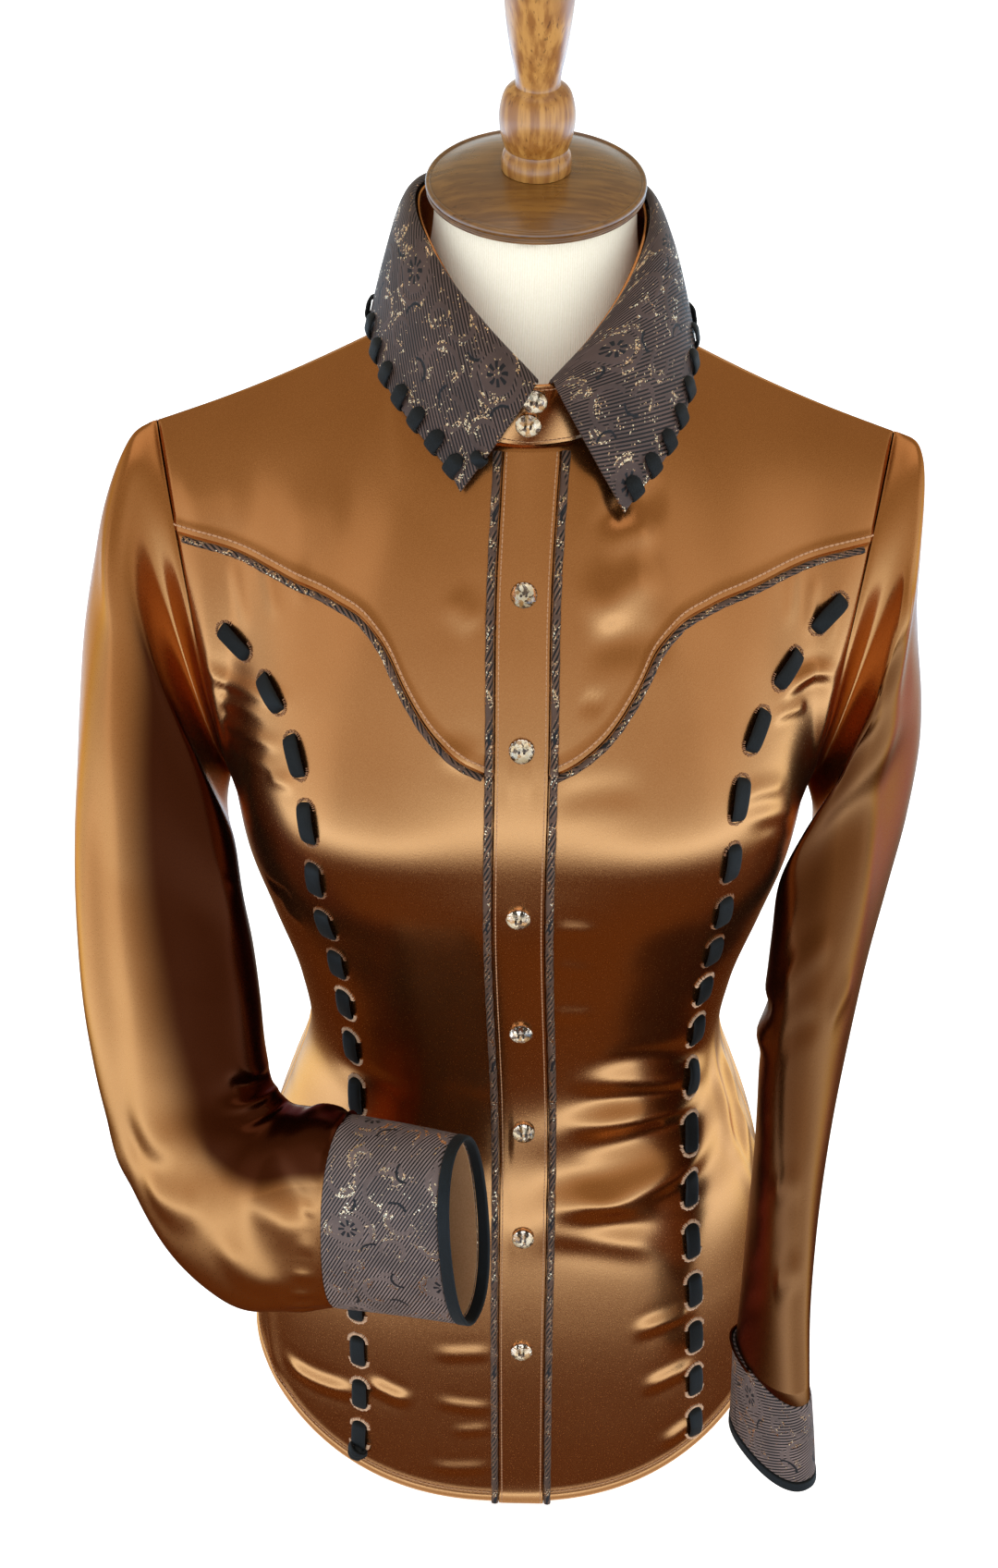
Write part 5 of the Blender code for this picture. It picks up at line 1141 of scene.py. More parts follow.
# Sleeves: their outer and inner edge in the sleeve's flat plane and how far it bulges to either
# side of that plane, in millimetres, a row a section from the sleeve head down to the cuff seam
sleeveRows = {
    "left": (
        (-207, 5, 676, -162.5, -4, 481, 56), (-222, -2, 640, -164, -14, 469, 56),
        (-232, -12, 590, -161, -28, 452, 53), (-239, -28, 535, -155, -45, 432, 48),
        (-243, -45, 475, -148, -60, 408, 43), (-242, -65, 419, -143, -78, 382, 39),
        (-236, -83, 362, -140, -95, 357, 36), (-221, -103, 298, -136, -108, 341, 34),
        (-194, -123, 243, -128, -118, 335, 33), (-160, -136, 213, -118, -127, 339, 32),
        (-128, -143, 211, -106, -136, 346, 30), (-94, -151, 222, -92, -148, 350, 28),
    ),
    "right": (
        (207, 5, 676, 162.5, -4, 481, 57), (211, 2, 628, 166, -8, 469, 56),
        (213, -6, 575, 166, -12, 453, 54), (214, -16, 525, 163, -18, 438, 52),
        (209, -30, 480, 156, -26, 421, 50), (203, -46, 435, 149, -38, 402, 48),
        (195, -62, 388, 143, -54, 374, 46), (187, -78, 340, 140, -73, 332, 44),
        (179, -94, 295, 139, -95, 290, 42), (172, -108, 250, 139, -114, 246, 40),
        (167, -123, 208, 140, -132, 204, 38), (165, -136, 170, 141, -147, 166, 38),
    ),
}
cuffRows = {
    "left": (
        (-94, -151, 222, -92, -148, 350, 28), (-56, -164, 230, -60, -163, 356, 27),
        (-17, -178, 237, -27, -178, 361, 25),
    ),
    "right": (
        (165, -136, 170, 141, -147, 166, 38), (169, -137, 137, 142, -150, 134, 38),
        (172, -138, 105, 143, -153, 102, 38),
    ),
}
# Large folds: place down the sleeve (0 to 1) and round it in degrees (90 is the front), length in
# percent of the sleeve, width in degrees, slant, rise
sleeveFolds = {
    "left": (
        (0.42, 38, 40, 22, 0, 0.004), (0.66, 150, 3.6, 60, 2, -0.003), (0.75, 120, 4.0, 50, 3, -0.0018),
        (0.87, 60, 4.0, 60, -4, 0.0018),
    ),
    "right": (
        (0.33, 40, 4.0, 60, 5, 0.0022), (0.41, 60, 4.0, 60, 6, -0.002), (0.55, 100, 30, 26, 0, 0.0024),
        (0.3, 250, 3.6, 60, 4, 0.003),
    ),
}
# Creases: degrees round and millimetres down, from and to, then bow, half width and rise in millimetres
sleeveCreases = {
    "left": (
        # the long soft crease down its outer front, and the flat side that turns to the body
        (54, 30, 76, 170, 4, 17, 3.4), (76, 140, 96, 260, 2, 16, 3.4), (96, 235, 80, 345, -2, 15, 2.8),
        (110, 60, 126, 215, 0, 20, -4), (124, 195, 124, 300, 0, 19, -3.2),
        # the elbow
        (58, 300, 96, 330, 4, 11, -1.8), (62, 325, 104, 352, 4, 11, 2.2),
        (150, 285, 215, 300, 4, 7.5, -3), (140, 305, 220, 322, 4, 7.5, 3.2),
        (150, 330, 215, 345, 3, 7, -2.2), (10, 300, 40, 320, 2, 9, 1.6), (250, 280, 330, 270, 4, 9, 2),
        (240, 250, 310, 236, 3, 8, 1.4),
        # folds that meet above the cuff
        (96, 372, 66, 405, 1, 9, 2), (128, 372, 104, 418, 2, 9, 2), (150, 380, 122, 420, 2, 8, -1.4),
        (200, 385, 235, 425, 1, 7, 1.8),
        # gathers into the cuff
        (24, 440, 28, 405, 0, 3.4, 1.4), (42, 440, 46, 408, 0, 3.4, 1.6),
        (60, 440, 62, 410, 0, 3.2, 1.4), (78, 442, 80, 412, 0, 3.4, 1.7),
        (97, 444, 100, 414, 0, 3.2, 1.4), (116, 446, 122, 412, 0, 3.4, 1.6),
        (136, 448, 142, 416, 0, 3.4, 1.4), (158, 450, 162, 418, 0, 3.6, 1.6),
        (184, 450, 186, 420, 0, 3.4, 1.4), (212, 450, 212, 416, 0, 3.6, 1.6),
        (250, 446, 252, 412, 0, 4, 1.4), (300, 442, 298, 408, 0, 4, 1.4),
    ),
    "right": (
        (50, 50, 38, 220, 3, 17, 2.6), (96, 70, 84, 230, 2, 20, -3),
        # folds below the shoulder
        (120, 34, 56, 66, 4, 10, 2), (120, 58, 56, 88, 4, 9, -1.6), (126, 82, 62, 106, 3, 9, 1.8),
        # the elbow
        (128, 232, 76, 206, 4, 9, 1.8), (124, 262, 84, 246, 3, 8.5, -1.2),
        (150, 240, 215, 236, 4, 7.5, -2.6), (145, 258, 215, 256, 4, 7.5, 2.6),
        (70, 250, 36, 232, 2, 9, 1), (300, 240, 340, 226, 3, 9, 1.6), (146, 348, 96, 336, 2, 9, 1),
        (150, 404, 96, 388, 3, 9.5, 1.3),
        # gathers into the cuff
        (30, 500, 32, 462, 0, 4, 1.5), (62, 500, 62, 464, 0, 3.8, 1.6), (88, 500, 92, 460, 0, 3.8, 1.8),
        (116, 500, 120, 462, 0, 3.6, 1.6), (146, 500, 148, 462, 0, 3.8, 1.6),
        (190, 500, 188, 464, 0, 4, 1.6), (232, 500, 232, 462, 0, 4, 1.4),
        (300, 500, 298, 462, 0, 4.2, 1.4),
    ),
}
armCut = {
    "power": 2.3,
    "gap": 0.0003,
    "standOff": 0.0006,
    "frontSteps": 66,
    "rearSteps": 60,
    "rows": 170,
    "girth": 0.33,
    "headStep": 0.016,  # metres between the first two sections, and between the last two
    "cuffStep": 0.034,
    # the head leaves the armhole level with the body and fills out over its first sections
    "headTurn": 4.0,
    "headFront": (0.5, 0.74, 0.9, 1.0),
    "headBack": (0.88, 0.94, 0.98, 1.0),
    "tuck": 0.0009,
    "cuffCloth": 0.0016,
    "bindingCloth": 0.0024,
    "bindingWidth": 0.007,
    "facingCloth": 0.001,
    "facingFrom": 0.35,
}
# Places round a sleeve: 0 at its outer edge, 9 at its inner edge, 16 back at the outer edge
frontPlaces = np.linspace(0, 9, armCut["frontSteps"] + 1)[:-1]
rearPlaces = np.linspace(9, 16, armCut["rearSteps"] + 1)[:-1]
ringPlaces = np.concatenate([frontPlaces, rearPlaces])
ringTurn = np.where(ringPlaces <= 9, ringPlaces / 9, 1 + (ringPlaces - 9) / 7) * math.pi


def sectionRings(rows, first=None):
    keys = np.array(rows) * mm
    outer = keys[:, 0:3]
    inner = keys[:, 3:6]
    middle = (outer + inner) / 2
    along = np.gradient(middle, axis=0)
    flat = outer - inner
    front = unit(np.cross(flat, along))
    front *= np.sign(-front[:, 1:2])
    turn = np.broadcast_to(ringTurn, (len(keys), len(ringTurn)))
    bulge = keys[:, 6:7] + 0 * turn
    if first is not None:
        k = np.arange(len(keys))
        front[:, 0] *= ease(k / 3)
        front = unit(front)
        level = (first[:, 2] * 2 - first[:, 2].max() - first[:, 2].min()) / np.ptp(first[:, 2])
        own = np.arccos(signedPower(level, armCut["power"] / 2))
        own = np.where(ringPlaces <= 9, own, 2 * math.pi - own)
        turn = own + (turn - own) * ease(k / armCut["headTurn"])[:, None]
        fuller = [np.interp(k, range(4), armCut[part])[:, None] for part in ("headFront", "headBack")]
        bulge = bulge * np.where(ringPlaces[None] <= 9, *fuller)
    c = signedPower(np.cos(turn), 2 / armCut["power"])
    d = signedPower(np.sin(turn), 2 / armCut["power"])
    rings = middle[:, None] + flat[:, None] / 2 * c[..., None]
    rings = rings + front[:, None] * (bulge * d)[..., None]
    return rings if first is None else np.concatenate([first[None], rings])


def ringsAt(keys, places):
    flat = keys.reshape(len(keys), -1)
    return smooth(places, np.arange(len(keys)), flat).reshape(len(places), -1, 3)


def ringNormals(rings):
    roundIt = np.roll(rings, -1, axis=1) - np.roll(rings, 1, axis=1)
    along = np.gradient(rings, axis=0)
    normal = unit(np.cross(roundIt, along))
    out = np.sum(normal * (rings - rings.mean(axis=1, keepdims=True)), axis=-1).mean()
    return normal * np.sign(out)


def armholeRing(side):
    # the armhole's edge from the shoulder tip down the front and up the back, its normals, the
    # way into the hole, and how far down each point is
    seam = seamRow(np.ones(1), side)[0]
    down = np.interp(ringPlaces, (0, 5, 9, 16), (0, seam, 1, 0))
    inFront = ringPlaces <= 9
    edge = np.empty((len(down), 3))
    normal = np.empty((len(down), 3))
    for back in (False, True):
        use = inFront != back
        edge[use], normal[use] = bodyPoint(np.ones(use.sum()), down[use], back, side, False)
    along = np.roll(edge, -1, axis=0) - np.roll(edge, 1, axis=0)
    hole = unit(np.cross(normal, along))
    hole *= np.sign(np.sum(hole[:, 0]) * side)
    return edge, normal, hole, down


def rimRound(outer, normals, thick):
    # rounds a sheet's first and last row; gives the points and the wall
    radius = thick / 2
    near = np.minimum(runLength(outer, 1), leftBelow(outer))
    drop = radius * (1 - np.sqrt(1 - np.clip(1 - near / radius, 0, 1) ** 2))
    return outer - normals * drop[..., None], np.maximum(thick - 2 * drop, 0.0002)


def sleeveShape(word, side):
    cuffKeys = sectionRings(cuffRows[word])
    axis = unit(np.cross(cuffKeys[0][20] - cuffKeys[0][0], cuffKeys[0][66] - cuffKeys[0][0]))
    axis *= np.sign(np.dot(axis, cuffKeys[1][0] - cuffKeys[0][0]))
    edge, edgeNormal, hole, down = armholeRing(side)
    turnedBack = ease(down * 1.6 - 0.3)[:, None]
    start = edge + hole * armCut["gap"] * 1.6 + edgeNormal * armCut["standOff"] * turnedBack
    keys = sectionRings(sleeveRows[word], start)
    last = len(keys) - 1
    head = edgeSteps / armCut["headStep"]
    tail = last - edgeSteps[::-1] / armCut["cuffStep"]
    places = np.concatenate([head, np.linspace(head[-1], tail[0], armCut["rows"])[1:-1], tail])
    rings = ringsAt(keys, places)
    normals = ringNormals(rings)
    share = (places / last)[:, None]
    turn = ringPlaces[None] / 16 * 360
    rise = np.zeros(rings.shape[:2])
    for at, around, length, width, slant, high in sleeveFolds[word]:
        away = (turn - around + 180) % 360 - 180
        over = (share - at) * 100 - slant * away / 90
        rise += high * np.exp(-((over / length) ** 2) - (away / width) ** 2)
    rise *= ease(share * 6) * ease((1 - share) * 8)
    girth = armCut["girth"]
    degree = girth / 360 / mm
    rows = [(a * degree, b, c * degree, d, *rest) for a, b, c, d, *rest in sleeveCreases[word]]
    distance = runLength(rings.mean(axis=1))[:, None]
    creases = creaseRise(turn / 360 * girth, distance, rows, girth)
    rise += creases * ease(share * 14) * ease((1 - share) * 22)
    rings = rings + normals * rise[..., None]
    rings[-1] = cuffKeys[0] - axis * armCut["gap"]
    normals = ringNormals(rings)
    # it turns in at the armhole and at the cuff
    fromHead = runLength(rings, 0)
    tuck = armCut["tuck"] * (bell(fromHead / 0.0016) + bell((fromHead[-1:] - fromHead) / 0.0016))
    return rings - normals * tuck[..., None], normals, cuffKeys


def cuffBand(keys, length, first, last, rows, lift):
    # part of a cuff between two shares of its length, with close rows at both edges
    steps = np.concatenate([edgeSteps / length, edgeSteps[-1] / length + np.linspace(0, 1, rows)[1:]])
    steps = steps / (1 + edgeSteps[-1] / length)
    places = first + (last - first) * (steps + (1 - steps[::-1])) / 2
    band = ringsAt(keys, places * 2)
    way = ringNormals(band)
    return (band + way * lift).swapaxes(0, 1), way.swapaxes(0, 1)


for side, word in ((-1, "left"), (1, "right")):
    rings, normals, cuffKeys = sleeveShape(word, side)
    sheetPiece(f"sleeve_{word}_tube", rings.swapaxes(0, 1), normals.swapaxes(0, 1), bodyCut["wall"],
               sleeveSatin[word], [f"sleeve_{word}"], "hung",
               [f"yoke_{word}", f"front_{word}_panel", "back_panel"], loop=True)

    length = np.linalg.norm(cuffKeys[-1].mean(axis=0) - cuffKeys[0].mean(axis=0))
    end = 1 - armCut["bindingWidth"] / length
    gap = armCut["gap"] / length
    cloth, binding = armCut["cuffCloth"], armCut["bindingCloth"]
    outer, way = cuffBand(cuffKeys, length, 0, end - gap, 34, 0)
    shaped, wall = rimRound(outer, way, cloth)
    sheetPiece(f"cuff_{word}_band", shaped, way, wall, brocadeCuff, [f"cuff_{word}"], "stretched",
               [f"sleeve_{word}_tube"], [f"cuff_{word}_edge"], True, outer)
    outer, way = cuffBand(cuffKeys, length, end, 1, 10, (binding - cloth) / 2)
    shaped, wall = rimRound(outer, way, binding)
    clothShell(f"cuff_{word}_edge", shaped, way, wall, bindingTape,
               [f"cuff_binding_{word}"], clothUv(np.concatenate([outer, outer[:1]])), True)
    if word == "left":
        outer, way = cuffBand(cuffKeys, length, armCut["facingFrom"], end - gap, 26, -cloth - armCut["gap"])
        sheetPiece("cuff_left_inside", outer, way, armCut["facingCloth"], facingSatin, ["cuff_facing_left"],
                   "folded", ["cuff_left_band"], loop=True)
print("sleeves and cuffs made")


# The dress form: neck top, wooden cap, finial and foot
formCut = {
    "gapShoulder": 0.0022,
    "gap": 0.0075,
    "neckTop": (0.0035, 0.0095, 0.8072),
    "neckRadius": 0.05,
    "tilt": 13,
    "bottom": 0.088,
    "armSwell": 0.008,
    "capRadius": 0.0545,
    "capThick": 0.0065,
    "capRise": 0.0065,
    "footRadius": 0.092,
    "footThick": 0.012,
    "columnRadius": 0.016,
}


def makeForm(cut):
    share = bodyCut["neckShare"]
    u = np.concatenate([np.linspace(0, share, 17)[:-1], np.linspace(share, 1, 25)])
    upper = np.linspace(0, 1, 15)
    levels = np.concatenate([np.linspace(0.48, 0.22, 22), np.linspace(0.2, cut["bottom"], 6)])
    verts = []
    uvs = []
    faces = []
    base = 0
    columns = {}
    for side in (-1, 1):
        for back in (False, True):
            low = hemHeight(u, back)[:, None]
            below = 1 + (bodyCut["bustRow"] - levels[None]) / (bodyCut["bustRow"] - low)
            s = np.concatenate([np.broadcast_to(upper, (len(u), len(upper))), below], axis=1)
            point, normal = bodyPoint(u[:, None], s, back, side, False)
            start = np.where(u >= share, 1, 2)[:, None] * cut["gapShoulder"]
            inset = start + (cut["gap"] - start) * ease(s / 0.45)
            columns[side, back] = point - normal * inset[..., None]
        front = columns[side, False]
        rear = columns[side, True]
        arm = (front[-1] + rear[-1]) / 2
        arm[: len(upper), 0] += side * np.sin(upper * math.pi) ** 2 * cut["armSwell"]
        for grid in (front, rear, np.array([front[-1], arm, rear[-1]])):
            quads = gridFaces(*grid.shape[:2]) + base
            verts.append(grid.reshape(-1, 3))
            uvs.append(clothUv(grid).reshape(-1, 2))
            faces += quads.tolist()
            base += grid.shape[0] * grid.shape[1]
    k = 16
    loop = [columns[1, False][i, 0] for i in range(k + 1)]
    loop += [columns[1, True][i, 0] for i in range(k - 1, -1, -1)]
    loop += [columns[-1, True][i, 0] for i in range(1, k + 1)]
    loop += [columns[-1, False][i, 0] for i in range(k - 1, -1, -1)]
    foot = np.array(loop)
    turn = np.arange(len(foot)) / (len(foot) - 1) * 2 * math.pi - math.pi / 2
    tilt = math.radians(cut["tilt"])
    flat = np.stack([np.cos(turn), np.sin(turn) * math.cos(tilt), np.sin(turn) * math.sin(tilt)], -1)
    top = np.array(cut["neckTop"]) + flat * cut["neckRadius"]
    rise = np.linspace(0, 1, 25)
    quick = 1 - (1 - rise) ** 2.2
    neck = foot[:, None] + (top - foot)[:, None] * np.stack([quick, quick, rise], -1)[None]
    verts.append(neck.reshape(-1, 3))
    ring = np.broadcast_to((turn * cut["neckRadius"])[:, None], neck.shape[:2])
    uvs.append(np.stack([ring, runLength(neck, 1)], -1).reshape(-1, 2))
    faces += (gridFaces(*neck.shape[:2]) + base).tolist()
    n, m = neck.shape[:2]
    faces.append([base + i * m + m - 1 for i in range(n - 1)])
    piece = makePiece("form_cover", np.concatenate(verts), faces, cover, ["form_torso"],
                      np.concatenate(uvs))
    repair(piece, 2e-4)


def turnedPiece(name, profile, base, tilt, finish, node, steps=96):
    # profile: radius and height from the top of the axis down its outer side
    r, z = np.array(profile).T
    turn = fullTurn(steps)
    x, y = np.cos(turn)[:, None] * r, np.sin(turn)[:, None] * r
    rings = [x, y * math.cos(tilt) - z * math.sin(tilt), y * math.sin(tilt) + z * math.cos(tilt)]
    rings = np.stack(rings, -1) + np.array(base)
    quads = gridFaces(steps, len(z), True)
    n, m = rings.shape[:2]
    faces = quads[:, ::-1].tolist()
    faces.append([i * m for i in range(n)])
    faces.append([i * m + m - 1 for i in range(n)][::-1])
    repair(makePiece(name, rings.reshape(-1, 3), faces, finish, [node], sharp=35))


def finer(profile, count):
    # more points on a smooth curve through a profile
    points = np.array(profile)
    run = runLength(points)
    return smooth(np.linspace(0, run[-1], count), run, points)


# The finial's outline from its top down, in millimetres: radius and height
finialCurve = np.array((
    (0.2, 134), (8, 132.5), (13.5, 127), (15, 119), (16.8, 108), (17.2, 96), (16, 78), (13.5, 60),
    (11.2, 48), (10.8, 44),
)) * mm
finialBulb = np.array((
    (11, 42.8), (15, 40), (18, 32), (18.4, 24), (17.6, 18), (15.8, 11.8),
)) * mm
finialRing = np.array((
    (15, 11.2), (15.2, 9.8), (16.4, 7.8), (17.1, 5), (17.2, 0),
)) * mm


def makeWood(cut):
    tilt = math.radians(cut["tilt"])
    up = np.array([0, -math.sin(tilt), math.cos(tilt)])
    radius, thick, rise = cut["capRadius"], cut["capThick"], cut["capRise"]
    seatRadius = finialRing[-1, 0] + 0.0015
    seatHeight = thick + rise * 0.94
    dome = finer(((seatRadius + 0.0012, seatHeight - 0.0002), (0.03, thick + rise * 0.8),
                  (0.042, thick + rise * 0.47), (radius - 0.0032, thick + 0.0002)), 24)
    rim = finer(((radius - 0.0026, thick - 0.0001), (radius - 0.0016, thick + 0.0006),
                 (radius - 0.0004, thick), (radius, thick - 0.0016), (radius - 0.0004, thick - 0.003),
                 (radius - 0.0009, thick - 0.0034)), 14)
    under = finer(((radius - 0.0008, thick - 0.0038), (radius - 0.0004, 0.0022), (radius - 0.0008, 0.0008),
                   (radius - 0.0022, 0.0)), 10)
    cap = [(0.0002, seatHeight), (seatRadius, seatHeight), *dome, *rim, *under, (0.0002, 0.0)]
    gap = 0.0003
    turnedPiece("neck_cap_turned", cap, np.array(cut["neckTop"]) + up * gap, tilt, capWood, "neck_cap")
    finial = [*finer(finialCurve, 60), *finer(finialBulb, 30), *finer(finialRing, 12), (0.0002, 0.0)]
    turnedPiece("finial_turned", finial, np.array(cut["neckTop"]) + up * (2 * gap + seatHeight), tilt,
                finialWood, "finial")
    top = cut["bottom"] - gap
    column, foot, sole = cut["columnRadius"], cut["footRadius"], cut["footThick"]
    outline = [
        (0.0002, top), (column + 0.01, top),
        *finer(((column + 0.012, top - 0.002), (column + 0.01, top - 0.006), (column, top - 0.012)), 10),
        *finer(((column, sole + 0.01), (column + 0.004, sole + 0.004), (column + 0.012, sole + 0.001)), 10),
        *finer(((foot - 0.008, sole), (foot - 0.001, sole - 0.003), (foot, sole - 0.006), (foot, 0.001)), 16),
        (foot - 0.001, 0.0), (0.0002, 0.0),
    ]
    turnedPiece("foot_turned", outline, (0, 0, 0), 0, finialWood, "form_foot")


makeForm(formCut)
makeWood(formCut)
print("dress form made")


# Collar: from the centre back (0) to the front (1), the fold that is its upper edge, and where
# its outer edge lies over the shirt
collarCut = {
    "rows": np.array((
        (0.0, 0.0, 0.072, 0.806, 0.0, 0.08), (0.08, 0.0135, 0.0708, 0.806, 0.0165, 0.0786),
        (0.25, 0.04, 0.058, 0.807, 0.049, 0.065), (0.5, 0.0605, 0.012, 0.805, 0.077, 0.015),
        (0.62, 0.058, -0.016, 0.797, 0.0775, -0.012), (0.74, 0.046, -0.04, 0.78, 0.0715, -0.035),
        (0.86, 0.028, -0.061, 0.762, 0.059, -0.056), (1.0, 0.004, -0.079, 0.742, 0.039, -0.077),
    )),
    "backRim": 0.7435,
    "twist": 0.009,
    "lift": 0.0084,
    "cloth": 0.0016,
    "steps": 200,
    "leafRows": 30,
    "roll": 0.0021,
    "rollTurn": 150,
    "standSpread": 0.0042,
    "standDrop": 0.0022,
    "standRise": 0.0009,
    "standStart": 0.004,
    "tabLength": 0.115,
    "tabLift": 0.0034,
    "tabRise": 0.0012,
    "tabInset": 0.0026,
}


def collarCurves(t):
    rows = collarCut["rows"]
    a = np.abs(t)
    side = np.where(t < 0, -1.0, 1.0)
    twist = collarCut["twist"] * ease((a - 0.35) / 0.65)
    fold = np.stack([smooth(a, rows[:, 0], rows[:, i]) for i in (1, 2, 3)], -1)
    edge = np.stack([smooth(a, rows[:, 0], rows[:, i]) for i in (4, 5)], -1)
    fold[:, 0] = fold[:, 0] * side + twist
    edge[:, 0] = edge[:, 0] * side + twist
    return fold, edge


def gridNormals(grid, away):
    normal = unit(np.cross(np.gradient(grid, axis=0), np.gradient(grid, axis=1)))
    return normal * np.sign(np.sum(normal * (grid - away)))


def plainSeat():
    u = np.linspace(0, 1, 61)
    s = np.linspace(0, 1, 41)
    quarters = [(back, side) for side in (-1, 1) for back in (False, True)]
    return Seat([bodyPoint(u[:, None], s[None], *quarter, False)[0] for quarter in quarters])


def collarLeaf():
    t = np.linspace(-1, 1, collarCut["steps"] + 1)
    v = np.linspace(0, 1, collarCut["leafRows"])
    v = np.concatenate([v[:-1], 1 - np.array([0.014, 0.006, 0.0])])
    fold, edge = collarCurves(t)
    seat = plainSeat()
    grid = []
    for place, f, e in zip(np.abs(t), fold, edge):
        out = unit(np.array([e[0] * 0.8, e[1], 0.0]))
        spot = np.array(seat.cast((e[0], e[1], 1.2), (0, 0, -1)))
        lying = spot + unit(out * 0.55 + np.array([0, 0, 1.0])) * collarCut["lift"]
        standing = np.array([*e, collarCut["backRim"]])
        rim = standing + (lying - standing) * ease((place - 0.44) / 0.16)
        turnOver = f + out * 0.01 - np.array([0, 0, 0.006])
        leaf = [f * (1 - k) ** 2 + 2 * turnOver * k * (1 - k) + rim * k**2 for k in v]
        # the cloth rolls over at the fold and goes down inside
        way = unit(leaf[1] - leaf[0])
        normal = unit(np.array([*(out[:2] * way[2] * -1), np.dot(way[:2], out[:2])]))
        angles = np.radians(np.linspace(collarCut["rollTurn"], 0, 9)[:-1])
        centre = f - normal * collarCut["roll"]
        rolled = [centre + collarCut["roll"] * (normal * math.cos(a) - way * math.sin(a)) for a in angles]
        grid.append(rolled + leaf)
    grid = np.array(grid)
    normals = unit(np.cross(np.gradient(grid, axis=0), np.gradient(grid, axis=1)))
    middle = normals[len(t) // 2, 20]
    return grid, normals * np.sign(middle[1])


leaf, leafNormals = collarLeaf()
shaped, leafWall = rimRound(leaf, leafNormals, collarCut["cloth"])
sheetPiece("collar_fold", shaped, leafNormals, leafWall, brocadeCollar, ["collar_leaf"], "folded",
           ["form_cover"], ["collar_whip_lace"], False, leaf)


# Flat ribbons with rounded edges, along a path; face points off the side that shows

def ribbonSolid(path, face, width, thick, sides=12):
    ahead = unit(np.gradient(path, axis=0))
    across = unit(np.cross(face, ahead))
    up = np.cross(ahead, across)
    turn = fullTurn(sides)
    c = signedPower(np.cos(turn), 0.62)[None, :, None]
    s = signedPower(np.sin(turn), 0.8)[None, :, None]
    wide = np.broadcast_to(width, len(path))[:, None, None] / 2
    high = np.broadcast_to(thick, len(path))[:, None, None] / 2
    return solidFromRings(path[:, None] + across[:, None] * c * wide + up[:, None] * s * high)


def resample(keys, count):
    # a smooth line through rows of numbers whose first three are a point
    keys = np.array(keys, float)
    run = runLength(keys[:, :3])
    return smooth(np.linspace(0, run[-1], count), run, keys)


whip = {
    "pitch": 0.015,
    "end": 0.011,
    "reach": 0.0108,
    "width": 0.0086,
    "thick": 0.0019,
}


def makeWhips():
    # out through the leaf, over its edge, back under it and along to the next stitch
    rim = leaf[:, -1]
    run = runLength(rim)
    back = runLength(leaf[:, ::-1], 1)
    cloth = collarCut["cloth"]
    high = whip["thick"] / 2 + 0.0002

    def at(stop, inward, lift):
        i = np.interp(stop, run, np.arange(len(run)))
        k = min(int(i), len(run) - 2)
        spots = []
        for col in (k, k + 1):
            row = leaf[col, ::-1]
            spots.append((*onRow(row, leafNormals[col, ::-1], back[col], inward), unit(row[3] - row[0])))
        point, normal, inner = (spots[0][n] + (spots[1][n] - spots[0][n]) * (i - k) for n in range(3))
        point = point - inner * max(-inward, 0)
        return point + normal * lift, normal, inner

    def sew(keys, count, share=1.0):
        line = resample(keys, count)
        width = line[:, 6] * whip["width"] * share
        solids.append(ribbonSolid(line[:, :3], unit(line[:, 3:6]), width, whip["thick"]))

    solids = []
    count = int((run[-1] - 2 * whip["end"]) / whip["pitch"]) + 1
    stops = np.linspace(whip["end"], run[-1] - whip["end"], count)
    for n, stop in enumerate(stops):
        following = stops[n + 1] if n + 1 < len(stops) else stop + 0.004
        keys = []
        for inward, lift, wide in (
            (whip["reach"], -0.0006, 0.45), (whip["reach"] - 0.0006, high * 0.6, 0.7),
            (whip["reach"] - 0.0022, high + 0.0004, 0.95), (0.0045, high + 0.0006, 1.0),
            (0.001, high + 0.0002, 1.0),
        ):
            point, normal, _inner = at(stop, inward, lift)
            keys.append((*point, *normal, wide))
        for inward, lift, tip in ((-0.0007, -0.0002, 0.5), (-0.0009, -cloth + 0.0001, -0.5)):
            point, normal, inner = at(stop, inward, lift)
            keys.append((*point, *unit(normal * tip - inner), 1.0))
        for share, inward, lift, wide in (
            (0.0, 0.001, -cloth - high, 1.0), (0.35, 0.004, -cloth - high - 0.0005, 0.85),
            (0.75, 0.0075, -cloth - high - 0.0005, 0.8), (1.0, 0.0098, -cloth - high + 0.0004, 0.6),
        ):
            point, normal, _inner = at(stop + (following - stop) * share, inward, lift)
            keys.append((*point, *(-normal), wide))
        sew(keys, 34)
    # one more stitch over the front edge of the left leaf, next to its point
    edge = leaf[0]
    normal = leafNormals[0]
    fromTip = runLength(edge[::-1])
    j = len(edge) - 1 - int(np.searchsorted(fromTip, 0.0165))
    side = unit(leaf[3, j] - leaf[0, j])
    keys = []
    for inward, lift, face, wide in (
        (0.0062, -0.0006, normal[j], 0.45), (0.0056, high * 0.6, normal[j], 0.7),
        (0.004, high + 0.0004, normal[j], 0.9), (0.0008, high, normal[j], 0.9),
        (-0.0009, -cloth / 2, -side, 0.9), (0.0008, -cloth - high, -normal[j], 0.9),
        (0.006, -cloth - high, -normal[j], 0.8),
    ):
        keys.append((*(edge[j] + side * inward + normal[j] * lift), *face, wide))
    sew(keys, 24, 0.8)
    solidsPiece("collar_whip_lace", solids, laceLeather, ["collar_lace"], 70)


makeWhips()


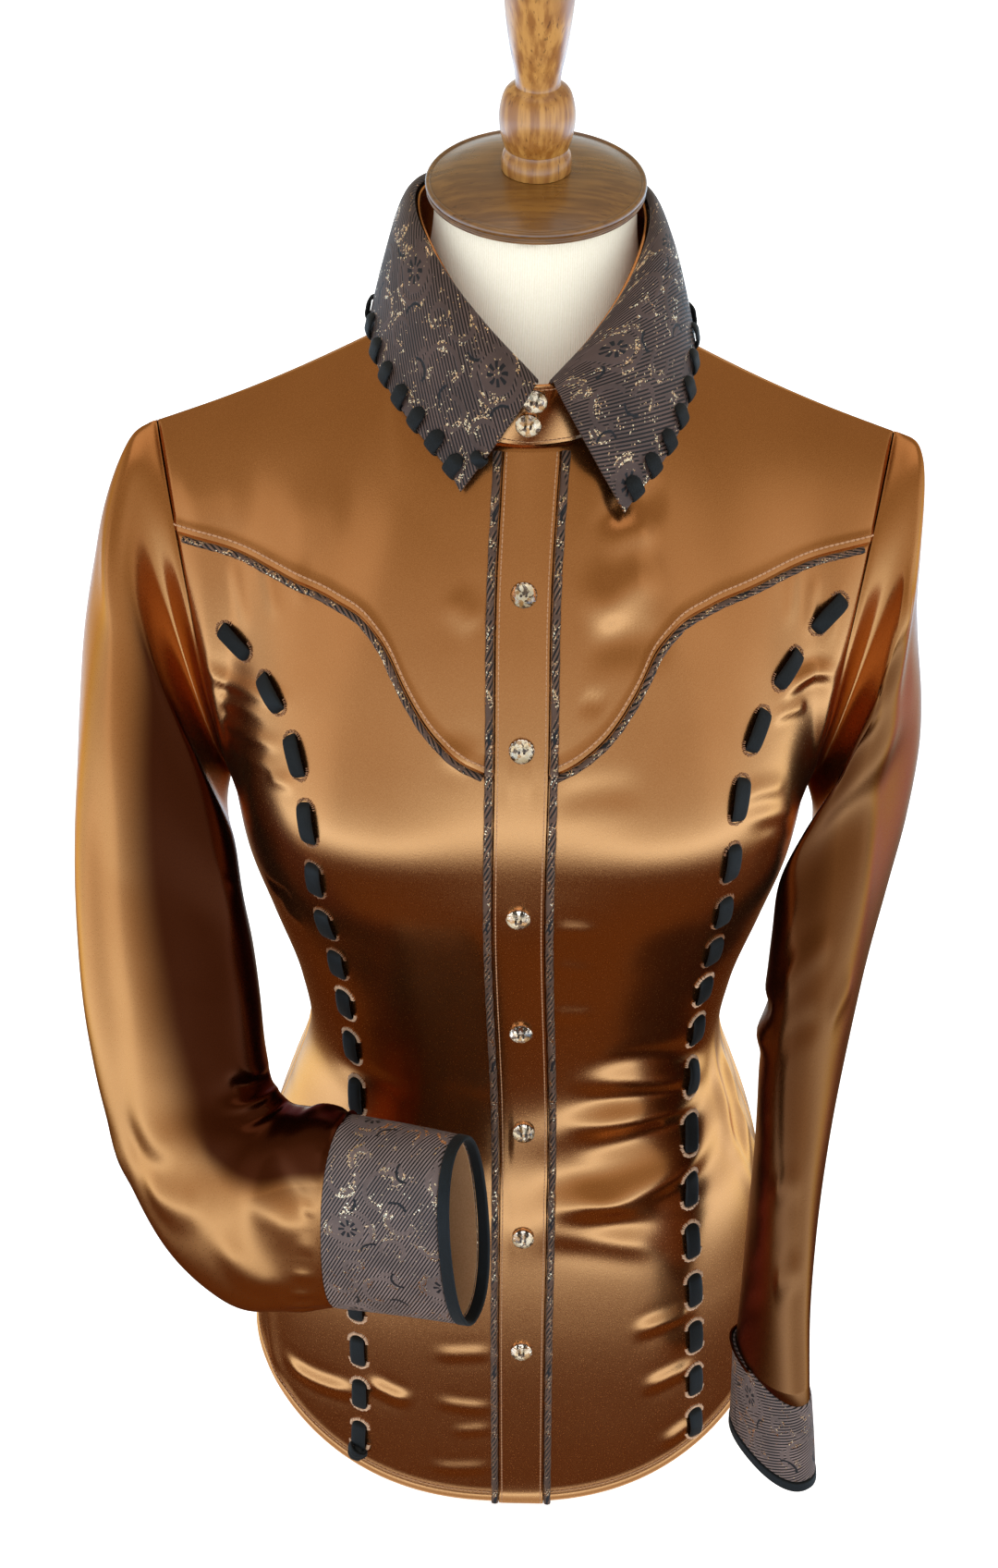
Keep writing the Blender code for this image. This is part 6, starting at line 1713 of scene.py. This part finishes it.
def standEdges(w):
    # bottom and top of the stand at w, from -1 (left front) round the back to 1 (right front)
    side = -1.0 if w < 0 else 1.0
    back = abs(w) < 0.5
    share = abs(w) * 2 if back else (1 - abs(w)) * 2
    low = bodyPoint(np.array([share * bodyCut["neckShare"]]), np.zeros(1), back, side, False)[0][0]
    fold = collarCurves(np.array([w]))[0][0]
    out = unit(fold * np.array([1, 1, 0]))
    top = fold - out * collarCut["standSpread"] - np.array([0, 0, collarCut["standDrop"]])
    return low + np.array([0, 0, collarCut["standRise"]]), top


def makeStand():
    w = np.linspace(1 - collarCut["standStart"], -1, 150)
    past = np.linspace(0, 1, 29)[1:]
    places = np.concatenate([w, 1 - past * collarCut["tabLength"]])
    low, top = (np.array(points) for points in zip(*(standEdges(place) for place in places)))
    drop = (1 - np.sqrt(1 - np.clip((past - 0.35) / 0.65, 0, 1) ** 2 * 0.94))[:, None] * 0.8
    tab = slice(len(w), None)
    top[tab] += (low[tab] - top[tab]) * drop
    v = np.concatenate([[0, 0.012, 0.03, 0.06], np.linspace(0.1, 0.9, 11), [0.94, 0.97, 0.988, 1.0]])
    v = v[None, :, None]
    grid = low[:, None] * (1 - v) + top[:, None] * v
    normals = gridNormals(grid, np.array([0, 0, 0.76]))
    lap = np.concatenate([ease((-w - 0.68) / 0.32), np.ones(len(past))])
    grid = grid + normals * (lap * collarCut["tabLift"])[:, None, None]
    grid[:, 0, 2] += lap * collarCut["tabRise"]
    shaped, wall = rimRound(grid, normals, collarCut["cloth"])
    sheetPiece("collar_band", shaped, normals, wall, satin, ["collar_stand"], "folded", ["form_cover"],
               ["tab_stitch"], flat=grid)
    # stitches round the tab: along its lower edge, round its end and back along its top
    lines = []
    inset = collarCut["tabInset"]
    run = runLength(grid, 1)
    use = [i for i in range(len(w) - 14, len(places) - 1) if run[i, -1] >= 2.2 * inset]
    for below in (True, False):
        found = [onRow(grid[i], normals[i], run[i], inset if below else run[i, -1] - inset) for i in use]
        lines.append([np.array(each) for each in zip(*found)])
    stitchPiece("tab_stitch", lines, pitch=0.0022, radius=0.00028)
    return grid


standGrid = makeStand()
print("collar made")


# Button band, its pipings and the crystal buttons
bandCut = {
    "line": np.array((
        (10, 9), (150, 7.2), (300, 6.2), (460, 1), (560, 1.2), (640, 1), (710, 4),
    )) * mm,
    "half": 0.014,
    "top": 0.7022,
    "bottom": 0.0186,
    "rows": 240,
    "lift": 0.0008,
    "piping": 0.0021,
    "pipingLift": 0.0005,
}


def lineAt(z):
    return smooth(z, bandCut["line"][:, 0], bandCut["line"][:, 1])


def layGrid(xs, zs):
    # points of the creased front at these places, and smooth normals; rows run down
    grid = np.empty((*xs.shape, 3))
    for i in range(xs.shape[0]):
        for j in range(xs.shape[1]):
            spot = frontSeat.cast((xs[i, j], -1, zs[i, j]), (0, 1, 0))
            grid[i, j] = spot if spot is not None else grid[i, j - 1] + (grid[i, j - 1] - grid[i, j - 2])
    across = np.gradient(grid, axis=0)
    down = np.gradient(grid, axis=1)
    normal = unit(np.cross(across, down))
    normal *= np.sign(-normal[..., 1:2])
    for _ in range(4):
        normal[1:-1] = normal[1:-1] + normal[:-2] + normal[2:]
        normal[:, 1:-1] = normal[:, 1:-1] + normal[:, :-2] + normal[:, 2:]
        normal = unit(normal)
    return grid, normal


def makeBand():
    half, bottom = bandCut["half"], bandCut["bottom"]
    zs = np.linspace(bandCut["top"], bottom, bandCut["rows"])
    zs = np.concatenate([zs[:-1], bottom + np.array([0.0012, 0.0005, 0.0])])
    edge = -half + np.array([0.0, 0.0004, 0.001])
    offsets = np.concatenate([edge, np.linspace(-half + 0.002, half - 0.002, 17), -edge[::-1]])
    xs = lineAt(zs)[None] + offsets[:, None]
    grid, normal = layGrid(xs, np.broadcast_to(zs, xs.shape))
    for _ in range(10):
        grid[:, 1:-1] = (grid[:, :-2] + grid[:, 1:-1] * 2 + grid[:, 2:]) / 4
    thick = bodyCut["wall"] + 0.0006
    # a little fuller in the middle than at its stitched edges
    full = 0.0004 * (1 - (np.abs(offsets) / half) ** 4)[:, None]
    flare = 0.0012 * bell((grid[..., 2] - bandCut["bottom"]) / 0.004)
    outer = grid + normal * (bandCut["lift"] + bodyCut["wall"] + full + flare)[..., None]
    turned, turnedNormal = outer.swapaxes(0, 1), normal.swapaxes(0, 1)
    shaped, wall = rimRound(turned, turnedNormal, thick)
    trims = [f"band_{kind}_{word}" for kind in ("stitch", "piping") for word in ("left", "right")]
    sheetPiece("button_band", shaped, turnedNormal, wall, satin, ["placket"], "folded",
               ["front_left_panel", "front_right_panel"], trims, flat=turned, turned=True)
    for i, word in ((0, "left"), (-1, "right")):
        inward = 3 if i == 0 else -4
        stitchPiece(f"band_stitch_{word}", [(outer[inward], normal[inward])], pitch=0.0026, radius=0.0003)
    return outer


def makeTube(name, points, radius, node):
    rings = tubeGrid(points, radius, 14)
    outer = rings.swapaxes(0, 1)
    n, k = outer.shape[:2]
    around = np.arange(n + 1)[:, None] / n * 2 * math.pi * np.max(radius) + np.zeros((1, k))
    along = runLength(outer, 1)
    uv = np.stack([around, np.concatenate([along, along[:1]])], -1)
    centre = rings.mean(axis=1)
    normals = unit(rings - centre[:, None]).swapaxes(0, 1)
    quads = facedOut(outer, normals, gridFaces(n, k, True))
    ends = [[i * k for i in range(n)], [i * k + k - 1 for i in range(n)]]
    flip = quads[0, 1] - quads[0, 0] != 1
    faces = quads.tolist() + [ends[0][::-1] if flip else ends[0], ends[1] if flip else ends[1][::-1]]
    corners = np.concatenate([cornerUvs(quads, uv, n, k), uv[:n, 0], uv[:n, -1]])
    makePiece(name, outer.reshape(-1, 3), faces, brocadePiping, [node], corners=corners)


bandGrid = makeBand()
for side, word in ((-1, "left"), (1, "right")):
    zs = np.linspace(bandCut["top"], bandCut["bottom"] - 0.0004, 260)
    offset = side * (bandCut["half"] + 0.0003 + bandCut["piping"])
    xs = np.stack([lineAt(zs) + offset - 0.003, lineAt(zs) + offset, lineAt(zs) + offset + 0.003])
    grid, normal = layGrid(xs, np.broadcast_to(zs, xs.shape))
    wave = 0.00012 * np.sin(np.arange(len(zs)) * 0.9)
    path = grid[1] + normal[1] * (bandCut["piping"] * 0.75 + bandCut["pipingLift"])
    makeTube(f"band_piping_{word}", path, bandCut["piping"] + wave, f"placket_piping_{word}")

    xs = np.linspace(*yokeCut["pipingEnds"], 130)
    heights = smooth(xs, yokeCut["seam"][:, 0], yokeCut["seam"][:, 1])
    slope = np.gradient(heights, xs)
    down = np.stack([slope, -np.ones(len(xs))], -1) / np.hypot(slope, 1)[:, None] * yokeCut["pipingDrop"]
    spots = np.stack([side * (xs + down[:, 0]), heights + down[:, 1]], -1)
    path = []
    for x, z in spots:
        point, normal = frontSeat.front(x, z, yokeCut["piping"] * 0.8)
        path.append(point)
    path = np.array(path)
    path[1:-1] = (path[:-2] + path[1:-1] * 2 + path[2:]) / 4
    wave = 0.0001 * np.sin(np.arange(len(path)) * 1.1)
    makeTube(f"yoke_cord_{word}", path, yokeCut["piping"] + wave, f"yoke_piping_{word}")
print("button band and pipings made")

buttonCut = {
    "heights": (0.638, 0.563, 0.466, 0.379, 0.304, 0.232, 0.148),
    "collar": ((0.0045, 0.7315), (0.0018, 0.7185)),
    "radius": 0.0064,
    "thick": 0.004,
    "lift": 0.0008,
    "holeOff": 0.0013,
    "hole": 0.00062,
}


def buttonSolids(cut):
    # the cut stone in its own frame: a girdle, a ring of facets and a table, made as a hull
    rings = ((16, 0.84, 0.0, 0.0), (16, 1.0, 0.3, 0.0), (16, 0.985, 0.42, 0.0), (8, 0.8, 0.8, 0.0),
             (8, 0.56, 1.0, 0.5))
    shape = bmesh.new()
    for count, wide, high, shift in rings:
        for k in range(count):
            a = (k + shift) / count * 2 * math.pi
            shape.verts.new((math.cos(a) * wide * cut["radius"], math.sin(a) * wide * cut["radius"],
                             high * cut["thick"]))
    found = bmesh.ops.convex_hull(shape, input=shape.verts)
    loose = [item for item in found["geom_interior"] if isinstance(item, bmesh.types.BMVert)]
    bmesh.ops.delete(shape, geom=loose, context="VERTS")
    bmesh.ops.dissolve_limit(shape, angle_limit=0.002, verts=shape.verts, edges=shape.edges)
    shape.verts.ensure_lookup_table()
    shape.verts.index_update()
    points = np.array([vert.co for vert in shape.verts])
    polygons = [[vert.index for vert in face.verts] for face in shape.faces]
    shape.free()
    return points, polygons


def makeButtons():
    grounds = [Seat([bandGrid]), Seat([standGrid])]
    places = [(f"button_{i + 1}", lineAt(z), z, grounds[0]) for i, z in enumerate(buttonCut["heights"])]
    places += [(f"collar_button_{i + 1}", x, z, grounds[1]) for i, (x, z) in enumerate(buttonCut["collar"])]
    points, polygons = buttonSolids(buttonCut)
    turn = fullTurn(24)
    for n, (node, x, z, ground) in enumerate(places):
        spot, normal = ground.front(float(x), z, 0.0005)
        right = unit(np.cross((0, 0, 1), normal))
        top = np.cross(normal, right)
        spin = n * 0.55
        c, s = math.cos(spin), math.sin(spin)
        basis = np.stack([right * c + top * s, top * c - right * s, normal])
        level = np.stack([right, top, normal])
        makePiece(f"crystal_{node}", spot + points @ basis, polygons, crystal, [node], sharp=1)
        rings = []
        for high, wide in ((-0.0005, 0.74), (-0.0001, 0.8), (0.0, 0.79)):
            wide = wide * buttonCut["radius"]
            ring = np.stack([np.cos(turn) * wide, np.sin(turn) * wide, np.full(24, high)], -1)
            rings.append(spot - normal * 0.0002 + ring @ level)
        solidsPiece(f"foil_{node}", [solidFromRings(np.array(rings))], foil, sharp=30)
        # painted shade: dark thread-coloured cores fill the two holes, standing for the thread through them
        # and the shade inside them
        solids = []
        for side in (-1, 1):
            heights = (0.0006, 0.002, buttonCut["thick"] + 0.00005)
            path = np.array([(side * buttonCut["holeOff"], 0, height) for height in heights])
            solids.append(solidFromRings(tubeGrid(spot + path @ level, buttonCut["hole"], 12)))
        solidsPiece(f"holes_{node}", solids, holeShadeThread, sharp=40)


makeButtons()
print("buttons made")


# Laces down the fronts: across and height of points on their line, in millimetres
laceCut = {
    "left": np.array((
        (-162, 597), (-133, 576), (-116.5, 550), (-108, 509), (-104.5, 459), (-98.5, 420), (-93.2, 350),
        (-90.5, 300), (-91.2, 240), (-92.5, 170), (-91.6, 100), (-93.5, 40),
    )) * mm,
    "right": np.array((
        (171, 617), (146, 592), (126.5, 568.5), (114.5, 535), (111, 489), (109, 443), (104.5, 380),
        (103, 310), (105, 240), (111, 170), (114.5, 110), (118, 44),
    )) * mm,
    "runs": 17,
    # sections of one run, from its middle (0) to where it dives (1)
    "sections": (-1.03, -1.0, -0.965, -0.92, -0.84, -0.7, -0.45, -0.2, 0.1, 0.35, 0.6, 0.78, 0.88, 0.94,
                 0.975, 1.0, 1.03),
    "share": 0.64,
    "width": 0.0096,
    "thick": 0.0021,
    "bow": 0.0014,
    "under": 0.0028,
    "lowest": 0.04,
    "eyeletPitch": 0.00085,
    "eyeletTurn": 92,
    "eyeletInner": 0.0049,
    # outer radius and thread of the upper and the lower eyelets, which are coarser
    "eyeletKinds": {"upper": (0.0064, 0.00026), "lower": (0.007, 0.00042)},
    "lowerBelow": 0.4,
}


def makeLace(word):
    keys = laceCut[word]
    fine = smooth(np.linspace(0, len(keys) - 1, 500), np.arange(len(keys)), keys)
    fine[:, 1] = np.maximum(fine[:, 1], laceCut["lowest"])
    spots = np.array([frontSeat.front(x, z)[0] for x, z in fine])
    run = runLength(spots)
    step = run[-1] / laceCut["runs"]
    wide = laceCut["width"]
    over = laceCut["thick"] / 2 + 0.0002
    dice = np.random.default_rng(11 if word == "left" else 12)

    def place(distance):
        x, z = (np.interp(distance, run, fine[:, axis]) for axis in (0, 1))
        return frontSeat.front(x, z)

    path = []
    faces = []
    widths = []
    thicks = []
    stitches = {"upper": [], "lower": []}
    for k in range(laceCut["runs"]):
        first = (k + 0.5 - laceCut["share"] / 2) * step
        last = (k + 0.5 + laceCut["share"] / 2) * step
        middle = (first + last) / 2
        half = (last - first) / 2
        for share in laceCut["sections"]:
            q = abs(share)
            inside = np.clip((1.03 - q) * half / 0.0045, 0, 1)
            roundEnd = math.sqrt(1 - (1 - inside) ** 2)
            height = -laceCut["under"] + (laceCut["under"] + over) * ease(inside * 2.2)
            height += laceCut["bow"] * (1 - min(q, 1) ** 2.5)
            point, normal = place(middle + share * half)
            path.append(point + normal * height)
            faces.append(normal)
            widths.append(wide * (0.42 + 0.58 * roundEnd))
            thicks.append(laceCut["thick"] * (0.75 + 0.45 * (1 - q * q) * (q < 1)))
        for side, centre in ((-1, first + wide * 0.42), (1, last - wide * 0.42)):
            point, normal = place(centre)
            near = place(centre + side * 0.004)[0]
            ahead = unit(near - point)
            across = np.cross(normal, ahead)
            turn = math.radians(laceCut["eyeletTurn"])
            kind = "lower" if point[2] < laceCut["lowerBelow"] else "upper"
            outer, thread = laceCut["eyeletKinds"][kind]
            count = int(2 * turn * outer / laceCut["eyeletPitch"] * 0.8)
            for angle in np.linspace(-turn, turn, count) + dice.uniform(-0.03, 0.03, count):
                way = ahead * math.cos(angle) + across * math.sin(angle)
                tip = outer + dice.uniform(-0.0003, 0.0004)
                keyPoints = []
                for r, lift in ((laceCut["eyeletInner"], 0.0002), (laceCut["eyeletInner"] + 0.0005, 0.0008),
                                (tip - 0.0005, 0.0006), (tip, -0.0002)):
                    spot = point + way * r
                    spot, out = frontSeat.front(spot[0], max(spot[2], 0.03), lift)
                    keyPoints.append(spot)
                radius = thread * np.array([0.7, 1, 1, 0.5])
                stitches[kind].append(solidFromRings(tubeGrid(np.array(keyPoints), radius, 5, normal)))
    path = np.array(path)
    faces = np.array(faces)
    widths = np.array(widths)
    thicks = np.array(thicks)
    # smooth the run, so that neighbouring sections stay parallel
    faces[1:-1] = faces[:-2] + faces[1:-1] + faces[2:]
    solids = [ribbonSolid(path, unit(faces), widths, thicks, 14)]
    if word == "left":
        solids += knotSolids(path[-8], unit(path[-8] - path[-12]), unit(faces[-8]))
    solidsPiece(f"lace_{word}", solids, laceLeather, [f"front_lace_{word}"], 70)
    for kind, finish in (("upper", copperThread), ("lower", paleThread)):
        solidsPiece(f"eyelets_{word}_{kind}", stitches[kind], finish)


def knotSolids(base, ahead, out):
    # a round knot: a core and two turns of the lace round it, one over the other
    across = np.cross(out, ahead)
    core = []
    for away, grow in ((-0.001, 0.35), (0.001, 0.75), (0.0045, 1.0), (0.008, 0.85), (0.0105, 0.45)):
        core.append((*(base + ahead * (away + 0.004) + out * 0.0012), grow))
    line = resample(core, 16)
    face = np.broadcast_to(out, (16, 3))
    solids = [ribbonSolid(line[:, :3], face, line[:, 3] * 0.0092, line[:, 3] * 0.0062)]
    for slant, middle, high in ((0.55, 0.0065, 0.0044), (-0.45, 0.01, 0.0036)):
        way = unit(across + ahead * slant)
        bend = []
        for angle in np.radians(np.linspace(-112, 112, 15)):
            spot = base + ahead * middle + way * math.sin(angle) * 0.0056 + out * (math.cos(angle) * high)
            bend.append((*spot, *(way * math.sin(angle) + out * math.cos(angle))))
        bend = np.array(bend)
        solids.append(ribbonSolid(bend[:, :3], unit(bend[:, 3:]), 0.0052, 0.0018))
    return solids


for word in ("left", "right"):
    makeLace(word)
print("laces made")


# Camera and light

cameraAt = {
    "place": (0.0, -1.04, 1.087),
    "pitch": 30.5,
    "yaw": 0.62,
    "roll": 0.65,
    "focal": 2300.0,  # in pixels of the photograph's 1696 px height
}


def makeCamera(at):
    pitch, yaw, roll = (math.radians(at[key]) for key in ("pitch", "yaw", "roll"))
    ahead = np.array([-math.sin(yaw) * math.cos(pitch), math.cos(yaw) * math.cos(pitch), -math.sin(pitch)])
    level = unit(np.cross(ahead, (0, 0, 1)))
    up = np.cross(level, ahead)
    right = math.cos(roll) * level + math.sin(roll) * up
    top = -math.sin(roll) * level + math.cos(roll) * up
    data = bpy.data.cameras.new("camera")
    data.sensor_width = 36.0
    data.lens = at["focal"] / 1696 * 36
    data.clip_end = 60
    thing = bpy.data.objects.new("camera", data)
    turn = Matrix(np.stack([right, top, -ahead], axis=1).tolist()).to_4x4()
    turn.translation = Vector(np.array(at["place"]) + standAt)
    thing.matrix_world = turn
    bpy.context.scene.collection.objects.link(thing)
    bpy.context.scene.camera = thing


# Soft boxes: place, where they point, width, height, power, colour
softBoxes = {
    "left": ((-2.4, -1.0, 0.7), (0, 0, 0.4), 0.9, 1.9, 1.8, (0.78, 0.9, 1.0)),
    "right": ((2.3, -1.0, 0.9), (0, 0, 0.4), 0.9, 1.7, 1.0, (0.78, 0.9, 1.0)),
    "top": ((0.0, -0.4, 2.8), (0, 0, 0.3), 2.4, 2.0, 8.0, (1.0, 1.0, 1.0)),
    "back": ((0.4, 2.5, 1.0), (0, 0, 0.4), 2.8, 1.6, 4.0, (0.75, 0.9, 1.0)),
}


def makeLights():
    for name, (place, target, width, height, power, colour) in softBoxes.items():
        data = bpy.data.lights.new(f"soft_box_{name}", "AREA")
        data.shape = "RECTANGLE"
        data.size = width
        data.size_y = height
        data.energy = power
        data.color = colour
        thing = bpy.data.objects.new(f"soft_box_{name}", data)
        thing.location = Vector(place) + Vector(standAt)
        thing.rotation_euler = (Vector(target) - Vector(place)).to_track_quat("-Z", "Y").to_euler()
        thing.visible_camera = False
        bpy.context.scene.collection.objects.link(thing)


# The room: how bright it is at each height, from straight down to straight up
roomLook = {
    "white": (1.0, 1.0, 1.0),
    "levels": (
        (0.0, (0.09, 0.04, 0.01)), (0.07, (0.09, 0.04, 0.01)), (0.15, (0.055, 0.02, 0.005)),
        (0.185, (0.07, 0.03, 0.01)), (0.225, (0.18, 0.14, 0.1)), (0.26, (0.76, 1.08, 1.42)),
        (0.302, (1.04, 1.52, 2.1)), (0.365, (0.58, 0.77, 0.96)), (0.45, (0.43, 0.53, 0.62)),
        (0.535, (0.37, 0.39, 0.39)), (0.62, (0.32, 0.31, 0.27)), (0.7, (0.25, 0.23, 0.17)),
        (0.8, (0.2, 0.17, 0.11)), (0.93, (0.2, 0.17, 0.12)), (1.0, (0.23, 0.21, 0.17)),
    ),
    "strength": 2.0,
    "plainLight": (1.0, 0.985, 0.96),
    "plainStrength": 1.1,
    "floor": 30.0,
}


def makeRoom():
    world = bpy.data.worlds.new("studio")
    bpy.context.scene.world = world
    world.use_nodes = True
    tree = world.node_tree
    tree.nodes.clear()
    w = Wires(tree)
    up = w.split(w.add("ShaderNodeTexCoord", out="Generated"))[2]
    ramp = tree.nodes.new("ShaderNodeValToRGB")
    w.put(ramp.inputs[0], w.timesPlus(up, 0.5, 0.5))
    stops = ramp.color_ramp.elements
    levels = roomLook["levels"]
    for at, _colour in levels[1:-1]:
        stops.new(at)
    for stop, (at, colour) in zip(stops, levels):
        stop.position, stop.color = at, (*colour, 1.0)
    path = tree.nodes.new("ShaderNodeLightPath").outputs
    # what shines sees the bands above; what is dull sees an even room; the camera sees white
    shown = w.add("ShaderNodeBackground", in_Color=ramp.outputs[0], in_Strength=roomLook["strength"])
    for kind, colour, strength in (("Is Diffuse Ray", roomLook["plainLight"], roomLook["plainStrength"]),
                                   ("Is Camera Ray", roomLook["white"], 1.0)):
        plain = w.add("ShaderNodeBackground", in_Color=colour, in_Strength=strength)
        shown = w.add("ShaderNodeMixShader", in_0=path[kind], in_1=shown, in_2=plain)
    w.put(tree.nodes.new("ShaderNodeOutputWorld").inputs[0], shown)

    size = roomLook["floor"]
    corners = [(-size, -size, 0), (size, -size, 0), (size, size, 0), (-size, size, 0)]
    mesh = bpy.data.meshes.new("floor")
    mesh.from_pydata(corners, [], [(0, 1, 2, 3)])
    made, shader, w = newMaterial("pale_floor", (0.86, 0.86, 0.86), 0.8, Emission_Color=(1, 1, 1),
                                  Emission_Strength=0.72)
    soft = w.noise(w.objectPlace(), 3.0)
    setSurface(w, shader, w.blend(soft, (0.84, 0.84, 0.84), (0.88, 0.88, 0.88)))
    mesh.materials.append(made)
    floor = bpy.data.objects.new("floor", mesh)
    bpy.context.scene.collection.objects.link(floor)
    floor.visible_glossy = False


makeCamera(cameraAt)
makeLights()
makeRoom()
bpy.context.scene.view_settings.view_transform = "Standard"
print("camera, light and floor made")

for piece, flat, held, restsOn, area, trims in cloths:
    trims = [bpy.data.objects[name] for name in trims]
